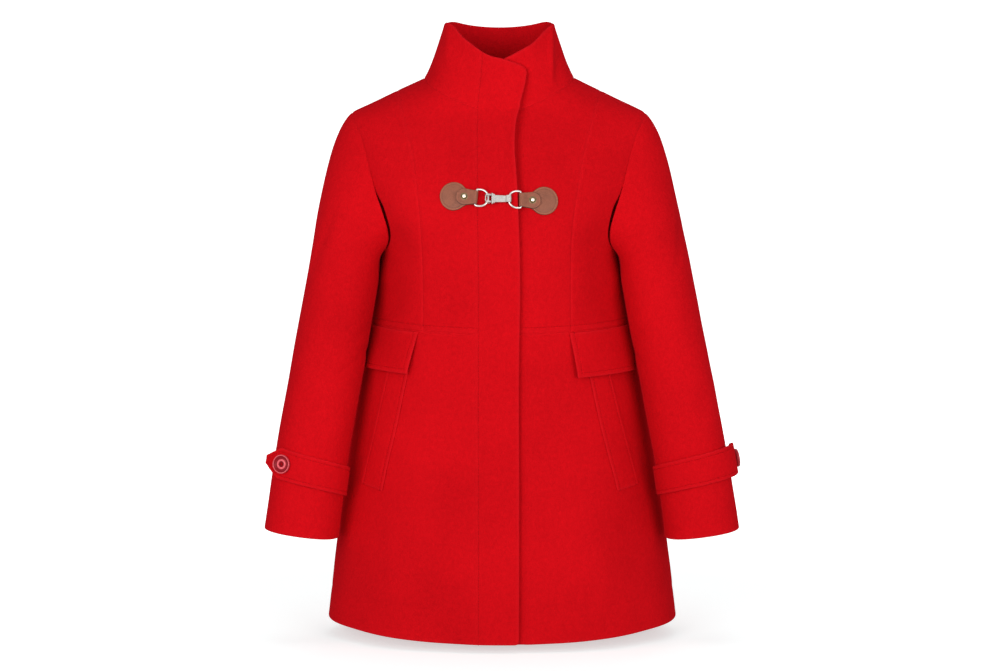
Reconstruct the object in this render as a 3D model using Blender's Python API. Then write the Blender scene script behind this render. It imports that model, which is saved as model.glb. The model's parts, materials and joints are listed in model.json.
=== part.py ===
"""A funnel neck wool coat for a woman, filled out as if worn, in metres with +Z up.

The origin is the middle of the neck base. The front faces -Y and +X is the wearer's left.
Each cloth piece is a closed wall. Its outer side lies on one shared body, collar or sleeve surface,
so that neighbouring pieces meet edge to edge with a narrow seam gap.
"""

from collections import namedtuple

import bpy
import numpy as np
from mathutils import Vector
from mathutils.geometry import tessellate_polygon

# Cloth, seams and the lap of the front.
CLOTH = 0.0030
SEAM_GAP = 0.0003
LAP_LIFT = 0.0036
LAP_RUN = 0.045
RIGHT, LEFT = -1, 1

# The body surface: a rounded section at each height, under a shoulder roof.
BodySection = namedtuple("BodySection", "height half_width front_depth back_depth fullness")
BODY_SECTIONS = (
    BodySection(-0.730, 0.2400, 0.152, 0.142, 2.5),
    BodySection(-0.620, 0.2275, 0.143, 0.132, 2.5),
    BodySection(-0.500, 0.2104, 0.131, 0.118, 2.4),
    BodySection(-0.400, 0.1940, 0.121, 0.104, 2.3),
    BodySection(-0.320, 0.1790, 0.114, 0.093, 2.3),
    BodySection(-0.255, 0.1668, 0.119, 0.094, 2.3),
    BodySection(-0.214, 0.1580, 0.127, 0.099, 2.4),
    BodySection(-0.170, 0.1770, 0.129, 0.104, 2.8),
    BodySection(-0.120, 0.1970, 0.116, 0.106, 3.0),
    BodySection(-0.070, 0.2070, 0.093, 0.097, 3.0),
    BodySection(-0.025, 0.2085, 0.068, 0.076, 3.0),
    BodySection(0.000, 0.2085, 0.061, 0.061, 3.0),
    BodySection(0.035, 0.2085, 0.056, 0.052, 3.0),
)
# How far back the sides of the body hang below the underarm, and the heights where that fades.
SIDE_SET = 0.022
SIDE_SET_POWER = 4
SIDE_SET_WIDEST = 1.1
SIDE_SET_TOP, SIDE_SET_FULL = -0.216, -0.280
SIDE_SET_EASES, SIDE_SET_END = -0.500, -0.620
# How far the middle of the filled coat lies to the side at each height.
Lean = namedtuple("Lean", "x height")
LEAN = (
    Lean(0.0022, -0.740), Lean(0.0015, -0.550), Lean(0.0000, -0.400), Lean(-0.0010, -0.250),
    Lean(-0.0028, -0.150), Lean(-0.0030, -0.050), Lean(-0.0022, 0.020), Lean(-0.0018, 0.090),
)
SHOULDER_TIP_X = 0.1975
SHOULDER_TIP_HEIGHT = -0.0258
SHOULDER_SLOPE = 0.475
SHOULDER_ROUND = 0.050
SHOULDER_BLEND = 0.0012

# Seam lines of the front, given as x from the middle and height.
SeamPoint = namedtuple("SeamPoint", "x height")
NECK_SIDE_X = 0.102
NECK_FRONT = (SeamPoint(0.031, -0.0235), SeamPoint(0.062, -0.0105), SeamPoint(0.088, 0.005))
NECK_FRONT_MIDDLE = SeamPoint(0.0, -0.0265)
NECK_BACK = (SeamPoint(0.085, 0.0145), SeamPoint(0.050, 0.0095), SeamPoint(0.0, 0.008))
PRINCESS_TOP_X = 0.1375
PRINCESS = (
    SeamPoint(0.1330, -0.012), SeamPoint(0.1247, -0.041), SeamPoint(0.1149, -0.077),
    SeamPoint(0.1075, -0.119), SeamPoint(0.1013, -0.167), SeamPoint(0.0985, -0.224),
    SeamPoint(0.0980, -0.280),
)
ARMHOLE_FRONT = (
    SeamPoint(0.1862, -0.054), SeamPoint(0.1758, -0.085), SeamPoint(0.1690, -0.112),
    SeamPoint(0.1625, -0.137), SeamPoint(0.1550, -0.158), SeamPoint(0.1485, -0.180),
    SeamPoint(0.1470, -0.198), SeamPoint(0.1505, -0.2080), SeamPoint(0.1560, -0.2120),
)
ARMHOLE_BACK = (
    SeamPoint(0.1875, -0.054), SeamPoint(0.1820, -0.088), SeamPoint(0.1775, -0.122),
    SeamPoint(0.1715, -0.152), SeamPoint(0.1635, -0.178), SeamPoint(0.1570, -0.197),
    SeamPoint(0.1560, -0.2085),
)
UNDERARM_HEIGHT = -0.2130
WAIST_HEIGHT = -0.3210
WAIST_SIDE_RISE = 0.009
HEM_HEIGHT = -0.7250
HEM_SIDE_RISE = 0.0125
FRONT_SHIFT = -0.0040
FRONT_SHIFT_TOP = -0.050
FRONT_SHIFT_RUN = 0.200
BAND_SEAM = (
    SeamPoint(-0.0332, -0.740), SeamPoint(-0.0310, -0.400), SeamPoint(-0.0290, -0.160),
    SeamPoint(-0.0292, -0.040), SeamPoint(-0.0292, -0.022), SeamPoint(-0.0268, 0.010),
    SeamPoint(-0.0230, 0.050),
)
LAP_EDGE = (
    SeamPoint(0.0218, -0.740), SeamPoint(0.0240, -0.400), SeamPoint(0.0262, -0.180),
    SeamPoint(0.0245, -0.125), SeamPoint(0.0216, -0.078), SeamPoint(0.0230, -0.048),
    SeamPoint(0.0285, -0.021), SeamPoint(0.0318, 0.000), SeamPoint(0.0360, 0.031),
)
UNDERLAP_X = -0.0270
LAP_SPLIT_X = 0.0330

# The collar: a ring of edge points above the neck seam.
COLLAR_TUCK = 0.0026
COLLAR_TOP_HALF_WIDTH = 0.0740
COLLAR_TOP_FRONT = 0.0660
COLLAR_TOP_BACK = 0.0500
COLLAR_FULLNESS = 2.4
COLLAR_BACK_HEIGHT = 0.0915
COLLAR_PEAK = 0.0035
COLLAR_FLARE = 0.75
COLLAR_LEAN = 0.34
COLLAR_BASE_HANDLE = 0.014
COLLAR_TOP_HANDLE = 0.024
COLLAR_TOP_RIGHT = (
    SeamPoint(-0.0740, 0.0905), SeamPoint(-0.0650, 0.0860), SeamPoint(-0.0500, 0.0720),
    SeamPoint(-0.0370, 0.0620), SeamPoint(-0.0240, 0.0520), SeamPoint(-0.0080, 0.0442),
    SeamPoint(0.0040, 0.0418), SeamPoint(0.0190, 0.0370), SeamPoint(0.0340, 0.0310),
)
COLLAR_TOP_LEFT = (
    SeamPoint(-0.0300, 0.0270), SeamPoint(-0.0080, 0.0365), SeamPoint(0.0040, 0.0410),
    SeamPoint(0.0280, 0.0528), SeamPoint(0.0460, 0.0636), SeamPoint(0.0620, 0.0775),
    SeamPoint(0.0740, 0.0905),
)

# The sleeve tube below the cap, for the wearer's left arm.
SleeveStation = namedtuple("SleeveStation", "height centre_x centre_y half_width half_depth")
SLEEVE_STATIONS = (
    SleeveStation(-0.589, 0.2680, -0.068, 0.0500, 0.046),
    SleeveStation(-0.494, 0.2549, -0.060, 0.0488, 0.050),
    SleeveStation(-0.413, 0.2404, -0.053, 0.0486, 0.054),
    SleeveStation(-0.333, 0.2257, -0.044, 0.0482, 0.058),
    SleeveStation(-0.250, 0.2111, -0.031, 0.0477, 0.062),
)
SLEEVE_FULLNESS = 2.2
CUFF_DIP = 0.004
CAP_SHARED_FROM = -0.35
CAP_SHARED_RUN = 0.5
SLEEVE_FEELER = 0.004
CapHandle = namedtuple("CapHandle", "out front down length bicep_length")
CAP_TOP = CapHandle(0.74, 0.0, 0.67, 0.038, 0.110)
CAP_FRONT = CapHandle(0.93, 0.10, 0.35, 0.026, 0.060)
CAP_BOTTOM = CapHandle(0.62, 0.0, 0.78, 0.010, 0.014)
CAP_BACK = CapHandle(0.93, -0.10, 0.35, 0.026, 0.060)

# How finely each run of cloth is divided.
WAIST_TO_UNDERARM_ROWS = 4
ARMHOLE_ROWS = 12
SKIRT_ROWS = 10
COLLAR_ROWS = 5
NECK_COLUMNS = 6
NECK_BACK_COLUMNS = 10
INNER_SHOULDER_COLUMNS = 2
SIDE_COLUMNS = 6
UNDERLAP_COLUMNS = 3
BAND_COLUMNS = 4
CAP_ROWS = 6
SLEEVE_ROWS = 9
FRONT_COLUMNS = NECK_COLUMNS + INNER_SHOULDER_COLUMNS

# The largest soft folds: angle round the body (0 front, 90 wearer's left), run of heights, form.
FOLD_FADE = 0.3
Fold = namedtuple("Fold", "angle_top angle_bottom top bottom width depth")
FOLDS = (
    Fold(-54, -56, -0.080, -0.345, 12, -0.0035),
    Fold(50, 52, -0.085, -0.350, 12, -0.0035),
    Fold(-17, -16, -0.400, -0.640, 5, 0.0020),
    Fold(-48, -56, -0.480, -0.880, 13, -0.0045),
    Fold(46, 53, -0.500, -0.880, 12, -0.0040),
    Fold(-146, -138, -0.400, -0.880, 13, -0.0060),
    Fold(178, 172, -0.440, -0.880, 11, -0.0045),
    Fold(146, 134, -0.380, -0.880, 14, -0.0060),
)

# Pockets: flaps under the waist seam and slanted welts below them.
FLAP_COLUMNS = 9
FLAP_ROWS = 5
FLAP_TOP_GAP = 0.0012
FLAP_CORNER_ANGLE = 6.0
FLAP_CORNER_CUT = 0.010
FlapPlan = namedtuple("FlapPlan", "side front_x slant drop")
FLAPS = (FlapPlan(RIGHT, 0.1050, 0.0040, 0.0565), FlapPlan(LEFT, 0.0945, 0.0010, 0.0600))
FLAP_END_ANGLE = 74.5
FLAP_CLOTH = 0.0026
FLAP_STAND_TOP = 0.0004
FLAP_STAND_BOTTOM = 0.0026
WELT_COLUMNS = 3
WELT_ROWS = 9
WELT_SHIFT = -0.0028
WELT_CLOTH = 0.0016
WELT_STAND = 0.0005
WELT_FRONT_EDGE = (SeamPoint(0.1185, -0.371), SeamPoint(0.1345, -0.445), SeamPoint(0.1560, -0.530))
WELT_BACK_EDGE = (SeamPoint(0.1470, -0.371), SeamPoint(0.1655, -0.448), SeamPoint(0.1850, -0.524))

# Cuff straps: a band across the sleeve with a pointed end and one button.
STRAP_COLUMN_NAMES = "side start_angle tip_angle button_angle lift_angle lift inner_rise outer_rise"
StrapPlan = namedtuple("StrapPlan", STRAP_COLUMN_NAMES)
STRAPS = (
    StrapPlan(RIGHT, 205.0, 24.0, 53.0, 62.0, 0.0157, 0.0752, 0.0925),
    StrapPlan(LEFT, 205.0, -42.0, -14.0, 75.0, 0.0092, 0.0765, 0.0905),
)
STRAP_COLUMNS = 19
STRAP_ROWS = 3
STRAP_TIP_SHARE = 0.25
STRAP_HALF_WIDTH = 0.0196
STRAP_POINT_ANGLE = 22.0
STRAP_CLOTH = 0.0034
STRAP_STAND = 0.0007
BUTTON_FEELERS = ((10.0, 0.0), (-10.0, 0.0), (0.0, 0.010), (0.0, -0.010))
BUTTON_RADIUS = 0.0125
BUTTON_RIM = 0.0087
BUTTON_DISH = 0.0062
BUTTON_HEIGHT = 0.0044
BUTTON_DISH_HEIGHT = 0.0030
BUTTON_BEVEL = 0.0013
BUTTON_SIDES = 20

# The clasp: two leather patches, folded tabs, D rings and a hook between them.
ClaspPlan = namedtuple("ClaspPlan", "side x height tilt bar_reach")
CLASPS = {
    RIGHT: ClaspPlan(RIGHT, -0.0580, -0.1405, -7.0, 0.0290),
    LEFT: ClaspPlan(LEFT, 0.0595, -0.1462, 0.5, 0.0300),
}
PATCH_SIDES = 24
PATCH_RINGS = (0.5, 1.0)
PATCH_SHOULDER = 0.72
PATCH_RADIUS = 0.0182
PATCH_NECK = 0.0080
PATCH_REACH = 0.0270
LEATHER = 0.0016
LEATHER_STAND = 0.0005
TAB_LAYER = 0.0012
TAB_HALF_WIDTH = 0.0078
TAB_TAIL = 0.0240
TAB_STAND = 0.0004
TAB_FOLD_GAP = 0.0004
TAB_PRESS_NEAR = 0.0022
TAB_PRESS_MID = 0.0040
TAB_PRESS_FAR = 0.0070
TAB_PRESS_RISE = 0.0008
TAB_CURVE_POINTS = 11
TAB_FEELERS = 9
WIRE_RADIUS = 0.00135
BAR_CLEARANCE = 0.0004
RING_HALF_HEIGHT = 0.0111
RING_DEPTH = 0.0168
RING_CORNER = 0.0058
RING_SQUARENESS = 0.36
RING_POINTS = 26
WIRE_SIDES = 6
HOOK_EYE = 0.0028
HOOK_EYE_WALL = 0.0014
HOOK_HALF_WIDTH = 0.0032
HOOK_BAR_HALF = 0.0019
HOOK_SIDES = 16
RIVET_RADIUS = 0.0031
RIVET_HEIGHT = 0.0014
RIVET_PLACE = 0.62
RIVET_SIDES = 16
RIVET_FORM = ((0.0, 0.0), (1.0, 0.0), (1.0, 0.25), (0.72, 0.8), (0.0, 1.0))

# Colours as linear values, with roughness and metallic.
Finish = namedtuple("Finish", "colour roughness metallic")
WOOL = Finish((0.640, 0.006, 0.012, 1.0), 0.95, 0.0)
LEATHER_FINISH = Finish((0.330, 0.130, 0.080, 1.0), 0.55, 0.0)
BUTTON_FINISH = Finish((0.560, 0.060, 0.075, 1.0), 0.35, 0.0)
STEEL = Finish((0.560, 0.530, 0.500, 1.0), 0.28, 1.0)
BRASS = Finish((0.480, 0.340, 0.180, 1.0), 0.32, 1.0)

# Steps of the searches that place points on the body.
TINY = 0.00001
MEETING_DEPTH = 0.0005
CURVE_STEPS = 240
SETTLE_STEPS = 8
HALVINGS = 50
RIDGE_REACH = 0.080
SIDE_REACH = (0.080, 0.300)
LEVEL_SHARES = (0.0, 0.3, 0.6, 0.85, 0.97)


def smooth_curve(knots, values):
    """Return a function that runs smoothly through the values at the rising knots."""
    knots = np.asarray(knots, dtype=float)
    values = np.asarray(values, dtype=float)
    wide = (-1,) + (1,) * (values.ndim - 1)
    steps = np.diff(knots)
    rises = np.diff(values, axis=0) / steps.reshape(wide)
    before = steps[:-1].reshape(wide)
    after = steps[1:].reshape(wide)
    inner = (after * rises[:-1] + before * rises[1:]) / (before + after)
    slopes = np.concatenate([rises[:1], inner, rises[-1:]])

    def curve(at):
        at = np.clip(np.asarray(at, dtype=float), knots[0], knots[-1])
        span = np.clip(np.searchsorted(knots, at, side="right") - 1, 0, len(steps) - 1)
        width = steps[span]
        part = (at - knots[span]) / width
        if values.ndim > 1:
            part = part[..., None]
            width = width[..., None]
        start, end = values[span], values[span + 1]
        leave, arrive = slopes[span] * width, slopes[span + 1] * width
        square, cube = part ** 2, part ** 3
        return (start * (2 * cube - 3 * square + 1) + leave * (cube - 2 * square + part)
                + end * (3 * square - 2 * cube) + arrive * (cube - square))

    return curve


def column(rows, name):
    """Return one named column of a table as a smooth function of height."""
    ordered = sorted(rows, key=lambda row: row.height)
    return smooth_curve([row.height for row in ordered], [getattr(row, name) for row in ordered])


def edge_heights(rows):
    """Return the height of an edge as a smooth function of x."""
    return smooth_curve([row.x for row in rows], [row.height for row in rows])


HALF_WIDTH = column(BODY_SECTIONS, "half_width")
FRONT_DEPTH = column(BODY_SECTIONS, "front_depth")
BACK_DEPTH = column(BODY_SECTIONS, "back_depth")
FULLNESS = column(BODY_SECTIONS, "fullness")
LEAN_X = column(LEAN, "x")
BAND_SEAM_X = column(BAND_SEAM, "x")
LAP_EDGE_X = column(LAP_EDGE, "x")


def unit(vectors):
    """Scale vectors to length one."""
    return vectors / np.linalg.norm(vectors, axis=-1, keepdims=True)


def ease(amount):
    """Rise smoothly from 0 to 1 as the amount goes from 0 to 1."""
    amount = np.clip(amount, 0.0, 1.0)
    return amount * amount * (3 - 2 * amount)


def depth_squared(x, height, back):
    """The square of the body's depth at x and a height, negative outside its outline."""
    x = np.abs(x)
    depth = np.where(back, BACK_DEPTH(height), FRONT_DEPTH(height))
    torso = depth ** 2 * (1 - (x / HALF_WIDTH(height)) ** FULLNESS(height))
    ridge = SHOULDER_TIP_HEIGHT + SHOULDER_SLOPE * (SHOULDER_TIP_X - x)
    roof = 2 * SHOULDER_ROUND * (ridge - height)
    near = np.maximum(SHOULDER_BLEND - np.abs(torso - roof), 0) / SHOULDER_BLEND
    return np.minimum(torso, roof) - near ** 2 * SHOULDER_BLEND / 4


def side_set(x, height):
    """How far back the body surface lies at x and a height, most at its sides."""
    share = np.minimum(np.abs(x) / HALF_WIDTH(height), SIDE_SET_WIDEST) ** SIDE_SET_POWER
    begins = ease((SIDE_SET_TOP - height) / (SIDE_SET_TOP - SIDE_SET_FULL))
    ends = ease((SIDE_SET_EASES - height) / (SIDE_SET_EASES - SIDE_SET_END))
    return SIDE_SET * share * begins * (1 - ends)


def own_depth(points):
    """How far behind the middle of the body points lie."""
    return points[..., 1] - side_set(points[..., 0], points[..., 2])


def body_level(points, back):
    """Zero on the body surface, negative inside it."""
    return own_depth(points) ** 2 - depth_squared(points[..., 0], points[..., 2], back)


def body_slope(points, back):
    """The gradient of the body level."""
    parts = []
    for axis in range(3):
        step = np.zeros(3)
        step[axis] = TINY
        rise = body_level(points + step, back) - body_level(points - step, back)
        parts.append(rise / (2 * TINY))
    return np.stack(parts, axis=-1)


def settle(points):
    """Move points near the body onto its surface."""
    points = np.array(points, dtype=float)
    back = own_depth(points) > 0
    for _ in range(SETTLE_STEPS):
        slope = body_slope(points, back)
        size = np.sum(slope ** 2, axis=-1, keepdims=True)
        points = points - body_level(points, back)[..., None] * slope / size
    return points


def body_normals(points):
    """Outward directions of the body surface, shared by front and back where they meet."""
    depth = own_depth(points)
    back = depth > 0
    normals = unit(body_slope(points, back))
    other = unit(body_slope(points, ~back))
    meets = np.abs(depth[..., None]) < MEETING_DEPTH
    return np.where(meets, unit(normals + other), normals)


def on_body(x, height, back=False):
    """The point of the front or back surface at x and a height."""
    depth = np.sqrt(max(float(depth_squared(x, height, back)), 0.0))
    return np.array([x, side_set(x, height) + (depth if back else -depth), height])


def outline_point(inside, outside):
    """The point of the body's outline between an inside and an outside point, both x and height."""
    inside, outside = np.array(inside, dtype=float), np.array(outside, dtype=float)
    for _ in range(HALVINGS):
        middle = (inside + outside) / 2
        if depth_squared(middle[0], middle[1], False) > 0:
            inside = middle
        else:
            outside = middle
    return np.array([inside[0], side_set(*inside), inside[1]])


def on_ridge(x):
    """The top of the shoulder at x."""
    return outline_point((x, -RIDGE_REACH), (x, RIDGE_REACH))


def on_side(side, height):
    """The side of the body at a height."""
    return outline_point((side * SIDE_REACH[0], height), (side * SIDE_REACH[1], height))


def spread(controls, count, seated=True):
    """Run a smooth curve through the controls and divide it into equal lengths."""
    controls = np.array(controls, dtype=float)
    chords = np.linalg.norm(np.diff(controls, axis=0), axis=1)
    knots = np.concatenate([[0.0], np.cumsum(chords)])
    fine = smooth_curve(knots, controls)(np.linspace(0, knots[-1], CURVE_STEPS))
    if seated:
        fine = settle(fine)
    run = np.concatenate([[0.0], np.cumsum(np.linalg.norm(np.diff(fine, axis=0), axis=1))])
    wanted = np.linspace(0, run[-1], count + 1)
    points = np.stack([np.interp(wanted, run, fine[:, axis]) for axis in range(3)], axis=1)
    if seated:
        points[1:-1] = settle(points[1:-1])
    points[0], points[-1] = controls[0], controls[-1]
    return points


def join(*runs):
    """Put curves end to end, each starting where the one before it stops."""
    return np.concatenate([runs[0]] + [run[1:] for run in runs[1:]])


def fill(bottom, top, left, right):
    """Fill the patch between four edges with a grid of points, rows from bottom to top."""
    across = np.linspace(0, 1, len(bottom))[None, :, None]
    up = np.linspace(0, 1, len(left))[:, None, None]
    between = (1 - up) * bottom[None] + up * top[None]
    along = (1 - across) * left[:, None] + across * right[:, None]
    low = (1 - across) * bottom[0] + across * bottom[-1]
    high = (1 - across) * top[0] + across * top[-1]
    return between + along - (1 - up) * low - up * high


def body_patch(bottom, top, left, right):
    """Fill a patch whose points lie on the body."""
    grid = fill(bottom, top, left, right)
    grid[1:-1, 1:-1] = settle(grid[1:-1, 1:-1])
    return grid


def waist_height(x):
    """The waist seam rises a little towards the sides."""
    return WAIST_HEIGHT + WAIST_SIDE_RISE * (x / HALF_WIDTH(WAIST_HEIGHT)) ** 2


def hem_height(x):
    """The hem rises a little towards the sides."""
    return HEM_HEIGHT + HEM_SIDE_RISE * (x / HALF_WIDTH(HEM_HEIGHT)) ** 2


def level_point(x, height_of, back=False):
    """A point of the waist seam or the hem."""
    return on_body(x, float(height_of(x)), back)


def side_level(side, height_of, start):
    """The point where the waist seam or the hem meets the side seam."""
    height = start
    for _ in range(6):
        point = on_side(side, height)
        height = float(height_of(point[0]))
    return on_side(side, height)


def front_shift(height):
    """How far the front seams sit towards the wearer's right."""
    return FRONT_SHIFT * ease((FRONT_SHIFT_TOP - height) / FRONT_SHIFT_RUN)


def front_seam(side, rows):
    """Points of a front seam on one side."""
    return [on_body(side * row.x + float(front_shift(row.height)), row.height) for row in rows]


def level_run(start_x, end_x, height_of, shares):
    """Points of a level seam on the front at shares of the way between two x values."""
    return [level_point(start_x + (end_x - start_x) * share, height_of) for share in shares]


def side_curves(side):
    """The seam curves of one side, each from the middle outwards or from the waist upwards."""
    inner_x = float(BAND_SEAM_X(WAIST_HEIGHT)) if side == RIGHT else LAP_SPLIT_X
    neck_x = float(BAND_SEAM_X(NECK_FRONT[0].height)) if side == RIGHT else LAP_SPLIT_X
    princess_x = side * PRINCESS[-1].x + float(front_shift(WAIST_HEIGHT))
    princess_foot = level_point(princess_x, waist_height)
    neck_side = on_ridge(side * NECK_SIDE_X)
    princess_top = on_ridge(side * PRINCESS_TOP_X)
    tip = on_ridge(side * SHOULDER_TIP_X)
    underarm = on_side(side, UNDERARM_HEIGHT)
    waist_side = side_level(side, waist_height, WAIST_HEIGHT)
    hem_side = side_level(side, hem_height, HEM_HEIGHT)
    neck_start = on_body(neck_x, float(neck_front_height(neck_x)))
    neck_rows = [on_body(side * row.x, row.height) for row in NECK_FRONT[1:]]
    hem_x = float(BAND_SEAM_X(HEM_HEIGHT)) if side == RIGHT else LAP_SPLIT_X
    front_waist = level_run(inner_x, princess_x, waist_height, (0.0, 0.25, 0.5, 0.75))
    side_waist = level_run(princess_x, waist_side[0], waist_height, LEVEL_SHARES)
    hem = level_run(hem_x, hem_side[0], hem_height, LEVEL_SHARES)
    shoulder_in = [on_ridge(side * x) for x in np.linspace(NECK_SIDE_X, PRINCESS_TOP_X, 4)]
    shoulder_out = [on_ridge(side * x) for x in np.linspace(PRINCESS_TOP_X, SHOULDER_TIP_X, 6)]
    armhole_front = [on_body(side * row.x, row.height) for row in ARMHOLE_FRONT]
    armhole_back = [on_body(side * row.x, row.height, True) for row in ARMHOLE_BACK]
    rows_up = WAIST_TO_UNDERARM_ROWS + ARMHOLE_ROWS
    return {
        "waist_in": spread(front_waist + [princess_foot], FRONT_COLUMNS),
        "waist_out": spread(side_waist + [waist_side], SIDE_COLUMNS),
        "hem": spread(hem + [hem_side], FRONT_COLUMNS + SIDE_COLUMNS),
        "neck": spread([neck_start] + neck_rows + [neck_side], NECK_COLUMNS),
        "shoulder_in": spread(shoulder_in, INNER_SHOULDER_COLUMNS),
        "shoulder_out": spread(shoulder_out, SIDE_COLUMNS),
        "princess": spread([princess_foot] + front_seam(side, PRINCESS)[::-1] + [princess_top], rows_up),
        "armhole_front": spread([tip] + armhole_front + [underarm], ARMHOLE_ROWS),
        "armhole_back": spread([tip] + armhole_back + [underarm], ARMHOLE_ROWS),
        "side_bodice": spread([on_side(side, h) for h in np.linspace(waist_side[2], UNDERARM_HEIGHT, 5)],
                              WAIST_TO_UNDERARM_ROWS),
        "side_skirt": spread([on_side(side, h) for h in np.linspace(hem_side[2], waist_side[2], 9)],
                             SKIRT_ROWS),
    }


def upright(x_of, low, high, count):
    """A seam that runs up the front at the x that a function of height gives."""
    heights = np.linspace(low, high, 16)
    return spread([on_body(float(x_of(height)), height) for height in heights], count)


def across_front(start_x, end_x, height_of, count):
    """A level run of points across the front."""
    return spread([level_point(x, height_of) for x in np.linspace(start_x, end_x, 5)], count)


def neck_front_height(x):
    """Height of the neck seam across the middle of the front."""
    rise = NECK_FRONT[0].height - NECK_FRONT_MIDDLE.height
    return NECK_FRONT_MIDDLE.height + rise * (x / NECK_FRONT[0].x) ** 2


def body_angles(points):
    """Angle of points round the body in degrees, 0 in front and 90 at the wearer's left side."""
    behind = own_depth(points)
    depth = np.where(behind > 0, BACK_DEPTH(points[..., 2]), FRONT_DEPTH(points[..., 2]))
    across = points[..., 0] / HALF_WIDTH(points[..., 2])
    return np.degrees(np.arctan2(across, -behind / depth))


def fold_relief(points):
    """How far the soft folds push the cloth out or in."""
    angles = body_angles(points)
    total = np.zeros(angles.shape)
    for fold in FOLDS:
        along = (fold.top - points[..., 2]) / (fold.top - fold.bottom)
        middle = fold.angle_top + (fold.angle_bottom - fold.angle_top) * along
        turn = (angles - middle + 180) % 360 - 180
        envelope = ease(along / FOLD_FADE) * ease((1 - along) / FOLD_FADE)
        total += fold.depth * envelope * np.exp(-(turn / fold.width) ** 2)
    return total


def lap_relief(points):
    """How far the wearer's right front stands out where it laps over the left one."""
    away = BAND_SEAM_X(points[..., 2]) - points[..., 0]
    return LAP_LIFT * (1 - ease(away / LAP_RUN))


def open_seams(grid, sides):
    """Draw the named edges of a grid back by half a seam gap."""
    grid = grid.copy()
    half = SEAM_GAP / 2
    if "bottom" in sides:
        grid[0] += half * unit(grid[1] - grid[0])
    if "top" in sides:
        grid[-1] += half * unit(grid[-2] - grid[-1])
    if "left" in sides:
        grid[:, 0] += half * unit(grid[:, 1] - grid[:, 0])
    if "right" in sides:
        grid[:, -1] += half * unit(grid[:, -2] - grid[:, -1])
    return grid


def grid_normals(grid, outward, ring=False):
    """Normals of a grid from its own points, turned to agree with the outward directions."""
    if ring:
        around = np.roll(grid, -1, axis=1) - np.roll(grid, 1, axis=1)
    else:
        around = np.gradient(grid, axis=1)
    normals = unit(np.cross(np.gradient(grid, axis=0), around))
    facing = np.sign(np.sum(normals * outward, axis=-1, keepdims=True))
    return normals * np.where(facing == 0, 1.0, facing)


def make_material(name, finish):
    """A plain material in one colour."""
    material = bpy.data.materials.new(name)
    material.use_nodes = True
    shader = material.node_tree.nodes["Principled BSDF"]
    shader.inputs["Base Color"].default_value = finish.colour
    shader.inputs["Roughness"].default_value = finish.roughness
    shader.inputs["Metallic"].default_value = finish.metallic
    material.diffuse_color = finish.colour
    return material


def add_solid(name, points, faces, finish, smooth_angle=40.0):
    """Make one closed solid with its faces pointing out."""
    points = np.array(points, dtype=float).reshape(-1, 3)
    points[:, 0] += LEAN_X(points[:, 2])
    volume = 0.0
    for face in faces:
        first = points[face[0]]
        for second, third in zip(face[1:-1], face[2:]):
            volume += np.dot(first, np.cross(points[second], points[third]))
    if volume < 0:
        faces = [tuple(reversed(face)) for face in faces]
    mesh = bpy.data.meshes.new(name)
    mesh.from_pydata([tuple(point) for point in points], [], [tuple(face) for face in faces])
    mesh.shade_smooth()
    mesh.set_sharp_from_angle(angle=np.radians(smooth_angle))
    solid = bpy.data.objects.new(name, mesh)
    mesh.materials.append(make_material(name, finish))
    bpy.context.collection.objects.link(solid)
    return solid


def wall_faces(rows, columns, ring=False):
    """Faces of a closed wall whose outer grid of points comes first and its inner grid second."""
    inner = rows * columns
    spans = columns if ring else columns - 1
    faces = []

    def at(row, place):
        return row * columns + place % columns

    for row in range(rows - 1):
        for place in range(spans):
            a, b = at(row, place), at(row, place + 1)
            c, d = at(row + 1, place + 1), at(row + 1, place)
            faces.append((a, b, c, d))
            faces.append((inner + d, inner + c, inner + b, inner + a))
    for place in range(spans):
        a, b = at(0, place), at(0, place + 1)
        faces.append((b, a, inner + a, inner + b))
        a, b = at(rows - 1, place), at(rows - 1, place + 1)
        faces.append((a, b, inner + b, inner + a))
    if not ring:
        for row in range(rows - 1):
            a, b = at(row, 0), at(row + 1, 0)
            faces.append((a, b, inner + b, inner + a))
            a, b = at(row, columns - 1), at(row + 1, columns - 1)
            faces.append((b, a, inner + a, inner + b))
    return faces


def add_wall(name, outer, inner, finish, ring=False):
    """Make a closed wall between an outer and an inner grid of points."""
    points = np.concatenate([outer.reshape(-1, 3), inner.reshape(-1, 3)])
    return add_solid(name, points, wall_faces(outer.shape[0], outer.shape[1], ring), finish)


def add_panel(name, grid, sides, normals=None, lift=None, cloth=CLOTH, finish=WOOL):
    """Make one body panel from its grid on the body surface."""
    grid = open_seams(grid, sides)
    if normals is None:
        normals = body_normals(grid)
    relief = fold_relief(grid)
    if lift is not None:
        relief = relief + lift
    outer = grid + relief[..., None] * normals
    return add_wall(name, outer, outer - cloth * normals, finish)


def collar_top_point(angle, back, heights):
    """A point of the collar's top edge, by its angle from the middle of front or back."""
    power = 2 / COLLAR_FULLNESS
    x = COLLAR_TOP_HALF_WIDTH * np.sign(np.sin(angle)) * np.abs(np.sin(angle)) ** power
    depth = COLLAR_TOP_BACK if back else -COLLAR_TOP_FRONT
    y = depth * np.abs(np.cos(angle)) ** power
    if back:
        side_height = COLLAR_TOP_LEFT[-1].height
        aside = np.abs(np.sin(angle))
        height = COLLAR_BACK_HEIGHT + (side_height - COLLAR_BACK_HEIGHT) * aside ** 3
        height += COLLAR_PEAK * np.sin(np.pi * aside ** 4)
    else:
        height = float(heights(x))
    return np.array([x, y, height])


def collar_angle(x):
    """The angle at which the front of the collar's top edge has this x."""
    return float(np.arcsin(np.sign(x) * (abs(x) / COLLAR_TOP_HALF_WIDTH) ** (COLLAR_FULLNESS / 2)))


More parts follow.
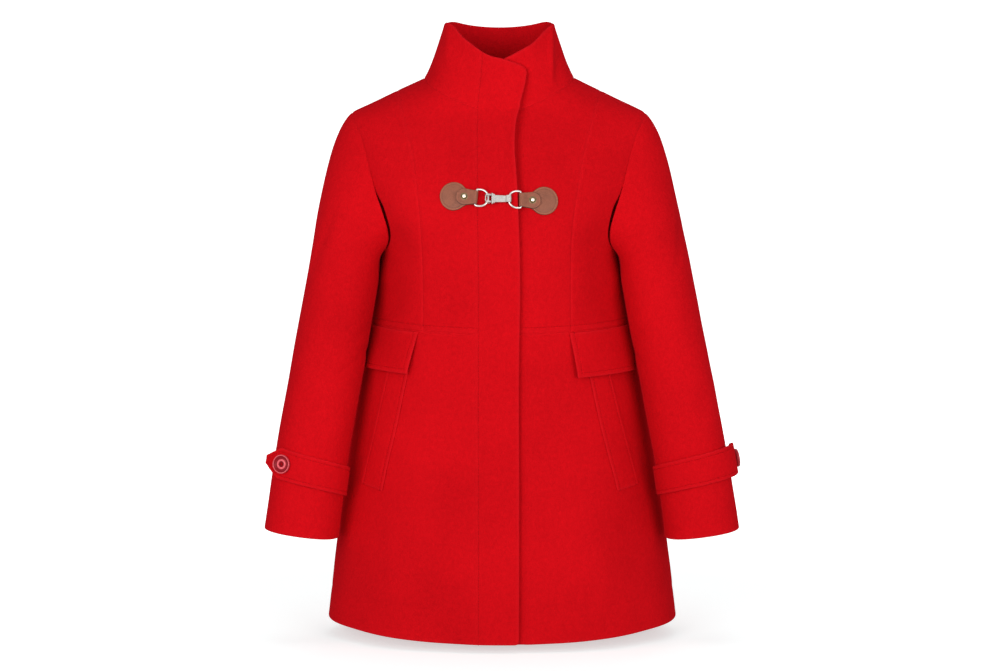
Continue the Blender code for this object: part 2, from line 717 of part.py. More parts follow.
def collar_top(start_x, end_angle, heights, count, steps=14):
    """Divide a stretch of the front top edge into equal lengths."""
    angles = np.linspace(collar_angle(start_x), end_angle, steps)
    return spread([collar_top_point(angle, False, heights) for angle in angles], count, seated=False)


def collar_rise(base, top):
    """Raise the collar from its neck seam to its top edge, as a grid with the seam row first."""
    across = np.abs(base[:, 0:1]) / NECK_SIDE_X
    inward = unit(np.stack([-base[:, 0], -base[:, 1], np.zeros(len(base))], axis=1))
    upward = np.array([0.0, 0.0, 1.0])
    leave = unit(upward + COLLAR_FLARE * across ** 3 * inward)
    arrive = unit(upward + COLLAR_LEAN * across ** 2 * inward)
    first = base + COLLAR_BASE_HANDLE * leave
    second = top - COLLAR_TOP_HANDLE * arrive
    rows = []
    for part in np.linspace(0, 1, COLLAR_ROWS + 1):
        rest = 1 - part
        rows.append(rest ** 3 * base + 3 * rest ** 2 * part * first
                    + 3 * rest * part ** 2 * second + part ** 3 * top)
    return np.stack(rows)


def build_collar(curves, underlap):
    """Make the collar and return the shared seam normals of the neck."""
    right_heights, left_heights = edge_heights(COLLAR_TOP_RIGHT), edge_heights(COLLAR_TOP_LEFT)
    back_base = back_neck_curve()
    base = join(curves[RIGHT]["neck"], back_base, curves[LEFT]["neck"][::-1], underlap["neck"][::-1])
    band_top_x = float(BAND_SEAM_X(BAND_SEAM[-1].height))
    right_top = collar_top(band_top_x, -np.pi / 2, right_heights, NECK_COLUMNS)
    back_angles = np.linspace(-np.pi / 2, np.pi / 2, 25)
    back_top = spread([collar_top_point(angle, True, None) for angle in back_angles],
                      NECK_BACK_COLUMNS, seated=False)
    left_top = collar_top(LAP_SPLIT_X, np.pi / 2, left_heights, NECK_COLUMNS)[::-1]
    lap_top = collar_top(UNDERLAP_X, collar_angle(LAP_SPLIT_X), left_heights, UNDERLAP_COLUMNS)[::-1]
    top = join(right_top, back_top, left_top, lap_top)
    grid = collar_rise(base, top)
    outward = grid * np.array([1.0, 1.0, 0.0])
    normals = grid_normals(grid, outward)
    seam = unit(normals[0] + body_normals(grid[0]))
    normals[0] = seam
    right_front = np.zeros(grid.shape[:2])
    columns = NECK_COLUMNS + 1
    right_front[:, :columns] = lap_relief(grid[:, :columns])
    under = np.zeros(grid.shape[1])
    under[-UNDERLAP_COLUMNS - 1:] = COLLAR_TUCK
    under[-UNDERLAP_COLUMNS - 2] = COLLAR_TUCK / 2
    tuck = under * np.sqrt(np.linspace(0, 1, COLLAR_ROWS + 1))[:, None]
    grid = open_seams(grid, ("bottom", "left"))
    outer = grid + (right_front - tuck)[..., None] * normals
    add_wall("collar", outer, outer - CLOTH * normals, WOOL)
    back_end = columns + NECK_BACK_COLUMNS
    left_end = back_end + NECK_COLUMNS
    return {
        RIGHT: seam[:columns],
        "back": seam[columns - 1:back_end],
        LEFT: seam[back_end - 1:left_end][::-1],
        "underlap": seam[left_end - 1:][::-1],
    }


def back_neck_curve():
    """The neck seam of the back, from the wearer's right to the left."""
    left = [on_body(row.x, row.height, True) for row in NECK_BACK]
    right = [on_body(-row.x, row.height, True) for row in NECK_BACK[:-1]]
    return spread([on_ridge(-NECK_SIDE_X)] + right + left[::-1] + [on_ridge(NECK_SIDE_X)],
                  NECK_BACK_COLUMNS)


def underlap_curves():
    """The run of the wearer's left front that lies under the band."""
    rows_up = WAIST_TO_UNDERARM_ROWS + ARMHOLE_ROWS
    neck_low = float(neck_front_height(UNDERLAP_X))
    return {
        "neck": across_front(UNDERLAP_X, LAP_SPLIT_X, neck_front_height, UNDERLAP_COLUMNS),
        "waist": across_front(UNDERLAP_X, LAP_SPLIT_X, waist_height, UNDERLAP_COLUMNS),
        "hem": across_front(UNDERLAP_X, LAP_SPLIT_X, hem_height, UNDERLAP_COLUMNS),
        "bodice": upright(lambda height: UNDERLAP_X, float(waist_height(UNDERLAP_X)), neck_low, rows_up),
        "skirt": upright(lambda height: UNDERLAP_X, float(hem_height(UNDERLAP_X)),
                         float(waist_height(UNDERLAP_X)), SKIRT_ROWS),
    }


def build_fronts(curves, underlap, necks, armholes):
    """Make the centre fronts and the side fronts."""
    rows_up = WAIST_TO_UNDERARM_ROWS + ARMHOLE_ROWS
    names = {RIGHT: ("front_right", "side_front_right"), LEFT: ("front_left", "side_front_left")}
    for side, (centre_name, side_name) in names.items():
        lines = curves[side]
        bottom = lines["waist_in"]
        top = join(lines["neck"], lines["shoulder_in"])
        inner_edge = upright(BAND_SEAM_X, bottom[0][2], lines["neck"][0][2], rows_up)
        seam_normals = necks[side]
        sides = ("bottom", "top", "left", "right")
        if side == LEFT:
            bottom = join(underlap["waist"], bottom)
            top = join(underlap["neck"], top)
            inner_edge = underlap["bodice"]
            seam_normals = join(necks["underlap"], necks[LEFT])
            sides = ("bottom", "top", "right")
        grid = body_patch(bottom, top, inner_edge, lines["princess"])
        opened = open_seams(grid, sides)
        normals = body_normals(opened)
        normals[-1, :len(seam_normals)] = seam_normals
        lift = lap_relief(grid) if side == RIGHT else None
        add_panel(centre_name, grid, sides, normals, lift)
        outer_edge = join(lines["side_bodice"], lines["armhole_front"][::-1])
        grid = body_patch(lines["waist_out"], lines["shoulder_out"], lines["princess"], outer_edge)
        sides = ("bottom", "top", "left", "right")
        normals = body_normals(open_seams(grid, sides))
        normals[WAIST_TO_UNDERARM_ROWS:, -1] = armholes[side]["front"][::-1]
        add_panel(side_name, grid, sides, normals)


def back_level(height_of, right_end, left_end, count):
    """A level run of points across the back."""
    shares = [-share for share in LEVEL_SHARES[:0:-1]] + list(LEVEL_SHARES)
    inner = [level_point(left_end[0] * share, height_of, True) for share in shares]
    return spread([right_end] + inner + [left_end], count)


def build_backs(curves, necks, armholes):
    """Make the back bodice and the back skirt."""
    right, left = curves[RIGHT], curves[LEFT]
    columns = 2 * (INNER_SHOULDER_COLUMNS + SIDE_COLUMNS) + NECK_BACK_COLUMNS
    waist = back_level(waist_height, right["waist_out"][-1], left["waist_out"][-1], columns)
    hem = back_level(hem_height, right["hem"][-1], left["hem"][-1], columns)
    top = join(right["shoulder_out"][::-1], right["shoulder_in"][::-1], back_neck_curve(),
               left["shoulder_in"], left["shoulder_out"])
    right_edge = join(right["side_bodice"], right["armhole_back"][::-1])
    left_edge = join(left["side_bodice"], left["armhole_back"][::-1])
    grid = body_patch(waist, top, right_edge, left_edge)
    sides = ("bottom", "top", "left", "right")
    normals = body_normals(open_seams(grid, sides))
    neck_start = SIDE_COLUMNS + INNER_SHOULDER_COLUMNS
    normals[-1, neck_start:neck_start + NECK_BACK_COLUMNS + 1] = necks["back"]
    normals[WAIST_TO_UNDERARM_ROWS:, 0] = armholes[RIGHT]["back"][::-1]
    normals[WAIST_TO_UNDERARM_ROWS:, -1] = armholes[LEFT]["back"][::-1]
    add_panel("back_bodice", grid, sides, normals)
    grid = body_patch(hem, waist, right["side_skirt"], left["side_skirt"])
    add_panel("skirt_back", grid, ("top", "left", "right"))


def build_front_skirts(curves, underlap):
    """Make the two front skirts."""
    for side, name in ((RIGHT, "skirt_front_right"), (LEFT, "skirt_front_left")):
        lines = curves[side]
        top = join(lines["waist_in"], lines["waist_out"])
        bottom = lines["hem"]
        inner_edge = upright(BAND_SEAM_X, bottom[0][2], top[0][2], SKIRT_ROWS)
        sides = ("top", "left", "right")
        if side == LEFT:
            top = join(underlap["waist"], top)
            bottom = join(underlap["hem"], bottom)
            inner_edge = underlap["skirt"]
            sides = ("top", "right")
        grid = body_patch(bottom, top, inner_edge, lines["side_skirt"])
        lift = lap_relief(grid) if side == RIGHT else None
        add_panel(name, grid, sides, lift=lift)


def build_band():
    """Make the lapped band that runs from the hem to the top of the collar."""
    rows_up = WAIST_TO_UNDERARM_ROWS + ARMHOLE_ROWS
    levels = []
    for height_of, start in ((hem_height, HEM_HEIGHT), (waist_height, WAIST_HEIGHT),
                             (neck_front_height, NECK_FRONT[0].height)):
        levels.append(across_front(float(BAND_SEAM_X(start)), float(LAP_EDGE_X(start)),
                                   height_of, BAND_COLUMNS))
    parts = []
    for low, high, count in ((levels[0], levels[1], SKIRT_ROWS), (levels[1], levels[2], rows_up)):
        seam = upright(BAND_SEAM_X, low[0][2], high[0][2], count)
        edge = upright(LAP_EDGE_X, low[-1][2], high[-1][2], count)
        seam[0], seam[-1], edge[0], edge[-1] = low[0], high[0], low[-1], high[-1]
        parts.append(body_patch(low, high, seam, edge))
    heights = edge_heights(COLLAR_TOP_RIGHT)
    top = collar_top(float(BAND_SEAM_X(BAND_SEAM[-1].height)), collar_angle(LAP_EDGE[-1].x),
                     heights, BAND_COLUMNS)
    stand = collar_rise(levels[2], top)
    outward = np.broadcast_to(np.array([0.0, -1.0, 0.0]), stand.shape)
    stand_normals = grid_normals(stand, outward)
    grid = np.concatenate([parts[0], parts[1][1:], stand[1:]])
    body_rows = len(parts[0]) + len(parts[1]) - 1
    normals = np.concatenate([body_normals(grid[:body_rows]), stand_normals[1:]])
    normals[body_rows - 1] = unit(stand_normals[0] + body_normals(levels[2]))
    grid = open_seams(grid, ("left",))
    relief = LAP_LIFT + fold_relief(grid) * (grid[..., 2] < NECK_FRONT_MIDDLE.height)
    outer = grid + relief[..., None] * normals
    add_wall("front_band", outer, outer - CLOTH * normals, WOOL)


SLEEVE_CENTRE = smooth_curve([row.height for row in SLEEVE_STATIONS],
                             [(row.centre_x, row.centre_y) for row in SLEEVE_STATIONS])
SLEEVE_HALF_WIDTH = column(SLEEVE_STATIONS, "half_width")
SLEEVE_HALF_DEPTH = column(SLEEVE_STATIONS, "half_depth")


def sleeve_centre(side, height):
    """A point of the sleeve's centre line."""
    x, y = SLEEVE_CENTRE(height)
    return np.array([side * x, y, height])


def sleeve_frame(side, height):
    """Centre and directions down, to the front and outwards of the sleeve at a height."""
    low = max(height - SLEEVE_FEELER, SLEEVE_STATIONS[0].height)
    high = min(height + SLEEVE_FEELER, SLEEVE_STATIONS[-1].height)
    down = unit(sleeve_centre(side, low) - sleeve_centre(side, high))
    front = np.array([0.0, -1.0, 0.0])
    front = unit(front - np.dot(front, down) * down)
    out = unit(np.cross(down, front))
    if out[0] * side < 0:
        out = -out
    return sleeve_centre(side, height), down, front, out


def sleeve_point(side, height, angle, stand=0.0):
    """A point of the sleeve by its angle, 0 outwards and 90 to the front, standing off its surface."""
    centre, down, front, out = sleeve_frame(side, height)
    turn = np.radians(angle)
    power = 2 / SLEEVE_FULLNESS
    wide = np.sign(np.cos(turn)) * np.abs(np.cos(turn)) ** power
    deep = np.sign(np.sin(turn)) * np.abs(np.sin(turn)) ** power
    half_width = float(SLEEVE_HALF_WIDTH(height)) + stand
    half_depth = float(SLEEVE_HALF_DEPTH(height)) + stand
    drop = (SLEEVE_STATIONS[1].height - height) / (SLEEVE_STATIONS[1].height - SLEEVE_STATIONS[0].height)
    dip = CUFF_DIP * float(ease(drop)) * max(deep, 0.0)
    return centre + half_width * wide * out + half_depth * deep * front + dip * down


def blend_handles(angle):
    """The direction and lengths with which the cap leaves the armhole at an angle."""
    turn = np.radians(angle)
    shares = (max(np.cos(turn), 0) ** 2, max(np.sin(turn), 0) ** 2,
              max(-np.cos(turn), 0) ** 2, max(-np.sin(turn), 0) ** 2)
    total = np.zeros(len(CAP_TOP))
    for share, handle in zip(shares, (CAP_TOP, CAP_FRONT, CAP_BOTTOM, CAP_BACK)):
        total += share * np.array(handle)
    return CapHandle(*total)


def build_sleeve(side, name, lines):
    """Make one sleeve and return the normals that it shares with the armhole."""
    armhole = join(lines["armhole_front"], lines["armhole_back"][::-1])[:-1]
    count = len(armhole)
    angles = np.arange(count) * 360.0 / count
    shared = ease((np.cos(np.radians(angles)) - CAP_SHARED_FROM) / CAP_SHARED_RUN)[:, None]
    body = body_normals(armhole)
    bicep_height = SLEEVE_STATIONS[-1].height
    down = sleeve_frame(side, bicep_height)[1]
    rows = [[] for _ in range(CAP_ROWS + 1)]
    leaves = []
    for angle, start in zip(angles, armhole):
        handle = blend_handles(angle)
        leave = unit(np.array([side * handle.out, -handle.front, -handle.down]))
        leaves.append(leave)
        end = sleeve_point(side, bicep_height, angle)
        first = start + handle.length * leave
        second = end - handle.bicep_length * down
        for row, part in enumerate(np.linspace(0, 1, CAP_ROWS + 1)):
            rest = 1 - part
            rows[row].append(rest ** 3 * start + 3 * rest ** 2 * part * first
                             + 3 * rest * part ** 2 * second + part ** 3 * end)
    for height in np.linspace(bicep_height, SLEEVE_STATIONS[0].height, SLEEVE_ROWS + 1)[1:]:
        rows.append([sleeve_point(side, height, angle) for angle in angles])
    grid = np.array(rows)
    middle = grid.mean(axis=1, keepdims=True)
    normals = grid_normals(grid, grid - middle, ring=True)
    own = normals[0].copy()
    normals[0] = unit(own + shared * body)
    grid[0] += SEAM_GAP / 2 * np.array(leaves) + SEAM_GAP * (1 - shared) * body
    add_wall(name, grid, grid - CLOTH * normals, WOOL, ring=True)
    joined = unit(body + shared * own)
    front = joined[:ARMHOLE_ROWS + 1]
    back = np.concatenate([joined[:1], joined[ARMHOLE_ROWS:][::-1]])
    return {"front": front, "back": back}


def surface_from_angle(side, angle, height):
    """The point of the front of the body at an angle from the middle, 90 at the side seam."""
    half = float(on_side(LEFT, height)[0])
    x = side * half * np.sin(np.radians(angle)) + float(front_shift(height)) * np.cos(np.radians(angle))
    return settle(on_body(x, height)[None])[0]


def laid_on(points, stand, lift=0.0):
    """Raise points of the body surface by the folds, the lap and a stand-off."""
    points = np.asarray(points, dtype=float)
    normals = body_normals(points)
    height = fold_relief(points) + lift + stand
    return points + height[..., None] * normals, normals


def build_flap(plan, name):
    """Make one pocket flap, hung from just under the waist seam."""
    side = plan.side
    half = float(on_side(LEFT, WAIST_HEIGHT)[0])
    parts = np.linspace(0, 1, FLAP_ROWS + 1)
    rows = []
    for part in parts:
        start = np.degrees(np.arcsin((plan.front_x + plan.slant * part) / half))
        columns = np.linspace(start, FLAP_END_ANGLE, FLAP_COLUMNS + 1)
        corner = np.clip(1 - (FLAP_END_ANGLE - columns) / FLAP_CORNER_ANGLE, 0, 1) ** 2
        row = []
        for angle, cut in zip(columns, corner):
            x = side * half * np.sin(np.radians(angle))
            top = float(waist_height(x)) - FLAP_TOP_GAP
            drop = plan.drop - FLAP_CORNER_CUT * cut
            row.append(surface_from_angle(side, angle, top - part * drop))
        rows.append(row)
    stand = FLAP_STAND_TOP + (FLAP_STAND_BOTTOM - FLAP_STAND_TOP) * ease(parts)[:, None]
    inner, normals = laid_on(rows, stand)
    add_wall(name, inner + FLAP_CLOTH * normals, inner, WOOL)


def build_welt(side, name):
    """Make one slanted welt, its top end under the flap."""
    front, back = column(WELT_FRONT_EDGE, "x"), column(WELT_BACK_EDGE, "x")
    front_heights = np.linspace(WELT_FRONT_EDGE[0].height, WELT_FRONT_EDGE[-1].height, WELT_ROWS + 1)
    back_heights = np.linspace(WELT_BACK_EDGE[0].height, WELT_BACK_EDGE[-1].height, WELT_ROWS + 1)
    rows = []
    for front_height, back_height in zip(front_heights, back_heights):
        row = []
        for share in np.linspace(0, 1, WELT_COLUMNS + 1):
            height = front_height + share * (back_height - front_height)
            x = float(front(front_height)) * (1 - share) + float(back(back_height)) * share
            row.append(on_body(side * x + WELT_SHIFT, height))
        rows.append(row)
    inner, normals = laid_on(rows, WELT_STAND)
    add_wall(name, inner + WELT_CLOTH * normals, inner, WOOL)


def strap_height(plan, angle):
    """Height of the middle of a cuff strap at an angle round the sleeve."""
    share = 1 - abs(angle) / 180.0
    rise = plan.inner_rise + (plan.outer_rise - plan.inner_rise) * share
    return SLEEVE_STATIONS[0].height + rise


def strap_point(plan, angle, rise, stand):
    """A point over the inner side of a cuff strap, which lifts off the sleeve towards its tip."""
    lifted = ease((plan.lift_angle - angle) / (plan.lift_angle - min(plan.tip_angle, 0.0)))
    height = strap_height(plan, angle) + rise
    return sleeve_point(plan.side, height, angle, STRAP_STAND + plan.lift * float(lifted) + stand)


def build_strap(plan, name):
    """Make one cuff strap with a pointed end."""
    angles = np.linspace(plan.start_angle, plan.tip_angle, STRAP_COLUMNS + 1)
    left = np.clip((angles - plan.tip_angle) / STRAP_POINT_ANGLE, 0, 1)
    widths = STRAP_HALF_WIDTH * (STRAP_TIP_SHARE + (1 - STRAP_TIP_SHARE) * left)
    inner, outer = [], []
    for share in np.linspace(-1, 1, STRAP_ROWS + 1):
        low, high = [], []
        for angle, width in zip(angles, widths):
            low.append(strap_point(plan, angle, share * width, 0.0))
            high.append(strap_point(plan, angle, share * width, STRAP_CLOTH))
        inner.append(low)
        outer.append(high)
    add_wall(name, np.array(outer), np.array(inner), WOOL)


def turned(name, profile, centre, axis, sides, finish):
    """Turn a profile of radius and height pairs round an axis, closed at both ends on the axis."""
    axis = unit(np.asarray(axis, dtype=float))
    first = unit(np.cross(axis, np.array([0.0, 0.0, 1.0])))
    second = np.cross(axis, first)
    points = [centre + profile[0][1] * axis]
    for radius, height in profile[1:-1]:
        for turn in np.arange(sides) * 2 * np.pi / sides:
            spoke = np.cos(turn) * first + np.sin(turn) * second
            points.append(centre + radius * spoke + height * axis)
    points.append(centre + profile[-1][1] * axis)
    rings = len(profile) - 2
    last = len(points) - 1
    faces = []
    for place in range(sides):
        following = (place + 1) % sides
        faces.append((0, 1 + following, 1 + place))
        top = 1 + (rings - 1) * sides
        faces.append((last, top + place, top + following))
        for ring in range(rings - 1):
            low = 1 + ring * sides
            faces.append((low + place, low + following, low + sides + following, low + sides + place))
    return add_solid(name, points, faces, finish)


def build_button(plan, name):
    """Make one button, flat on its strap."""
    height = strap_height(plan, plan.button_angle)
    middle = strap_point(plan, plan.button_angle, 0.0, STRAP_CLOTH)
    spots = [strap_point(plan, plan.button_angle + turn, rise, STRAP_CLOTH)
             for turn, rise in BUTTON_FEELERS]
    axis = unit(np.cross(spots[0] - spots[1], spots[2] - spots[3]))
    if np.dot(axis, middle - sleeve_centre(plan.side, height)) < 0:
        axis = -axis
    seat = middle + max(float(np.dot(spot - middle, axis)) for spot in spots + [middle]) * axis
    profile = (
        (0.0, 0.0), (BUTTON_RADIUS - BUTTON_BEVEL, 0.0), (BUTTON_RADIUS, BUTTON_BEVEL),
        (BUTTON_RADIUS, BUTTON_HEIGHT - BUTTON_BEVEL), (BUTTON_RADIUS - BUTTON_BEVEL, BUTTON_HEIGHT),
        (BUTTON_RIM, BUTTON_HEIGHT), (BUTTON_DISH, BUTTON_DISH_HEIGHT), (0.0, BUTTON_DISH_HEIGHT),
    )
    return turned(name, profile, seat + SEAM_GAP * axis, axis, BUTTON_SIDES, BUTTON_FINISH)


def clasp_directions(side):
    """Unit directions in x and height from a patch towards the hook, and across that, upwards."""
    tilt = np.radians(CLASPS[side].tilt)
    return np.array([-side * np.cos(tilt), np.sin(tilt)]), np.array([side * np.sin(tilt), np.cos(tilt)])


def clasp_spot(side, reach, across, stand):
    """A point over the cloth by its reach from the patch centre towards the middle."""
    plan = CLASPS[side]
    along, upward = clasp_directions(side)
    flat = np.array([plan.x, plan.height]) + reach * along + across * upward
    point = on_body(flat[0], flat[1])
    lift = float(lap_relief(point)) if side == RIGHT else 0.0
    raised, normal = laid_on(point[None], stand, lift)
    return raised[0], normal[0]


def patch_outline():
    """Reach and half height pairs round the leather patch, a disc with a tapering neck."""
    outline = []
    for turn in np.arange(PATCH_SIDES) * 2 * np.pi / PATCH_SIDES:
        reach, across = PATCH_RADIUS * np.cos(turn), PATCH_RADIUS * np.sin(turn)
        if np.cos(turn) > PATCH_SHOULDER:
            share = (np.cos(turn) - PATCH_SHOULDER) / (1 - PATCH_SHOULDER)
            reach = reach + share * (PATCH_REACH - PATCH_RADIUS)
            across = np.sign(across) * (abs(across) * (1 - share) + min(abs(across), PATCH_NECK) * share)
        outline.append((reach, across))
    return outline


def build_patch(side, name):
    """Make one leather patch, laid on the cloth."""
    outline = patch_outline()
    count = len(outline)
    levels = (LEATHER_STAND, LEATHER_STAND + LEATHER)
    points, faces = [], []
    for stand in levels:
        points.append(clasp_spot(side, 0.0, 0.0, stand)[0])
        for share in PATCH_RINGS:
            for reach, across in outline:
                points.append(clasp_spot(side, share * reach, share * across, stand)[0])
    size = 1 + len(PATCH_RINGS) * count
    for level, start in enumerate((0, size)):
        for place in range(count):
            following = (place + 1) % count
            fan = [start, start + 1 + place, start + 1 + following]
            faces.append(tuple(fan if level else fan[::-1]))
            for ring in range(len(PATCH_RINGS) - 1):
                low = start + 1 + ring * count
                quad = [low + place, low + count + place, low + count + following, low + following]
                faces.append(tuple(quad if level else quad[::-1]))
    rim = 1 + (len(PATCH_RINGS) - 1) * count
    for place in range(count):
        following = (place + 1) % count
        faces.append((rim + place, rim + following, size + rim + following, size + rim + place))
    add_solid(name, points, faces, LEATHER_FINISH)


def tab_frame(side):
    """Middle of the ring's bar, and directions to the hook, upwards and away from the cloth."""
    bar_reach = CLASPS[side].bar_reach
    middle, normal = clasp_spot(side, bar_reach - 0.5 * TAB_TAIL, 0.0, 0.0)
    along, upward = clasp_directions(side)
    ahead = np.array([along[0], 0.0, along[1]])
    ahead = unit(ahead - np.dot(ahead, normal) * normal)
    across = np.array([upward[0], 0.0, upward[1]])
    across = unit(across - np.dot(across, normal) * normal - np.dot(across, ahead) * ahead)
    loop = WIRE_RADIUS + BAR_CLEARANCE + TAB_LAYER
    seat = LEATHER_STAND + LEATHER
    reaches = np.linspace(bar_reach - TAB_TAIL, bar_reach + loop, TAB_FEELERS)
    below = [clasp_spot(side, reach, height, seat)[0]
             for reach in reaches for height in (-TAB_HALF_WIDTH, 0.0, TAB_HALF_WIDTH)]
    rise = max(float(np.dot(spot - middle, normal)) for spot in below)
    bar = middle + 0.5 * TAB_TAIL * ahead + (rise + TAB_STAND + loop) * normal
    return bar, ahead, across, normal


def extrude_outline(name, outline, holes, frame, half_width, finish):
    """Push a flat outline with holes both ways along the across direction."""
    origin, ahead, across, normal = frame
    loops = [outline] + holes
    flat = [Vector((a, n, 0.0)) for loop in loops for a, n in loop]
    triangles = tessellate_polygon([[Vector((a, n, 0.0)) for a, n in loop] for loop in loops])
    points = []
    for shift in (-half_width, half_width):
        points += [origin + spot.x * ahead + spot.y * normal + shift * across for spot in flat]
    size = len(flat)

    def wound(triangle):
        a, b, c = (flat[index] for index in triangle)
        turn = (b.x - a.x) * (c.y - a.y) - (b.y - a.y) * (c.x - a.x)
        return triangle if turn > 0 else tuple(reversed(triangle))

    faces = []
    for triangle in triangles:
        a, b, c = wound(triangle)
        faces.append((a, b, c))
        faces.append((size + c, size + b, size + a))
    start = 0
    for number, loop in enumerate(loops):
        area = sum(loop[i - 1][0] * loop[i][1] - loop[i][0] * loop[i - 1][1] for i in range(len(loop)))
        forward = (area > 0) == (number == 0)
        for place in range(len(loop)):
            a, b = start + place, start + (place + 1) % len(loop)
            faces.append((b, a, size + a, size + b) if forward else (a, b, size + b, size + a))
        start += len(loop)
    return add_solid(name, points, faces, finish)


def arc(centre, radius, start, end, count):
    """Points of an arc in degrees."""
    turns = np.radians(np.linspace(start, end, count))
    return [(centre[0] + radius * np.cos(t), centre[1] + radius * np.sin(t)) for t in turns]


def build_tab(side, name):
    """Make one folded leather tab, wrapped round the bar of its ring."""
    hole = WIRE_RADIUS + BAR_CLEARANCE
    loop = hole + TAB_LAYER
    low = -loop
    upper = low + 2 * TAB_LAYER + TAB_FOLD_GAP
    mid, far = -loop - TAB_PRESS_MID, -loop - TAB_PRESS_FAR
    outline = [(-TAB_TAIL, low)]
    outline += arc((0.0, 0.0), loop, -90, 90, TAB_CURVE_POINTS)
    outline += [(-TAB_PRESS_NEAR, loop - TAB_FOLD_GAP), (mid, upper + TAB_PRESS_RISE), (far, upper)]
    outline += [(-TAB_TAIL, upper), (-TAB_TAIL, upper - TAB_LAYER), (far, upper - TAB_LAYER)]
    outline += [(mid, upper + TAB_PRESS_RISE - TAB_LAYER), (-TAB_PRESS_NEAR, hole - TAB_FOLD_GAP)]
    outline += arc((0.0, 0.0), hole, 90, -90, TAB_CURVE_POINTS)
    outline += [(-TAB_PRESS_NEAR, low + TAB_LAYER), (-TAB_TAIL, low + TAB_LAYER)]
    extrude_outline(name, outline, [], tab_frame(side), TAB_HALF_WIDTH, LEATHER_FINISH)
    return upper


def ring_path():
    """Reach and height pairs round a D ring, its bar at reach zero."""
    path = []
    for turn in np.arange(RING_POINTS) * 2 * np.pi / RING_POINTS:
        if np.cos(turn) >= 0:
            path.append((RING_CORNER + (RING_DEPTH - RING_CORNER) * np.cos(turn),
                         RING_HALF_HEIGHT * np.sin(turn)))
        else:
            path.append((RING_CORNER * (1 - abs(np.cos(turn)) ** RING_SQUARENESS),
                         RING_HALF_HEIGHT * np.sign(np.sin(turn)) * abs(np.sin(turn)) ** RING_SQUARENESS))
    return path


def tube_loop(name, path, normal, radius, finish):
    """Sweep a round wire along a closed path that lies in one plane."""
    path = np.asarray(path, dtype=float)
    heading = unit(np.roll(path, -1, axis=0) - np.roll(path, 1, axis=0))
    outward = unit(np.cross(heading, normal))
    points = []
    for spot, out in zip(path, outward):
        for turn in np.arange(WIRE_SIDES) * 2 * np.pi / WIRE_SIDES:
            points.append(spot + radius * (np.cos(turn) * out + np.sin(turn) * normal))
    faces = []
    count = len(path)
    for place in range(count):
        ahead = (place + 1) % count
        for spoke in range(WIRE_SIDES):
            beside = (spoke + 1) % WIRE_SIDES
            faces.append((place * WIRE_SIDES + spoke, place * WIRE_SIDES + beside,
                          ahead * WIRE_SIDES + beside, ahead * WIRE_SIDES + spoke))
    return add_solid(name, points, faces, finish)


def hook_seats():
    """Where the hook's eyes sit: the wire middles at the two rings' far ends."""
    right_bar, right_ahead, _, right_normal = tab_frame(RIGHT)
    left_bar, left_ahead, _, left_normal = tab_frame(LEFT)
    right_end = right_bar + RING_DEPTH * right_ahead
    rise = np.dot(right_end - left_bar, left_normal)
    flat = np.sqrt(RING_DEPTH ** 2 - rise ** 2)
    left_end = left_bar + flat * left_ahead + rise * left_normal
    return right_end, left_end


def build_ring(side, name, end):
    """Make one D ring, its bar in the tab and its far end at the given point."""
    bar, _, across, _ = tab_frame(side)
    ahead = unit(end - bar)
    normal = unit(np.cross(ahead, across))
    path = [bar + reach * ahead + height * across for reach, height in ring_path()]
    tube_loop(name, path, normal, WIRE_RADIUS, STEEL)


def build_hook(right_end, left_end):
    """Make the hook that joins the two rings, with an eye round each."""
    along = unit(left_end - right_end)
    across = tab_frame(RIGHT)[2]
    across = unit(across - np.dot(across, along) * along)
    normal = unit(np.cross(along, across))
    if normal[1] > 0:
        normal = -normal
    span = float(np.linalg.norm(left_end - right_end))
    outer = HOOK_EYE + HOOK_EYE_WALL
    lean = np.degrees(np.arcsin(HOOK_BAR_HALF / outer))
    outline = arc((0.0, 0.0), outer, lean, 360 - lean, HOOK_SIDES + 1)
    outline += arc((span, 0.0), outer, 180 + lean, 540 - lean, HOOK_SIDES + 1)
    holes = [arc((middle, 0.0), HOOK_EYE, 0, 360, HOOK_SIDES + 1)[:-1] for middle in (0.0, span)]
    extrude_outline("snap_hook", outline, holes, (right_end, along, across, normal), HOOK_HALF_WIDTH, STEEL)


def build_rivet(side, name, top):
    """Make one domed rivet on its tab."""
    bar, ahead, _, normal = tab_frame(side)
    seat = bar - RIVET_PLACE * TAB_TAIL * ahead + (top + SEAM_GAP) * normal
    profile = [(radius * RIVET_RADIUS, height * RIVET_HEIGHT) for radius, height in RIVET_FORM]
    turned(name, profile, seat, normal, RIVET_SIDES, BRASS)


def build_clasp():
    """Make the leather and metal clasp across the front."""
    right_end, left_end = hook_seats()
    for side, word, end in ((RIGHT, "right", right_end), (LEFT, "left", left_end)):
        build_patch(side, "clasp_patch_" + word)
        top = build_tab(side, "clasp_tab_" + word)
        build_rivet(side, "clasp_rivet_" + word, top)
        build_ring(side, "d_ring_" + word, end)
    build_hook(right_end, left_end)


def clear_scene():
    """Remove the objects of the open scene."""
    for item in list(bpy.data.objects):
        bpy.data.objects.remove(item, do_unlink=True)


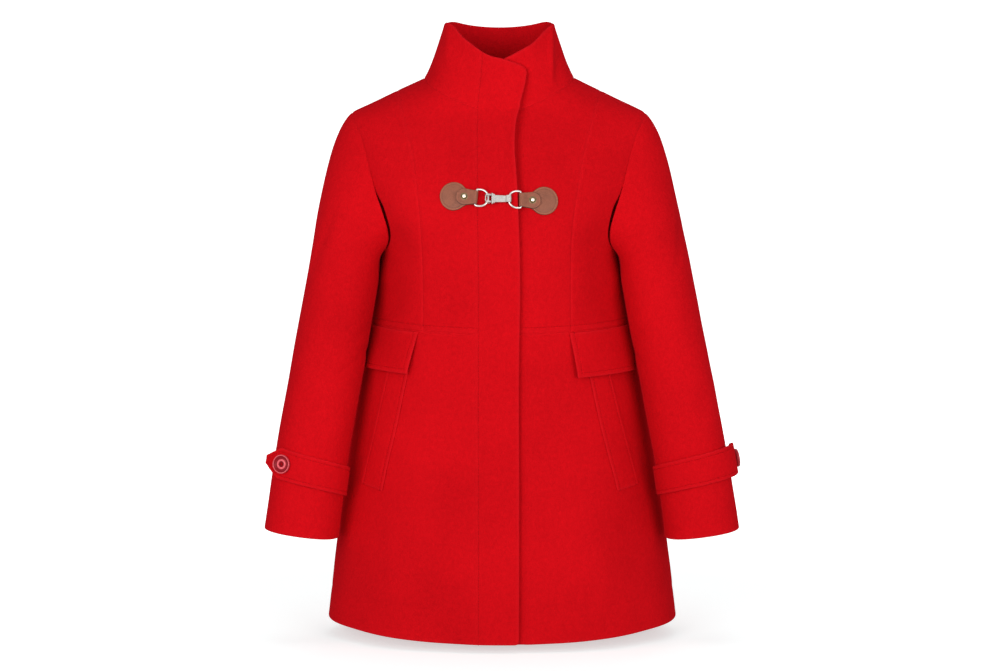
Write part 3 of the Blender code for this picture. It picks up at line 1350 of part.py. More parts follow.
def main():
    """Build the whole coat."""
    clear_scene()
    curves = {RIGHT: side_curves(RIGHT), LEFT: side_curves(LEFT)}
    underlap = underlap_curves()
    necks = build_collar(curves, underlap)
    armholes = {
        RIGHT: build_sleeve(RIGHT, "sleeve_right", curves[RIGHT]),
        LEFT: build_sleeve(LEFT, "sleeve_left", curves[LEFT]),
    }
    build_fronts(curves, underlap, necks, armholes)
    build_backs(curves, necks, armholes)
    build_front_skirts(curves, underlap)
    build_band()
    for plan, word in zip(FLAPS, ("right", "left")):
        build_flap(plan, "pocket_flap_" + word)
        build_welt(plan.side, "pocket_welt_" + word)
    for plan, word in zip(STRAPS, ("right", "left")):
        build_strap(plan, "cuff_strap_" + word)
        build_button(plan, "cuff_button_" + word)
    build_clasp()


main()
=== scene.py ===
"""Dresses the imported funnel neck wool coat: wool, seams, stitches, buttons, clasp and studio.

Each cloth piece is a thin closed wall on the form of its solid, with softer edges, creases and seams.
The origin is the middle of the neck base. The front faces -Y and +X is the wearer's left.
"""

import json
from collections import namedtuple
from functools import lru_cache

import bpy
import numpy as np
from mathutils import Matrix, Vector
from mathutils.geometry import tessellate_polygon


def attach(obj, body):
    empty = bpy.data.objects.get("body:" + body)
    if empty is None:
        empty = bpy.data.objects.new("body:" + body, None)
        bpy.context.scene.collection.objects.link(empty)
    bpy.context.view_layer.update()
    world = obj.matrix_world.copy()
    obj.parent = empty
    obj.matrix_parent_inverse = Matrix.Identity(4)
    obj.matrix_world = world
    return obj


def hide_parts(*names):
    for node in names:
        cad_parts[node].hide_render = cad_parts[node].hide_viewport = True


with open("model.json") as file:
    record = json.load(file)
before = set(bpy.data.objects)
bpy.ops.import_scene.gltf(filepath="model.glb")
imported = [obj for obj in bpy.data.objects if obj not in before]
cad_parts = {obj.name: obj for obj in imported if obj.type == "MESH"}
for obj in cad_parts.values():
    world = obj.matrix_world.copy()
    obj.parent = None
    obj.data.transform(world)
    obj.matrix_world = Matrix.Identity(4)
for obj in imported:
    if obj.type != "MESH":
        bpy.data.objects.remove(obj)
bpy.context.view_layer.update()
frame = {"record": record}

bl_info = {
    "name": "Funnel Neck Wool Coat",
    "version": (1, 0, 0),
    "blender": (4, 5, 0),
    "location": "View3D > Sidebar > Wool Coat",
    "description": "Sews the wool pieces, stitches, buttons and clasp of a funnel neck coat on its solids",
    "category": "Object",
}

BODY = "root"
SLOT_COLOURS = {row["slot"]: row["base_color"] for row in frame["record"]["materials"]}

# The wearer's sides, and the words that the names of their pieces end with.
RIGHT, LEFT = -1, 1
WORDS = ("right", "left")
SIDES = tuple(zip((RIGHT, LEFT), WORDS))

# Cloth and the lap of the front. Sewn edges run a hair past each other, so no light shows between.
CLOTH = 0.0030
COLLAR_CLOTH = 0.0042
SEAM_GAP = -0.00016
LAP_LIFT = 0.0036
LAP_RUN = 0.045

# The body surface: a rounded section at each height, under a shoulder roof.
BodySection = namedtuple("BodySection", "height half_width front_depth back_depth fullness")
BODY_SECTIONS = (
    BodySection(-0.730, 0.2400, 0.152, 0.142, 2.5),
    BodySection(-0.620, 0.2275, 0.143, 0.132, 2.5),
    BodySection(-0.500, 0.2104, 0.131, 0.118, 2.4),
    BodySection(-0.400, 0.1940, 0.121, 0.104, 2.3),
    BodySection(-0.320, 0.1790, 0.114, 0.093, 2.3),
    BodySection(-0.255, 0.1668, 0.119, 0.094, 2.3),
    BodySection(-0.214, 0.1580, 0.127, 0.099, 2.4),
    BodySection(-0.170, 0.1770, 0.129, 0.104, 2.8),
    BodySection(-0.120, 0.1970, 0.116, 0.106, 3.0),
    BodySection(-0.070, 0.2070, 0.093, 0.097, 3.0),
    BodySection(-0.025, 0.2085, 0.068, 0.076, 3.0),
    BodySection(0.000, 0.2085, 0.061, 0.061, 3.0),
    BodySection(0.035, 0.2085, 0.056, 0.052, 3.0),
)
# How far back the sides of the body hang below the underarm, and the heights where that fades.
SIDE_SET = 0.022
SIDE_SET_POWER = 4
SIDE_SET_WIDEST = 1.1
SIDE_SET_TOP, SIDE_SET_FULL = -0.216, -0.280
SIDE_SET_EASES, SIDE_SET_END = -0.500, -0.620
# How far the middle of the filled coat lies to the side at each height.
Lean = namedtuple("Lean", "x height")
LEAN = (
    Lean(0.0022, -0.740), Lean(0.0015, -0.550), Lean(0.0000, -0.400), Lean(-0.0010, -0.250),
    Lean(-0.0028, -0.150), Lean(-0.0030, -0.050), Lean(-0.0022, 0.020), Lean(-0.0018, 0.090),
)
SHOULDER_TIP_X = 0.1975
SHOULDER_TIP_HEIGHT = -0.0258
SHOULDER_SLOPE = 0.475
SHOULDER_ROUND = 0.050
SHOULDER_BLEND = 0.0012

# Seam lines of the front, given as x from the middle and height.
SeamPoint = namedtuple("SeamPoint", "x height")
NECK_SIDE_X = 0.102
NECK_FRONT = (SeamPoint(0.031, -0.0235), SeamPoint(0.062, -0.0105), SeamPoint(0.088, 0.005))
NECK_FRONT_MIDDLE = SeamPoint(0.0, -0.0265)
NECK_BACK = (SeamPoint(0.085, 0.0145), SeamPoint(0.050, 0.0095), SeamPoint(0.0, 0.008))
PRINCESS_TOP_X = 0.1375
PRINCESS = (
    SeamPoint(0.1330, -0.012), SeamPoint(0.1247, -0.041), SeamPoint(0.1149, -0.077),
    SeamPoint(0.1075, -0.119), SeamPoint(0.1013, -0.167), SeamPoint(0.0985, -0.224),
    SeamPoint(0.0980, -0.280),
)
ARMHOLE_FRONT = (
    SeamPoint(0.1862, -0.054), SeamPoint(0.1758, -0.085), SeamPoint(0.1690, -0.112),
    SeamPoint(0.1625, -0.137), SeamPoint(0.1550, -0.158), SeamPoint(0.1485, -0.180),
    SeamPoint(0.1470, -0.198), SeamPoint(0.1505, -0.2080), SeamPoint(0.1560, -0.2120),
)
ARMHOLE_BACK = (
    SeamPoint(0.1875, -0.054), SeamPoint(0.1820, -0.088), SeamPoint(0.1775, -0.122),
    SeamPoint(0.1715, -0.152), SeamPoint(0.1635, -0.178), SeamPoint(0.1570, -0.197),
    SeamPoint(0.1560, -0.2085),
)
UNDERARM_HEIGHT = -0.2130
WAIST_HEIGHT = -0.3210
WAIST_SIDE_RISE = 0.009
HEM_HEIGHT = -0.7250
HEM_SIDE_RISE = 0.0125
FRONT_SHIFT = -0.0040
FRONT_SHIFT_TOP = -0.050
FRONT_SHIFT_RUN = 0.200
BAND_SEAM = (
    SeamPoint(-0.0332, -0.740), SeamPoint(-0.0310, -0.400), SeamPoint(-0.0290, -0.160),
    SeamPoint(-0.0292, -0.040), SeamPoint(-0.0292, -0.022), SeamPoint(-0.0268, 0.010),
    SeamPoint(-0.0230, 0.050),
)
LAP_EDGE = (
    SeamPoint(0.0218, -0.740), SeamPoint(0.0240, -0.400), SeamPoint(0.0262, -0.180),
    SeamPoint(0.0245, -0.125), SeamPoint(0.0216, -0.078), SeamPoint(0.0230, -0.048),
    SeamPoint(0.0285, -0.021), SeamPoint(0.0318, 0.000), SeamPoint(0.0360, 0.031),
)
UNDERLAP_X = -0.0270
LAP_SPLIT_X = 0.0330

# The collar: a ring of edge points above the neck seam.
COLLAR_TUCK = 0.0026
COLLAR_TOP_HALF_WIDTH = 0.0740
COLLAR_TOP_FRONT = 0.0660
COLLAR_TOP_BACK = 0.0500
COLLAR_FULLNESS = 2.4
COLLAR_BACK_HEIGHT = 0.0915
COLLAR_PEAK = 0.0035
COLLAR_FLARE = 0.75
COLLAR_LEAN = 0.34
COLLAR_BASE_HANDLE = 0.014
COLLAR_TOP_HANDLE = 0.024
COLLAR_TOP_RIGHT = (
    SeamPoint(-0.0740, 0.0905), SeamPoint(-0.0650, 0.0860), SeamPoint(-0.0500, 0.0720),
    SeamPoint(-0.0370, 0.0620), SeamPoint(-0.0240, 0.0520), SeamPoint(-0.0080, 0.0442),
    SeamPoint(0.0040, 0.0418), SeamPoint(0.0190, 0.0370), SeamPoint(0.0340, 0.0310),
)
COLLAR_TOP_LEFT = (
    SeamPoint(-0.0300, 0.0270), SeamPoint(-0.0080, 0.0365), SeamPoint(0.0040, 0.0410),
    SeamPoint(0.0280, 0.0528), SeamPoint(0.0460, 0.0636), SeamPoint(0.0620, 0.0775),
    SeamPoint(0.0740, 0.0905),
)

# The sleeve tube below the cap, for the wearer's left arm.
SleeveStation = namedtuple("SleeveStation", "height centre_x centre_y half_width half_depth")
SLEEVE_STATIONS = (
    SleeveStation(-0.589, 0.2680, -0.068, 0.0500, 0.046),
    SleeveStation(-0.494, 0.2549, -0.060, 0.0488, 0.050),
    SleeveStation(-0.413, 0.2404, -0.053, 0.0486, 0.054),
    SleeveStation(-0.333, 0.2257, -0.044, 0.0482, 0.058),
    SleeveStation(-0.250, 0.2111, -0.031, 0.0477, 0.062),
)
SLEEVE_FULLNESS = 2.2
CUFF_DIP = 0.004
CAP_SHARED_FROM = -0.35
CAP_SHARED_RUN = 0.5
SLEEVE_FEELER = 0.004
CapHandle = namedtuple("CapHandle", "out front down length bicep_length")
CAP_TOP = CapHandle(0.74, 0.0, 0.67, 0.038, 0.110)
CAP_FRONT = CapHandle(0.93, 0.10, 0.35, 0.026, 0.060)
CAP_BOTTOM = CapHandle(0.62, 0.0, 0.78, 0.010, 0.014)
CAP_BACK = CapHandle(0.93, -0.10, 0.35, 0.026, 0.060)

# How finely each run of cloth is divided.
WAIST_TO_UNDERARM_ROWS = 16
ARMHOLE_ROWS = 48
SKIRT_ROWS = 40
COLLAR_ROWS = 20
NECK_COLUMNS = 24
NECK_BACK_COLUMNS = 40
INNER_SHOULDER_COLUMNS = 8
SIDE_COLUMNS = 24
UNDERLAP_COLUMNS = 12
BAND_COLUMNS = 16
COLUMN_SCALE = 4
CAP_ROWS = 24
SLEEVE_ROWS = 36
FRONT_COLUMNS = NECK_COLUMNS + INNER_SHOULDER_COLUMNS
BACK_COLUMNS = 2 * (INNER_SHOULDER_COLUMNS + SIDE_COLUMNS) + NECK_BACK_COLUMNS
BODICE_ROWS = WAIST_TO_UNDERARM_ROWS + ARMHOLE_ROWS

# The largest soft folds: angle round the body (0 front, 90 wearer's left), run of heights, form.
FOLD_FADE = 0.3
Fold = namedtuple("Fold", "angle_top angle_bottom top bottom width depth")
FOLDS = (
    Fold(-54, -56, -0.080, -0.345, 12, -0.0035),
    Fold(50, 52, -0.085, -0.350, 12, -0.0035),
    Fold(-17, -16, -0.400, -0.640, 5, 0.0020),
    Fold(-48, -56, -0.480, -0.880, 13, -0.0045),
    Fold(46, 53, -0.500, -0.880, 12, -0.0040),
    Fold(-146, -138, -0.400, -0.880, 13, -0.0060),
    Fold(178, 172, -0.440, -0.880, 11, -0.0045),
    Fold(146, 134, -0.380, -0.880, 14, -0.0060),
)

# Pockets: flaps under the waist seam and slanted welts below them.
FLAP_COLUMNS = 36
FLAP_ROWS = 20
FLAP_TOP_GAP = 0.0012
FLAP_CORNER_ANGLE = 6.0
FLAP_CORNER_CUT = 0.010
FlapPlan = namedtuple("FlapPlan", "side front_x slant drop")
FLAPS = (FlapPlan(RIGHT, 0.1050, 0.0040, 0.0565), FlapPlan(LEFT, 0.0945, 0.0010, 0.0600))
FLAP_END_ANGLE = 74.5
FLAP_CLOTH = 0.0026
FLAP_STAND_TOP = 0.0004
FLAP_STAND_BOTTOM = 0.0026
WELT_COLUMNS = 12
WELT_ROWS = 36
WELT_SHIFT = -0.0028
WELT_CLOTH = 0.0016
WELT_STAND = 0.0005
WELT_FRONT_EDGE = (SeamPoint(0.1185, -0.371), SeamPoint(0.1345, -0.445), SeamPoint(0.1560, -0.530))
WELT_BACK_EDGE = (SeamPoint(0.1470, -0.371), SeamPoint(0.1655, -0.448), SeamPoint(0.1850, -0.524))

# Cuff straps: a band across the sleeve with a pointed end and one button.
STRAP_COLUMN_NAMES = "side start_angle tip_angle button_angle lift_angle lift inner_rise outer_rise"
StrapPlan = namedtuple("StrapPlan", STRAP_COLUMN_NAMES)
STRAPS = (
    StrapPlan(RIGHT, 205.0, 24.0, 53.0, 62.0, 0.0157, 0.0752, 0.0925),
    StrapPlan(LEFT, 205.0, -42.0, -14.0, 75.0, 0.0092, 0.0765, 0.0905),
)
STRAP_COLUMNS = 152
STRAP_ROWS = 12
STRAP_TIP_SHARE = 0.25
STRAP_HALF_WIDTH = 0.0196
STRAP_POINT_ANGLE = 22.0
STRAP_CLOTH = 0.0034
STRAP_STAND = 0.0007
BUTTON_FEELERS = ((10.0, 0.0), (-10.0, 0.0), (0.0, 0.010), (0.0, -0.010))

# The clasp: two leather patches, folded tabs, D rings and a hook between them.
ClaspPlan = namedtuple("ClaspPlan", "side x height tilt bar_reach")
CLASPS = {
    RIGHT: ClaspPlan(RIGHT, -0.0580, -0.1405, -7.0, 0.0290),
    LEFT: ClaspPlan(LEFT, 0.0595, -0.1462, 0.5, 0.0300),
}
PATCH_SIDES = 96
PATCH_SHOULDER = 0.72
PATCH_RADIUS = 0.0182
PATCH_NECK = 0.0080
PATCH_REACH = 0.0270
LEATHER = 0.0016
LEATHER_STAND = 0.0005
TAB_LAYER = 0.0012
TAB_HALF_WIDTH = 0.0078
TAB_TAIL = 0.0240
TAB_STAND = 0.0004
TAB_FOLD_GAP = 0.0004
TAB_PRESS_NEAR = 0.0022
TAB_PRESS_MID = 0.0040
TAB_PRESS_FAR = 0.0070
TAB_PRESS_RISE = 0.0008
TAB_FEELERS = 9
WIRE_RADIUS = 0.00135
BAR_CLEARANCE = 0.0004
RING_HALF_HEIGHT = 0.0111
RING_DEPTH = 0.0168
RING_CORNER = 0.0058
RING_SQUARENESS = 0.36
RING_POINTS = 96
WIRE_SIDES = 16
HOOK_EYE = 0.0028
HOOK_EYE_WALL = 0.0014
RIVET_PLACE = 0.62

# Steps of the searches that place points on the body, and the spots that set out its seams.
TINY = 0.00001
MEETING_DEPTH = 0.0005
CURVE_STEPS = 240
SETTLE_STEPS = 8
HALVINGS = 50
LEVEL_TRIES = 6
UPRIGHT_SPOTS = 16
LEVEL_SPOTS = 5
SHOULDER_SPOTS = (4, 6)
SIDE_SPOTS = (5, 9)
COLLAR_SPOTS = 14
COLLAR_BACK_SPOTS = 49
RIDGE_REACH = 0.080
SIDE_REACH = (0.080, 0.300)
LEVEL_SHARES = (0.0, 0.3, 0.6, 0.85, 0.97)
FRONT_SHARES = (0.0, 0.25, 0.5, 0.75)

# How the cloth is divided near its edges, and how far apart its points lie elsewhere.
ALL_SIDES = ("bottom", "top", "left", "right")
SEAM, FREE = "seam", "free"
Edge = namedtuple("Edge", "kind stitch")
PLAIN_SEAM = Edge(SEAM, 0.0)
PLAIN_EDGE = Edge(FREE, 0.0)
EDGE_STEPS = {
    SEAM: (0.0, 0.0004, 0.0009, 0.0015, 0.0023, 0.0034),
    FREE: (0.0, 0.0002, 0.0006, 0.0011, 0.0017, 0.0026),
}
STITCH_STEPS = (-0.0016, -0.0008, 0.0, 0.0008, 0.0016)
EDGE_SHARE = 0.8
CLOTH_SPACING = 0.0029
SLEEVE_SPACING = 0.0032
SMALL_SPACING = 0.0022

# Seam grooves, rolled edges and pressed stitch lines.
SEAM_DIP = 0.0009
SEAM_ROLL = 0.0016
EDGE_ROLL = 0.0024
EDGE_FLAT = 0.46
STITCH_DIP = 0.00042
STITCH_PRESS = 0.0010
STITCH_PUFF = 0.00035
# Painted highlight along seams, rolled edges and the puffed cloth beside stitches: how far it runs and how
# strong it is.
PAINTED_HIGHLIGHT_RUN = 0.0024
SEAM_PAINTED_HIGHLIGHT = 0.35
STITCH_PAINTED_HIGHLIGHT = 0.25
WAIST_STITCH = 0.0085
BAND_STITCH = 0.0022
FLAP_STITCH = 0.0062
WELT_STITCH = 0.0050
STRAP_STITCH = 0.0052

# Small creases: place round the body or sleeve in degrees, height, heading, length, width and depth.
Crease = namedtuple("Crease", "angle height heading length width depth")
BODY_CREASE_RADIUS = 0.165
BODY_CREASES = (
    Crease(-62, -0.176, 52, 0.036, 0.0080, -0.0014),
    Crease(60, -0.172, -50, 0.036, 0.0080, -0.0013),
    Crease(-90, -0.228, 90, 0.032, 0.0180, 0.0030),
    Crease(90, -0.228, 90, 0.032, 0.0180, 0.0030),
    Crease(-90, -0.309, 90, 0.020, 0.0180, 0.0026),
    Crease(90, -0.309, 90, 0.020, 0.0180, 0.0026),
    Crease(-58, -0.292, 24, 0.022, 0.0060, -0.0009),
    Crease(57, -0.300, -18, 0.020, 0.0060, -0.0008),
    Crease(-27, -0.660, 84, 0.060, 0.0130, -0.0016),
    Crease(-39, -0.610, 96, 0.046, 0.0110, 0.0012),
    Crease(21, -0.600, 94, 0.070, 0.0140, -0.0013),
    Crease(34, -0.655, 86, 0.050, 0.0120, 0.0012),
    Crease(8, -0.520, 92, 0.080, 0.0120, 0.0009),
    Crease(-62, -0.480, 78, 0.050, 0.0110, -0.0012),
    Crease(62, -0.470, 100, 0.048, 0.0110, -0.0012),
    Crease(-160, -0.285, 14, 0.030, 0.0080, -0.0012),
    Crease(158, -0.300, -10, 0.032, 0.0080, -0.0012),
    Crease(176, -0.240, 88, 0.060, 0.0150, -0.0014),
    Crease(-150, -0.150, 60, 0.050, 0.0110, -0.0014),
    Crease(148, -0.146, -62, 0.052, 0.0110, -0.0014),
    Crease(-172, -0.560, 88, 0.080, 0.0140, 0.0014),
    Crease(160, -0.640, 94, 0.056, 0.0130, -0.0016),
    Crease(-128, -0.640, 84, 0.060, 0.0140, -0.0016),
    Crease(112, -0.600, 92, 0.060, 0.0140, 0.0014),
)
SLEEVE_CREASE_RADIUS = 0.052
SLEEVE_CREASES = {
    "right": (
        Crease(58, -0.205, 66, 0.050, 0.0090, -0.0018),
        Crease(100, -0.235, 40, 0.026, 0.0070, -0.0012),
        Crease(74, -0.300, 78, 0.040, 0.0100, 0.0012),
        Crease(150, -0.318, 22, 0.026, 0.0065, -0.0016),
        Crease(172, -0.345, -14, 0.028, 0.0065, -0.0015),
        Crease(128, -0.362, 34, 0.024, 0.0070, -0.0010),
        Crease(66, -0.420, 84, 0.050, 0.0110, -0.0010),
        Crease(250, -0.300, -20, 0.030, 0.0080, -0.0016),
        Crease(285, -0.335, 24, 0.030, 0.0080, -0.0016),
        Crease(300, -0.200, 72, 0.046, 0.0100, -0.0015),
        Crease(20, -0.160, 84, 0.040, 0.0110, -0.0011),
    ),
    "left": (
        Crease(56, -0.212, -64, 0.048, 0.0090, -0.0017),
        Crease(96, -0.242, -38, 0.026, 0.0070, -0.0012),
        Crease(80, -0.310, -80, 0.040, 0.0100, 0.0011),
        Crease(152, -0.326, -24, 0.027, 0.0065, -0.0015),
        Crease(176, -0.352, 12, 0.028, 0.0065, -0.0015),
        Crease(124, -0.368, -30, 0.024, 0.0070, -0.0010),
        Crease(62, -0.430, -86, 0.050, 0.0110, -0.0010),
        Crease(252, -0.308, 20, 0.030, 0.0080, -0.0016),
        Crease(288, -0.342, -24, 0.030, 0.0080, -0.0015),
        Crease(298, -0.206, -72, 0.046, 0.0100, -0.0015),
        Crease(18, -0.168, -84, 0.040, 0.0110, -0.0011),
    ),
}
SLEEVE_CREASE_END = (-0.470, -0.430)

# Gentle waves of the whole cloth: direction, length and size of each.
Wave = namedtuple("Wave", "direction length size")
WAVES = (
    Wave((0.92, 0.31, 0.24), 0.071, 0.00016),
    Wave((0.35, -0.82, 0.45), 0.053, 0.00011),
    Wave((0.61, 0.52, -0.60), 0.037, 0.00008),
    Wave((-0.74, 0.45, 0.50), 0.113, 0.00020),
)
HEM_TURN = 0.042
HEM_TURN_WIDTH = 0.0040
HEM_TURN_DIP = 0.00035

# Where the lap edge stands away from the front below it.
LAP_GAPE = 0.0078
LAP_GAPE_MIDDLE = -0.078
LAP_GAPE_RUN = 0.070
LAP_GAPE_FROM = 0.004
LAP_GAPE_WIDTH = 0.024
# The hollow in the cloth beside the lap edge: depth, half width, place from the edge, and heights.
LAP_HOLLOW = 0.0042
LAP_HOLLOW_WIDTH = 0.0075
LAP_HOLLOW_PLACE = 0.0015
LAP_HOLLOW_TOP = (0.034, 0.022)

# Soft ridges of the collar: x, width, depth, and the heights between which the ridge fades in.
CollarRidge = namedtuple("CollarRidge", "x width depth low high")
COLLAR_RIDGES = (
    CollarRidge(0.0700, 0.0036, 0.0034, 0.006, 0.036),
    CollarRidge(0.0800, 0.0070, -0.0032, -0.006, 0.024),
    CollarRidge(-0.0690, 0.0045, 0.0013, 0.020, 0.055),
    CollarRidge(0.0560, 0.0110, -0.0010, 0.000, 0.040),
    CollarRidge(-0.0500, 0.0130, -0.0012, -0.004, 0.040),
)
COLLAR_RIDGE_FRONT = -0.010
COLLAR_RIDGE_RUN = 0.02

# Lift of the collar's top at its sides, where it starts in front and behind, and its round end.
COLLAR_LIFT = 0.0036
COLLAR_LIFT_START = {"front": 0.042, "back": 0.002}
COLLAR_LIFT_FULL = 0.068
COLLAR_LIFT_END = (0.0715, 0.0762)
COLLAR_LIFT_LOSS = 0.8
# Radii of the band's round corners at the top and at the hem.
BAND_CORNERS = {"top": 0.0085, "bottom": 0.0050}

# How far the flaps stand off towards their free edges.
FLAP_GAPE_BOTTOM = 0.0042
FLAP_GAPE_FRONT = 0.0020
FLAP_GAPE_RUN = 14.0

# Flat cut of each cloth piece: width and length in metres, and area in square metres.
Cut = namedtuple("Cut", "width length area")

# Edges sharper than this many degrees stay sharp.
SHARP_ANGLE = 50.0

# Parts of the buttons.
HOLE_COUNT = 4
HOLE_TURN = 45.0
HOLE_SIDES = 14
HOLE_RADIUS = 0.00085
HOLE_PLACE = 0.0018
BUTTON_PLATE = 0.0038
BUTTON_PLATE_HEIGHTS = (0.0008, 0.0024)
# Radius, height and paleness round the button's profile: a painted highlight on the ring tops and painted
# shade in the grooves.
BUTTON_PROFILE = (
    (0.0036, 0.0006, 0.2), (0.0108, 0.0, 0.2), (0.0119, 0.0005, 0.2), (0.0125, 0.0016, 0.3),
    (0.01248, 0.0032, 0.3), (0.0123, 0.0041, 0.6), (0.0118, 0.0046, 1.0), (0.0113, 0.0045, 0.8),
    (0.0108, 0.0040, 0.1), (0.0103, 0.0031, 0.05), (0.0096, 0.0025, 0.0), (0.0080, 0.0022, 0.05),
    (0.0070, 0.0024, 0.1), (0.0066, 0.0031, 0.8), (0.0061, 0.0038, 1.0), (0.0052, 0.0040, 1.0),
    (0.0044, 0.0037, 1.0), (0.0040, 0.0029, 0.5), (0.0036, 0.0022, 0.1),
)
BUTTON_TURNS = 64
THREAD_RADIUS = 0.00042
THREAD_SIDES = 8
THREAD_STEPS = 13
THREAD_FOOT = 0.0016
THREAD_STAND = 0.0029

# Sizes of the topstitching, the share of its width that it is raised by, and its scale on leather.
STITCH_PITCH = 0.0038
STITCH_LENGTH = 0.0029
STITCH_WIDTH = 0.0008
STITCH_RISE = 0.2
STITCH_ON_LEATHER = 0.6
STITCH_SEGMENTS = 8
STITCH_RINGS = 5

# Parts of the clasp.
PATCH_SHARES = (0.0, 0.15, 0.3, 0.45, 0.6, 0.7, 0.77, 0.81, 0.84, 0.87, 0.91, 0.95, 0.975, 0.992, 1.0)
PATCH_GROOVE = 0.84
PATCH_GROOVE_WIDTH = 0.028
PATCH_GROOVE_DEPTH = 0.00028
PATCH_ROUND = 0.06
PATCH_RIM_DROP = 0.6
PATCH_DOME = 0.0006
PATCH_STITCH_SHARE = 0.90
# Paleness of the leather by the share of the way to a patch's rim, dark at the burnished edge.
PATCH_TONES = ((0.0, 0.78, 0.84, 0.90, 0.95, 0.985, 1.0), (0.5, 0.5, 0.38, 0.85, 0.85, 0.0, 0.0))
# The same by the share of the way in from a tab's edge, over the given runs.
TAB_TONES = ((0.0, 0.25, 0.5, 0.8, 1.0), (0.0, 0.25, 0.85, 0.6, 0.5))
TAB_TONE_RUN = 0.0022
TAB_TONE_SHARE = 0.12
TAB_END_RADIUS = 0.0108
TAB_RING_HALF = 0.0089
TAB_LEAST_HALF = 0.0004
TAB_ACROSS = 24
TAB_ROUND = 0.00035
TAB_ROUND_POWER = 12
TAB_TAIL_STEPS = 12
TAB_TAIL_POWER = 1.6
TAB_FLAT_STEPS = 5
TAB_BEND_STEPS = 21
# Radius, height and paleness round the rivet's profile: painted shade on the flange and in its groove, a
# painted highlight on the dome.
RIVET_PROFILE = (
    (0.0, -0.0002, 0.0), (0.0036, -0.0002, 0.0), (0.0045, 0.0000, 0.0), (0.0048, 0.0004, 0.1),
    (0.0044, 0.0007, 0.2), (0.0038, 0.0006, 0.0), (0.0034, 0.0005, 0.0), (0.0032, 0.0009, 0.0),
    (0.0026, 0.0017, 0.3), (0.0019, 0.0022, 0.9), (0.0009, 0.0025, 1.0), (0.0, 0.0026, 1.0),
)
RIVET_TURNS = 48
EYE_SIDE_PLACE = 0.0046
EYE_SIDE_HALF = 0.0011
EYE_TURNS = 40
EYE_WALL_TURNS = 14
FLANGE_FROM = 0.0040
FLANGE_LENGTH = 0.0024
FLANGE_HALF = 0.0070
FLANGE_THICK = 0.0048
FLANGE_CORNER = 0.0008
SHOULDER_LENGTH = 0.0022
SHOULDER_HALF = 0.0058
SHOULDER_CORNER = 0.0006
PLATE_HALF_START = 0.0046
PLATE_HALF_END = 0.0042
PLATE_THICK = 0.0026
HOOK_END_HALF = 0.0044
# How far the hook's forms reach into each other, and how its edges are rounded.
EYE_WALL_OVERLAP = 0.0002
SHOULDER_OVERLAP = 0.0002
SHANK_OVERLAP = 0.0004
SHANK_EYE_OVERLAP = 0.0006
CORNER_STEPS = 5
HOOK_SHARP_ANGLE = 35.0
HOOK_SOFTNESS = 0.00025

# The studio: camera, floor and lamps.
IMAGE_WIDTH = 1008
SENSOR = 36.0
FOCAL_PIXELS = 2206.0
CAMERA_PLACE = (0.0045, -3.0, -0.140)
CAMERA_DROP = 0.190
CAMERA_FAR = 40.0
FLOOR_HEIGHT = -0.7355
FLOOR_NEAR = -6.0
FLOOR_BEND = 3.6
FLOOR_TOP = 4.2
FLOOR_HALF = 7.0
BEND_RADIUS = 1.6
BEND_STEPS = 17

# Colours of the finishes.
WHITE = (1.0, 1.0, 1.0)
WOOL_SHEEN = (0.85, 0.12, 0.19)
# Painted highlight of the wool's rolled edges, seams and stitch puffs.
WOOL_PAINTED_HIGHLIGHT = (0.70, 0.012, 0.020)
# Painted shade in the buttons' grooves and painted highlight on their ring tops.
BUTTON_PAINTED_SHADE = (0.26, 0.001, 0.008)
BUTTON_PAINTED_HIGHLIGHT = (0.94, 0.15, 0.18)
# Painted highlight of the rivets' domes.
BRASS_PAINTED_HIGHLIGHT = (0.98, 0.88, 0.72)
# How each slot's colour is balanced for its finish.
BALANCE = {"wool": (1.0, 0.78, 0.75), "leather": (0.90, 0.76, 0.71)}
RED_THREAD_SHADE = 0.80
THREAD_GLOSS = 0.05

# Patterns of the finishes by scale, detail, roughness and distortion, and how they are stretched.
THREAD_STRETCH = (1.0, 0.6, 1.4)
THREAD_TWIST = 620.0
Grain = namedtuple("Grain", "scale detail roughness distortion")
WOOL_CLOUD = Grain(7.0, 3.0, 0.55, 0.0)
WOOL_FELT = Grain(210.0, 5.0, 0.62, 0.4)
WOOL_TUFT = Grain(640.0, 3.0, 0.60, 0.0)
WOOL_FIBRE = Grain(1.0, 3.0, 0.60, 0.0)
WOOL_FIBRE_STRETCH = (1500.0, 1500.0, 330.0)
LEATHER_STAINS = Grain(75.0, 4.0, 0.60, 0.3)
LEATHER_PORES = Grain(1500.0, 3.0, 0.60, 0.0)
LEATHER_CELLS = 1100.0
METAL_STAINS = Grain(160.0, 3.0, 0.55, 0.0)
METAL_BRUSHING = Grain(1.0, 4.0, 0.70, 0.0)
STEEL_STRETCH = (3000.0, 3000.0, 260.0)
BRASS_STRETCH = (1800.0, 1800.0, 1800.0)
BUTTON_CLOUD = Grain(260.0, 4.0, 0.60, 1.2)
PAPER_CLOUD = Grain(3.0, 3.0, 0.55, 0.0)
# The values between which the patterns run, and the shades that they give a colour.
PATTERN_RUN = (0.3, 0.7)
WOOL_TONE_RUN = (0.36, 0.64)
WOOL_SHADES = (0.80, 1.14)
LEATHER_TONE_RUN = (0.32, 0.70)
LEATHER_CELL_RUN = (0.0, 0.25)
LEATHER_SHADES = (0.66, 1.24)
LEATHER_DARK, LEATHER_PALE = 0.16, 1.55
METAL_SHADES = (0.90, 1.10)
# How dark the painted shade round the rivets' domes is, as a share of the brass colour.
BRASS_PAINTED_SHADE = 0.22
BUTTON_SHADES = (0.86, 1.14)
THREAD_SHADES = (0.80, 1.15)
TAN_THREAD_SHADE = 1.15
PAPER_SHADES = (0.99, 1.0)
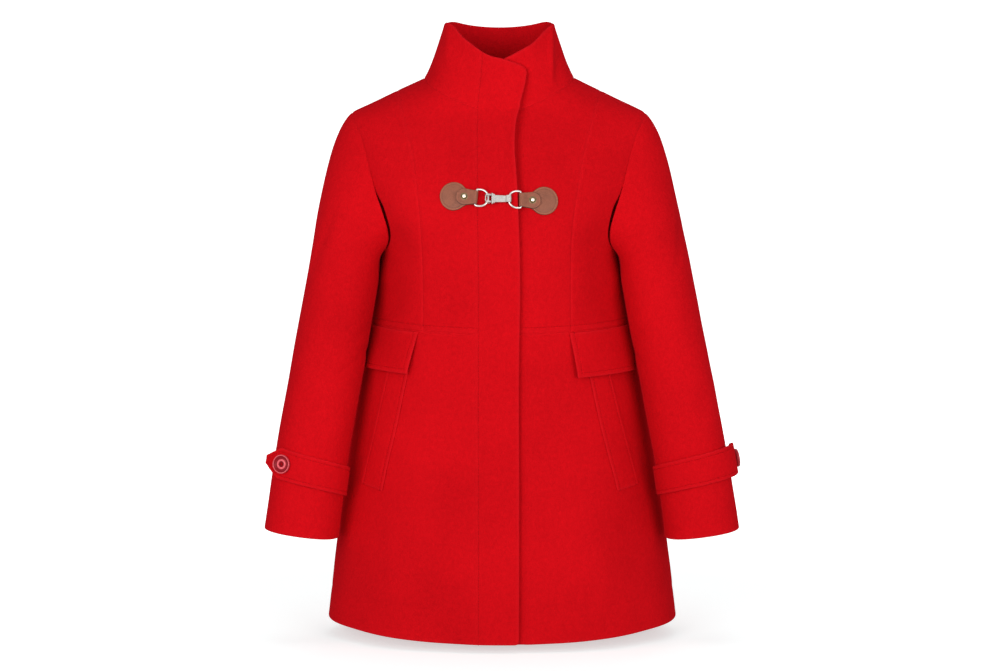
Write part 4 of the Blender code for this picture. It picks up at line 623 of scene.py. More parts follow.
# Roughness from the low to the high end of a pattern.
WOOL_ROUGHNESS = (0.84, 0.98)
LEATHER_ROUGHNESS = (0.42, 0.60)
STEEL_ROUGHNESS = (0.16, 0.34)
BRASS_ROUGHNESS = (0.22, 0.42)
BUTTON_ROUGHNESS = (0.24, 0.38)
THREAD_ROUGHNESS = (0.9, 0.75)
PAPER_ROUGHNESS = (0.9, 1.0)
# Height in metres and strength of the small bumps.
LEATHER_BUMP = (0.00012, 0.8)
METAL_BUMP = (0.000004, 0.4)
BUTTON_BUMP = (0.00003, 0.5)
THREAD_BUMP = (0.0002, 1.0)

# The lamps, each with its share of the lamp power that the sidebar gives.
Lamp = namedtuple("Lamp", "name place aim size spread share")
LAMPS = (
    Lamp("front_lamp", (-0.80, -1.80, -0.06), (0.0, 0.0, 0.05), 1.1, 140, 0.66),
    Lamp("fill_lamp", (0.95, -1.85, -0.10), (0.0, 0.0, 0.05), 1.1, 140, 0.56),
    Lamp("top_lamp", (0.0, -0.8, 2.5), (0.0, 0.0, -0.20), 1.8, 180, 0.12),
    Lamp("back_lamp", (0.6, 3.0, 1.0), (0.0, 0.0, -0.25), 1.8, 180, 1.20),
)
FLOOR_LAMP = Lamp("floor_lamp", (0.0, -0.1, 2.4), (0.0, 0.0, FLOOR_HEIGHT), 1.6, 180, 0.84)
# Where the glow of the paper rises, in metres from the floor under the coat's middle; the lower glow
# nearer the coat is a painted shade round it.
GLOW_RUN = (0.55, 1.10)


def smooth_curve(knots, values):
    """Return a function that runs smoothly through the values at the rising knots."""
    knots = np.asarray(knots, dtype=float)
    values = np.asarray(values, dtype=float)
    wide = (-1,) + (1,) * (values.ndim - 1)
    steps = np.diff(knots)
    rises = np.diff(values, axis=0) / steps.reshape(wide)
    before = steps[:-1].reshape(wide)
    after = steps[1:].reshape(wide)
    inner = (after * rises[:-1] + before * rises[1:]) / (before + after)
    slopes = np.concatenate([rises[:1], inner, rises[-1:]])

    def curve(at):
        """The values at places between the knots."""
        at = np.clip(np.asarray(at, dtype=float), knots[0], knots[-1])
        span = np.clip(np.searchsorted(knots, at, side="right") - 1, 0, len(steps) - 1)
        width = steps[span]
        part = (at - knots[span]) / width
        if values.ndim > 1:
            part = part[..., None]
            width = width[..., None]
        start, end = values[span], values[span + 1]
        leave, arrive = slopes[span] * width, slopes[span + 1] * width
        square, cube = part ** 2, part ** 3
        return (start * (2 * cube - 3 * square + 1) + leave * (cube - 2 * square + part)
                + end * (3 * square - 2 * cube) + arrive * (cube - square))

    return curve


def column(rows, name):
    """Return one named column of a table as a smooth function of height."""
    ordered = sorted(rows, key=lambda row: row.height)
    return smooth_curve([row.height for row in ordered], [getattr(row, name) for row in ordered])


def edge_heights(rows):
    """Return the height of an edge as a smooth function of x."""
    return smooth_curve([row.x for row in rows], [row.height for row in rows])


HALF_WIDTH = column(BODY_SECTIONS, "half_width")
FRONT_DEPTH = column(BODY_SECTIONS, "front_depth")
BACK_DEPTH = column(BODY_SECTIONS, "back_depth")
FULLNESS = column(BODY_SECTIONS, "fullness")
LEAN_X = column(LEAN, "x")
BAND_SEAM_X = column(BAND_SEAM, "x")
LAP_EDGE_X = column(LAP_EDGE, "x")


def unit(vectors):
    """Scale vectors to length one."""
    return vectors / np.linalg.norm(vectors, axis=-1, keepdims=True)


def ease(amount):
    """Rise smoothly from 0 to 1 as the amount goes from 0 to 1."""
    amount = np.clip(amount, 0.0, 1.0)
    return amount * amount * (3 - 2 * amount)


def depth_squared(x, height, back):
    """The square of the body's depth at x and a height, negative outside its outline."""
    x = np.abs(x)
    depth = np.where(back, BACK_DEPTH(height), FRONT_DEPTH(height))
    torso = depth ** 2 * (1 - (x / HALF_WIDTH(height)) ** FULLNESS(height))
    ridge = SHOULDER_TIP_HEIGHT + SHOULDER_SLOPE * (SHOULDER_TIP_X - x)
    roof = 2 * SHOULDER_ROUND * (ridge - height)
    near = np.maximum(SHOULDER_BLEND - np.abs(torso - roof), 0) / SHOULDER_BLEND
    return np.minimum(torso, roof) - near ** 2 * SHOULDER_BLEND / 4


def side_set(x, height):
    """How far back the body surface lies at x and a height, most at its sides."""
    share = np.minimum(np.abs(x) / HALF_WIDTH(height), SIDE_SET_WIDEST) ** SIDE_SET_POWER
    begins = ease((SIDE_SET_TOP - height) / (SIDE_SET_TOP - SIDE_SET_FULL))
    ends = ease((SIDE_SET_EASES - height) / (SIDE_SET_EASES - SIDE_SET_END))
    return SIDE_SET * share * begins * (1 - ends)


def own_depth(points):
    """How far behind the middle of the body points lie."""
    return points[..., 1] - side_set(points[..., 0], points[..., 2])


def body_level(points, back):
    """Zero on the body surface, negative inside it."""
    return own_depth(points) ** 2 - depth_squared(points[..., 0], points[..., 2], back)


def body_slope(points, back):
    """The gradient of the body level."""
    parts = []
    for axis in range(3):
        step = np.zeros(3)
        step[axis] = TINY
        rise = body_level(points + step, back) - body_level(points - step, back)
        parts.append(rise / (2 * TINY))
    return np.stack(parts, axis=-1)


def settle(points):
    """Move points near the body onto its surface."""
    points = np.array(points, dtype=float)
    back = own_depth(points) > 0
    for _ in range(SETTLE_STEPS):
        slope = body_slope(points, back)
        size = np.sum(slope ** 2, axis=-1, keepdims=True)
        points = points - body_level(points, back)[..., None] * slope / size
    return points


def body_normals(points):
    """Outward directions of the body surface, shared by front and back where they meet."""
    depth = own_depth(points)
    back = depth > 0
    normals = unit(body_slope(points, back))
    other = unit(body_slope(points, ~back))
    meets = np.abs(depth[..., None]) < MEETING_DEPTH
    return np.where(meets, unit(normals + other), normals)


def on_body(x, height, back=False):
    """The point of the front or back surface at x and a height."""
    depth = np.sqrt(max(float(depth_squared(x, height, back)), 0.0))
    return np.array([x, side_set(x, height) + (depth if back else -depth), height])


def outline_point(inside, outside):
    """The point of the body's outline between an inside and an outside point, both x and height."""
    inside, outside = np.array(inside, dtype=float), np.array(outside, dtype=float)
    for _ in range(HALVINGS):
        middle = (inside + outside) / 2
        if depth_squared(middle[0], middle[1], False) > 0:
            inside = middle
        else:
            outside = middle
    return np.array([inside[0], side_set(*inside), inside[1]])


def on_ridge(x):
    """The top of the shoulder at x."""
    return outline_point((x, -RIDGE_REACH), (x, RIDGE_REACH))


def on_side(side, height):
    """The side of the body at a height."""
    return outline_point((side * SIDE_REACH[0], height), (side * SIDE_REACH[1], height))


def spread(controls, count, seated=True):
    """Run a smooth curve through the controls and divide it into equal lengths."""
    controls = np.array(controls, dtype=float)
    chords = np.linalg.norm(np.diff(controls, axis=0), axis=1)
    knots = np.concatenate([[0.0], np.cumsum(chords)])
    fine = smooth_curve(knots, controls)(np.linspace(0, knots[-1], CURVE_STEPS))
    if seated:
        fine = settle(fine)
    run = np.concatenate([[0.0], np.cumsum(np.linalg.norm(np.diff(fine, axis=0), axis=1))])
    wanted = np.linspace(0, run[-1], count + 1)
    points = np.stack([np.interp(wanted, run, fine[:, axis]) for axis in range(3)], axis=1)
    if seated:
        points[1:-1] = settle(points[1:-1])
    points[0], points[-1] = controls[0], controls[-1]
    return points


def join(*runs):
    """Put curves end to end, each starting where the one before it stops."""
    return np.concatenate([runs[0]] + [run[1:] for run in runs[1:]])


def fill(bottom, top, left, right):
    """Fill the patch between four edges with a grid of points, rows from bottom to top."""
    across = np.linspace(0, 1, len(bottom))[None, :, None]
    up = np.linspace(0, 1, len(left))[:, None, None]
    between = (1 - up) * bottom[None] + up * top[None]
    along = (1 - across) * left[:, None] + across * right[:, None]
    low = (1 - across) * bottom[0] + across * bottom[-1]
    high = (1 - across) * top[0] + across * top[-1]
    return between + along - (1 - up) * low - up * high


def body_patch(bottom, top, left, right):
    """Fill a patch whose points lie on the body."""
    grid = fill(bottom, top, left, right)
    grid[1:-1, 1:-1] = settle(grid[1:-1, 1:-1])
    return grid


def waist_height(x):
    """The waist seam rises a little towards the sides."""
    return WAIST_HEIGHT + WAIST_SIDE_RISE * (x / HALF_WIDTH(WAIST_HEIGHT)) ** 2


def hem_height(x):
    """The hem rises a little towards the sides."""
    return HEM_HEIGHT + HEM_SIDE_RISE * (x / HALF_WIDTH(HEM_HEIGHT)) ** 2


def level_point(x, height_of, back=False):
    """A point of the waist seam or the hem."""
    return on_body(x, float(height_of(x)), back)


def side_level(side, height_of, start):
    """The point where the waist seam or the hem meets the side seam."""
    height = start
    for _ in range(LEVEL_TRIES):
        point = on_side(side, height)
        height = float(height_of(point[0]))
    return on_side(side, height)


def front_shift(height):
    """How far the front seams sit towards the wearer's right."""
    return FRONT_SHIFT * ease((FRONT_SHIFT_TOP - height) / FRONT_SHIFT_RUN)


def front_seam(side, rows):
    """Points of a front seam on one side."""
    return [on_body(side * row.x + float(front_shift(row.height)), row.height) for row in rows]


def level_run(start_x, end_x, height_of, shares):
    """Points of a level seam on the front at shares of the way between two x values."""
    return [level_point(start_x + (end_x - start_x) * share, height_of) for share in shares]


def side_curves(side):
    """The seam curves of one side, each from the middle outwards or from the waist upwards."""
    waist_x = float(BAND_SEAM_X(WAIST_HEIGHT)) if side == RIGHT else LAP_SPLIT_X
    neck_x = float(BAND_SEAM_X(NECK_FRONT[0].height)) if side == RIGHT else LAP_SPLIT_X
    princess_x = side * PRINCESS[-1].x + float(front_shift(WAIST_HEIGHT))
    princess_foot = level_point(princess_x, waist_height)
    neck_side = on_ridge(side * NECK_SIDE_X)
    princess_top = on_ridge(side * PRINCESS_TOP_X)
    tip = on_ridge(side * SHOULDER_TIP_X)
    underarm = on_side(side, UNDERARM_HEIGHT)
    waist_side = side_level(side, waist_height, WAIST_HEIGHT)
    hem_side = side_level(side, hem_height, HEM_HEIGHT)
    neck_start = on_body(neck_x, float(neck_front_height(neck_x)))
    neck_rows = [on_body(side * row.x, row.height) for row in NECK_FRONT[1:]]
    hem_x = float(BAND_SEAM_X(HEM_HEIGHT)) if side == RIGHT else LAP_SPLIT_X
    front_waist = level_run(waist_x, princess_x, waist_height, FRONT_SHARES)
    side_waist = level_run(princess_x, waist_side[0], waist_height, LEVEL_SHARES)
    hem = level_run(hem_x, hem_side[0], hem_height, LEVEL_SHARES)
    inner_x = np.linspace(NECK_SIDE_X, PRINCESS_TOP_X, SHOULDER_SPOTS[0])
    outer_x = np.linspace(PRINCESS_TOP_X, SHOULDER_TIP_X, SHOULDER_SPOTS[1])
    bodice_heights = np.linspace(waist_side[2], UNDERARM_HEIGHT, SIDE_SPOTS[0])
    skirt_heights = np.linspace(hem_side[2], waist_side[2], SIDE_SPOTS[1])
    armhole_front = [on_body(side * row.x, row.height) for row in ARMHOLE_FRONT]
    armhole_back = [on_body(side * row.x, row.height, True) for row in ARMHOLE_BACK]
    princess = [princess_foot] + front_seam(side, PRINCESS)[::-1] + [princess_top]
    return {
        "waist_in": spread(front_waist + [princess_foot], FRONT_COLUMNS),
        "waist_out": spread(side_waist + [waist_side], SIDE_COLUMNS),
        "hem": spread(hem + [hem_side], FRONT_COLUMNS + SIDE_COLUMNS),
        "neck": spread([neck_start] + neck_rows + [neck_side], NECK_COLUMNS),
        "shoulder_in": spread([on_ridge(side * x) for x in inner_x], INNER_SHOULDER_COLUMNS),
        "shoulder_out": spread([on_ridge(side * x) for x in outer_x], SIDE_COLUMNS),
        "princess": spread(princess, BODICE_ROWS),
        "armhole_front": spread([tip] + armhole_front + [underarm], ARMHOLE_ROWS),
        "armhole_back": spread([tip] + armhole_back + [underarm], ARMHOLE_ROWS),
        "side_bodice": spread([on_side(side, height) for height in bodice_heights],
                              WAIST_TO_UNDERARM_ROWS),
        "side_skirt": spread([on_side(side, height) for height in skirt_heights], SKIRT_ROWS),
    }


def upright(x_of, low, high, count):
    """A seam that runs up the front at the x that a function of height gives."""
    heights = np.linspace(low, high, UPRIGHT_SPOTS)
    return spread([on_body(float(x_of(height)), height) for height in heights], count)


def across_front(start_x, end_x, height_of, count):
    """A level run of points across the front."""
    places = np.linspace(start_x, end_x, LEVEL_SPOTS)
    return spread([level_point(x, height_of) for x in places], count)


def neck_front_height(x):
    """Height of the neck seam across the middle of the front."""
    rise = NECK_FRONT[0].height - NECK_FRONT_MIDDLE.height
    return NECK_FRONT_MIDDLE.height + rise * (x / NECK_FRONT[0].x) ** 2


def body_angles(points):
    """Angle of points round the body in degrees, 0 in front and 90 at the wearer's left side."""
    behind = own_depth(points)
    depth = np.where(behind > 0, BACK_DEPTH(points[..., 2]), FRONT_DEPTH(points[..., 2]))
    across = points[..., 0] / HALF_WIDTH(points[..., 2])
    return np.degrees(np.arctan2(across, -behind / depth))


def fold_relief(points):
    """How far the soft folds push the cloth out or in."""
    angles = body_angles(points)
    total = np.zeros(angles.shape)
    for fold in FOLDS:
        along = (fold.top - points[..., 2]) / (fold.top - fold.bottom)
        middle = fold.angle_top + (fold.angle_bottom - fold.angle_top) * along
        turn = (angles - middle + 180) % 360 - 180
        envelope = ease(along / FOLD_FADE) * ease((1 - along) / FOLD_FADE)
        total += fold.depth * envelope * np.exp(-(turn / fold.width) ** 2)
    return total


def lap_relief(points):
    """How far the wearer's right front stands out where it laps over the left one."""
    away = BAND_SEAM_X(points[..., 2]) - points[..., 0]
    return LAP_LIFT * (1 - ease(away / LAP_RUN))


def open_seams(grid, sides):
    """Draw the named edges of a grid back by half a seam gap."""
    grid = grid.copy()
    half = SEAM_GAP / 2
    if "bottom" in sides:
        grid[0] += half * unit(grid[1] - grid[0])
    if "top" in sides:
        grid[-1] += half * unit(grid[-2] - grid[-1])
    if "left" in sides:
        grid[:, 0] += half * unit(grid[:, 1] - grid[:, 0])
    if "right" in sides:
        grid[:, -1] += half * unit(grid[:, -2] - grid[:, -1])
    return grid


def grid_normals(grid, outward, ring=False):
    """Normals of a grid from its own points, turned to agree with the outward directions."""
    if ring:
        around = np.roll(grid, -1, axis=1) - np.roll(grid, 1, axis=1)
    else:
        around = np.gradient(grid, axis=1)
    normals = unit(np.cross(np.gradient(grid, axis=0), around))
    facing = np.sign(np.sum(normals * outward, axis=-1, keepdims=True))
    return normals * np.where(facing == 0, 1.0, facing)


def collar_top_point(angle, back, heights):
    """A point of the collar's top edge, by its angle from the middle of front or back."""
    power = 2 / COLLAR_FULLNESS
    x = COLLAR_TOP_HALF_WIDTH * np.sign(np.sin(angle)) * np.abs(np.sin(angle)) ** power
    depth = COLLAR_TOP_BACK if back else -COLLAR_TOP_FRONT
    y = depth * np.abs(np.cos(angle)) ** power
    if back:
        side_height = COLLAR_TOP_LEFT[-1].height
        aside = np.abs(np.sin(angle))
        height = COLLAR_BACK_HEIGHT + (side_height - COLLAR_BACK_HEIGHT) * aside ** 3
        height += COLLAR_PEAK * np.sin(np.pi * aside ** 4)
    else:
        height = float(heights(x))
    return np.array([x, y, height])


def collar_angle(x):
    """The angle at which the front of the collar's top edge has this x."""
    return float(np.arcsin(np.sign(x) * (abs(x) / COLLAR_TOP_HALF_WIDTH) ** (COLLAR_FULLNESS / 2)))


def bent_line(start, first, second, end, part):
    """The place at a part of the way along a bent line, given by its ends and their two handles."""
    rest = 1 - part
    return (rest ** 3 * start + 3 * rest ** 2 * part * first
            + 3 * rest * part ** 2 * second + part ** 3 * end)


def collar_top(start_x, end_angle, heights, count):
    """Divide a stretch of the front top edge into equal lengths."""
    angles = np.linspace(collar_angle(start_x), end_angle, COLLAR_SPOTS)
    return spread([collar_top_point(angle, False, heights) for angle in angles], count, seated=False)


def collar_rise(base, top):
    """Raise the collar from its neck seam to its top edge, as a grid with the seam row first."""
    across = np.abs(base[:, 0:1]) / NECK_SIDE_X
    inward = unit(np.stack([-base[:, 0], -base[:, 1], np.zeros(len(base))], axis=1))
    upward = np.array([0.0, 0.0, 1.0])
    leave = unit(upward + COLLAR_FLARE * across ** 3 * inward)
    arrive = unit(upward + COLLAR_LEAN * across ** 2 * inward)
    first = base + COLLAR_BASE_HANDLE * leave
    second = top - COLLAR_TOP_HANDLE * arrive
    return np.stack([bent_line(base, first, second, top, part)
                     for part in np.linspace(0, 1, COLLAR_ROWS + 1)])


def back_neck_curve():
    """The neck seam of the back, from the wearer's right to the left."""
    left = [on_body(row.x, row.height, True) for row in NECK_BACK]
    right = [on_body(-row.x, row.height, True) for row in NECK_BACK[:-1]]
    return spread([on_ridge(-NECK_SIDE_X)] + right + left[::-1] + [on_ridge(NECK_SIDE_X)],
                  NECK_BACK_COLUMNS)


def underlap_curves():
    """The run of the wearer's left front that lies under the band."""
    neck_low = float(neck_front_height(UNDERLAP_X))
    waist_low = float(waist_height(UNDERLAP_X))
    return {
        "neck": across_front(UNDERLAP_X, LAP_SPLIT_X, neck_front_height, UNDERLAP_COLUMNS),
        "waist": across_front(UNDERLAP_X, LAP_SPLIT_X, waist_height, UNDERLAP_COLUMNS),
        "hem": across_front(UNDERLAP_X, LAP_SPLIT_X, hem_height, UNDERLAP_COLUMNS),
        "bodice": upright(lambda height: UNDERLAP_X, waist_low, neck_low, BODICE_ROWS),
        "skirt": upright(lambda height: UNDERLAP_X, float(hem_height(UNDERLAP_X)), waist_low,
                         SKIRT_ROWS),
    }


def back_level(height_of, right_end, left_end, count):
    """A level run of points across the back."""
    shares = [-share for share in LEVEL_SHARES[:0:-1]] + list(LEVEL_SHARES)
    inner = [level_point(left_end[0] * share, height_of, True) for share in shares]
    return spread([right_end] + inner + [left_end], count)


SLEEVE_CENTRE = smooth_curve([row.height for row in SLEEVE_STATIONS],
                             [(row.centre_x, row.centre_y) for row in SLEEVE_STATIONS])
SLEEVE_HALF_WIDTH = column(SLEEVE_STATIONS, "half_width")
SLEEVE_HALF_DEPTH = column(SLEEVE_STATIONS, "half_depth")


def sleeve_centre(side, height):
    """A point of the sleeve's centre line."""
    x, y = SLEEVE_CENTRE(height)
    return np.array([side * x, y, height])


def sleeve_frame(side, height):
    """Centre and directions down, to the front and outwards of the sleeve at a height."""
    low = max(height - SLEEVE_FEELER, SLEEVE_STATIONS[0].height)
    high = min(height + SLEEVE_FEELER, SLEEVE_STATIONS[-1].height)
    down = unit(sleeve_centre(side, low) - sleeve_centre(side, high))
    front = np.array([0.0, -1.0, 0.0])
    front = unit(front - np.dot(front, down) * down)
    out = unit(np.cross(down, front))
    if out[0] * side < 0:
        out = -out
    return sleeve_centre(side, height), down, front, out


def sleeve_point(side, height, angle, stand=0.0):
    """A point of the sleeve by its angle, 0 outwards and 90 to the front, standing off its surface."""
    centre, down, front, out = sleeve_frame(side, height)
    turn = np.radians(angle)
    power = 2 / SLEEVE_FULLNESS
    wide = np.sign(np.cos(turn)) * np.abs(np.cos(turn)) ** power
    deep = np.sign(np.sin(turn)) * np.abs(np.sin(turn)) ** power
    half_width = float(SLEEVE_HALF_WIDTH(height)) + stand
    half_depth = float(SLEEVE_HALF_DEPTH(height)) + stand
    drop = (SLEEVE_STATIONS[1].height - height) / (SLEEVE_STATIONS[1].height - SLEEVE_STATIONS[0].height)
    dip = CUFF_DIP * float(ease(drop)) * max(deep, 0.0)
    return centre + half_width * wide * out + half_depth * deep * front + dip * down


def blend_handles(angle):
    """The direction and lengths with which the cap leaves the armhole at an angle."""
    turn = np.radians(angle)
    shares = (max(np.cos(turn), 0) ** 2, max(np.sin(turn), 0) ** 2,
              max(-np.cos(turn), 0) ** 2, max(-np.sin(turn), 0) ** 2)
    total = np.zeros(len(CAP_TOP))
    for share, handle in zip(shares, (CAP_TOP, CAP_FRONT, CAP_BOTTOM, CAP_BACK)):
        total += share * np.array(handle)
    return CapHandle(*total)


def laid_on(points, stand, lift=0.0):
    """Raise points of the body surface by the folds, the lap and a stand-off."""
    points = np.asarray(points, dtype=float)
    normals = body_normals(points)
    height = fold_relief(points) + lift + stand
    return points + height[..., None] * normals, normals


def strap_height(plan, angle):
    """Height of the middle of a cuff strap at an angle round the sleeve."""
    share = 1 - abs(angle) / 180.0
    rise = plan.inner_rise + (plan.outer_rise - plan.inner_rise) * share
    return SLEEVE_STATIONS[0].height + rise


def strap_point(plan, angle, rise, stand):
    """A point over the inner side of a cuff strap, which lifts off the sleeve towards its tip."""
    lifted = ease((plan.lift_angle - angle) / (plan.lift_angle - min(plan.tip_angle, 0.0)))
    height = strap_height(plan, angle) + rise
    return sleeve_point(plan.side, height, angle, STRAP_STAND + plan.lift * float(lifted) + stand)


def clasp_directions(side):
    """Unit directions in x and height from a patch towards the hook, and across that, upwards."""
    tilt = np.radians(CLASPS[side].tilt)
    return np.array([-side * np.cos(tilt), np.sin(tilt)]), np.array([side * np.sin(tilt), np.cos(tilt)])


def front_spots(x, height):
    """Points of the front of the body at x values and heights."""
    depth = np.sqrt(np.maximum(depth_squared(x, height, False), 0.0))
    return np.stack([x, side_set(x, height) - depth, height], axis=-1)


def clasp_spots(side, spots, stand):
    """Points over the cloth and their directions, by reach and height pairs from a patch centre."""
    along, upward = clasp_directions(side)
    plan = CLASPS[side]
    flat = np.array([plan.x, plan.height]) + spots[:, :1] * along + spots[:, 1:] * upward
    points = front_spots(flat[:, 0], flat[:, 1])
    return laid_on(points, stand, lap_relief(points) if side == RIGHT else 0.0)


def clasp_spot(side, reach, across, stand):
    """One point over the cloth and its direction."""
    points, normals = clasp_spots(side, np.array([[reach, across]]), stand)
    return points[0], normals[0]


def patch_outline():
    """Reach and half height pairs round the leather patch, a disc with a tapering neck."""
    outline = []
    for turn in np.arange(PATCH_SIDES) * 2 * np.pi / PATCH_SIDES:
        reach, across = PATCH_RADIUS * np.cos(turn), PATCH_RADIUS * np.sin(turn)
        if np.cos(turn) > PATCH_SHOULDER:
            share = (np.cos(turn) - PATCH_SHOULDER) / (1 - PATCH_SHOULDER)
            reach = reach + share * (PATCH_REACH - PATCH_RADIUS)
            across = np.sign(across) * (abs(across) * (1 - share) + min(abs(across), PATCH_NECK) * share)
        outline.append((reach, across))
    return outline


def tab_frame(side):
    """Middle of the ring's bar, and directions to the hook, upwards and away from the cloth."""
    bar_reach = CLASPS[side].bar_reach
    middle, normal = clasp_spot(side, bar_reach - 0.5 * TAB_TAIL, 0.0, 0.0)
    along, upward = clasp_directions(side)
    ahead = np.array([along[0], 0.0, along[1]])
    ahead = unit(ahead - np.dot(ahead, normal) * normal)
    across = np.array([upward[0], 0.0, upward[1]])
    across = unit(across - np.dot(across, normal) * normal - np.dot(across, ahead) * ahead)
    loop = WIRE_RADIUS + BAR_CLEARANCE + TAB_LAYER
    seat = LEATHER_STAND + LEATHER
    reaches = np.linspace(bar_reach - TAB_TAIL, bar_reach + loop, TAB_FEELERS)
    below = [clasp_spot(side, reach, height, seat)[0]
             for reach in reaches for height in (-TAB_HALF_WIDTH, 0.0, TAB_HALF_WIDTH)]
    rise = max(float(np.dot(spot - middle, normal)) for spot in below)
    bar = middle + 0.5 * TAB_TAIL * ahead + (rise + TAB_STAND + loop) * normal
    return bar, ahead, across, normal


def arc(centre, radius, start, end, count):
    """Points of an arc in degrees."""
    turns = np.radians(np.linspace(start, end, count))
    return [(centre[0] + radius * np.cos(t), centre[1] + radius * np.sin(t)) for t in turns]


def ring_path():
    """Reach and height pairs round a D ring, its bar at reach zero."""
    path = []
    for turn in np.arange(RING_POINTS) * 2 * np.pi / RING_POINTS:
        if np.cos(turn) >= 0:
            path.append((RING_CORNER + (RING_DEPTH - RING_CORNER) * np.cos(turn),
                         RING_HALF_HEIGHT * np.sin(turn)))
        else:
            path.append((RING_CORNER * (1 - abs(np.cos(turn)) ** RING_SQUARENESS),
                         RING_HALF_HEIGHT * np.sign(np.sin(turn)) * abs(np.sin(turn)) ** RING_SQUARENESS))
    return path


def hook_seats():
    """Where the hook's eyes sit: the wire middles at the two rings' far ends."""
    right_bar, right_ahead = tab_frame(RIGHT)[:2]
    left_bar, left_ahead, _, left_normal = tab_frame(LEFT)
    right_end = right_bar + RING_DEPTH * right_ahead
    rise = np.dot(right_end - left_bar, left_normal)
    flat = np.sqrt(RING_DEPTH ** 2 - rise ** 2)
    left_end = left_bar + flat * left_ahead + rise * left_normal
    return right_end, left_end


# What the rows of stitches need of each sewn piece: its outer points, their directions and its edges.
SEWN = {}


def edge_steps(edge):
    """Distances from an edge at which the cloth has rows of points."""
    if edge is None:
        return np.zeros(1)
    steps = list(EDGE_STEPS[edge.kind])
    if edge.stitch:
        steps = [step for step in steps if step < edge.stitch + STITCH_STEPS[0]]
        steps += [edge.stitch + step for step in STITCH_STEPS]
    return np.array(steps)


def line_places(lengths, start, end, spacing):
    """Distances along each line, close together near both ends and even between them."""
    reach = start[-1] + end[-1]
    shrink = np.minimum(1.0, EDGE_SHARE * lengths / max(reach, TINY))
    low = start[:, None] * shrink
    high = lengths - end[::-1, None] * shrink
    count = max(int(round((lengths.mean() - reach) / spacing)), 2)
    shares = np.linspace(0, 1, count + 1)[1:-1, None]
    between = low[-1] + (high[0] - low[-1]) * shares
    return np.concatenate([low, between, high])


def slide(data, places):
    """Read a grid smoothly at fractional row numbers, one set for each column."""
    count = data.shape[0]
    low = np.clip(np.floor(places).astype(int), 0, count - 2)
    part = (places - low)[..., None]
    columns = np.arange(data.shape[1])[None, :]

    def row(index):
        """The data at one row number for each column, held at both ends."""
        return data[np.clip(index, 0, count - 1), columns]

    first, second = row(low), row(low + 1)
    before = np.where((low == 0)[..., None], 2 * first - second, row(low - 1))
    after = np.where((low == count - 2)[..., None], 2 * second - first, row(low + 2))
    return first + 0.5 * part * ((second - before) + part * (
        2 * before - 5 * first + 4 * second - after
        + part * (3 * (first - second) + after - before)))


def redivide(data, start, end, spacing):
    """Divide the lines of a grid again, from row to row."""
    steps = np.linalg.norm(np.diff(data[..., :3], axis=0), axis=-1)
    runs = np.concatenate([np.zeros((1, data.shape[1])), np.cumsum(steps, axis=0)])
    places = line_places(runs[-1], start, end, spacing)
    rows = np.arange(len(data))
    index = np.stack([np.interp(places[:, i], runs[:, i], rows) for i in range(data.shape[1])], axis=1)
    return slide(data, index)


def edge_first(grid, side):
    """Turn a grid so that the named edge is its first row; the same turn undoes it."""
    if side == "top":
        return grid[::-1]
    if side == "left":
        return np.swapaxes(grid, 0, 1)
    if side == "right":
        return np.swapaxes(grid, 0, 1)[::-1]
    return grid


def edge_back(grid, side):
    """Undo the turn of edge_first."""
    if side == "right":
        return np.swapaxes(grid[::-1], 0, 1)
    return edge_first(grid, side)


def edge_distance(points, side):
    """How far each point lies from an edge, along the cloth."""
    turned_grid = edge_first(points, side)
    steps = np.linalg.norm(np.diff(turned_grid, axis=0), axis=-1)
    runs = np.concatenate([np.zeros((1, turned_grid.shape[1])), np.cumsum(steps, axis=0)])
    return edge_back(runs, side)


def round_off(away, run, depth):
    """The depth by which a rounded edge falls away near its end."""
    rest = 1 - np.clip(away / run, 0, 1)
    return depth * (1 - np.sqrt(1 - rest ** 2))


def edge_forms(points, edges, cloth):
    """How far the outer side dips, the inner side rises, and how strongly a highlight is painted near the
    edges.
    """
    dip, rise, painted_highlight = (np.zeros(points.shape[:2]) for _ in range(3))
    for side, edge in edges.items():
        away = edge_distance(points, side)
        if edge.kind == SEAM:
            dip = np.maximum(dip, SEAM_DIP * np.exp(-(away / SEAM_ROLL) ** 2))
            painted_highlight = np.maximum(painted_highlight, SEAM_PAINTED_HIGHLIGHT * np.exp(-(away / PAINTED_HIGHLIGHT_RUN) ** 2))
        else:
            dip = np.maximum(dip, round_off(away, EDGE_ROLL, EDGE_FLAT * cloth))
            rise = np.maximum(rise, round_off(away, cloth / 2, EDGE_FLAT * cloth))
            painted_highlight = np.maximum(painted_highlight, np.exp(-(away / PAINTED_HIGHLIGHT_RUN) ** 2))
        if edge.stitch:
            press = np.exp(-((away - edge.stitch) / STITCH_PRESS) ** 2)
            puff = np.sin(np.pi * np.clip(away / edge.stitch, 0, 1))
            dip = dip + STITCH_DIP * press - STITCH_PUFF * puff
            painted_highlight = np.maximum(painted_highlight, STITCH_PAINTED_HIGHLIGHT * puff)
    return dip, rise, painted_highlight


def crease_relief(around, height, creases):
    """The depth of small creases at places round a form, in metres, and heights."""
    total = np.zeros(around.shape)
    for crease in creases:
        turn = np.radians(crease.heading)
        side, up = around - crease.angle, height - crease.height
        along = side * np.cos(turn) + up * np.sin(turn)
        across = up * np.cos(turn) - side * np.sin(turn)
        fade = np.exp(-(along / crease.length) ** 4)
        total += crease.depth * fade * np.exp(-(across / crease.width) ** 2)
    return total


def creases_round(creases, radius):
    """Creases with their angles changed to metres round a form."""
    return tuple(crease._replace(angle=np.radians(crease.angle) * radius) for crease in creases)


BODY_CREASES_ROUND = creases_round(BODY_CREASES, BODY_CREASE_RADIUS)


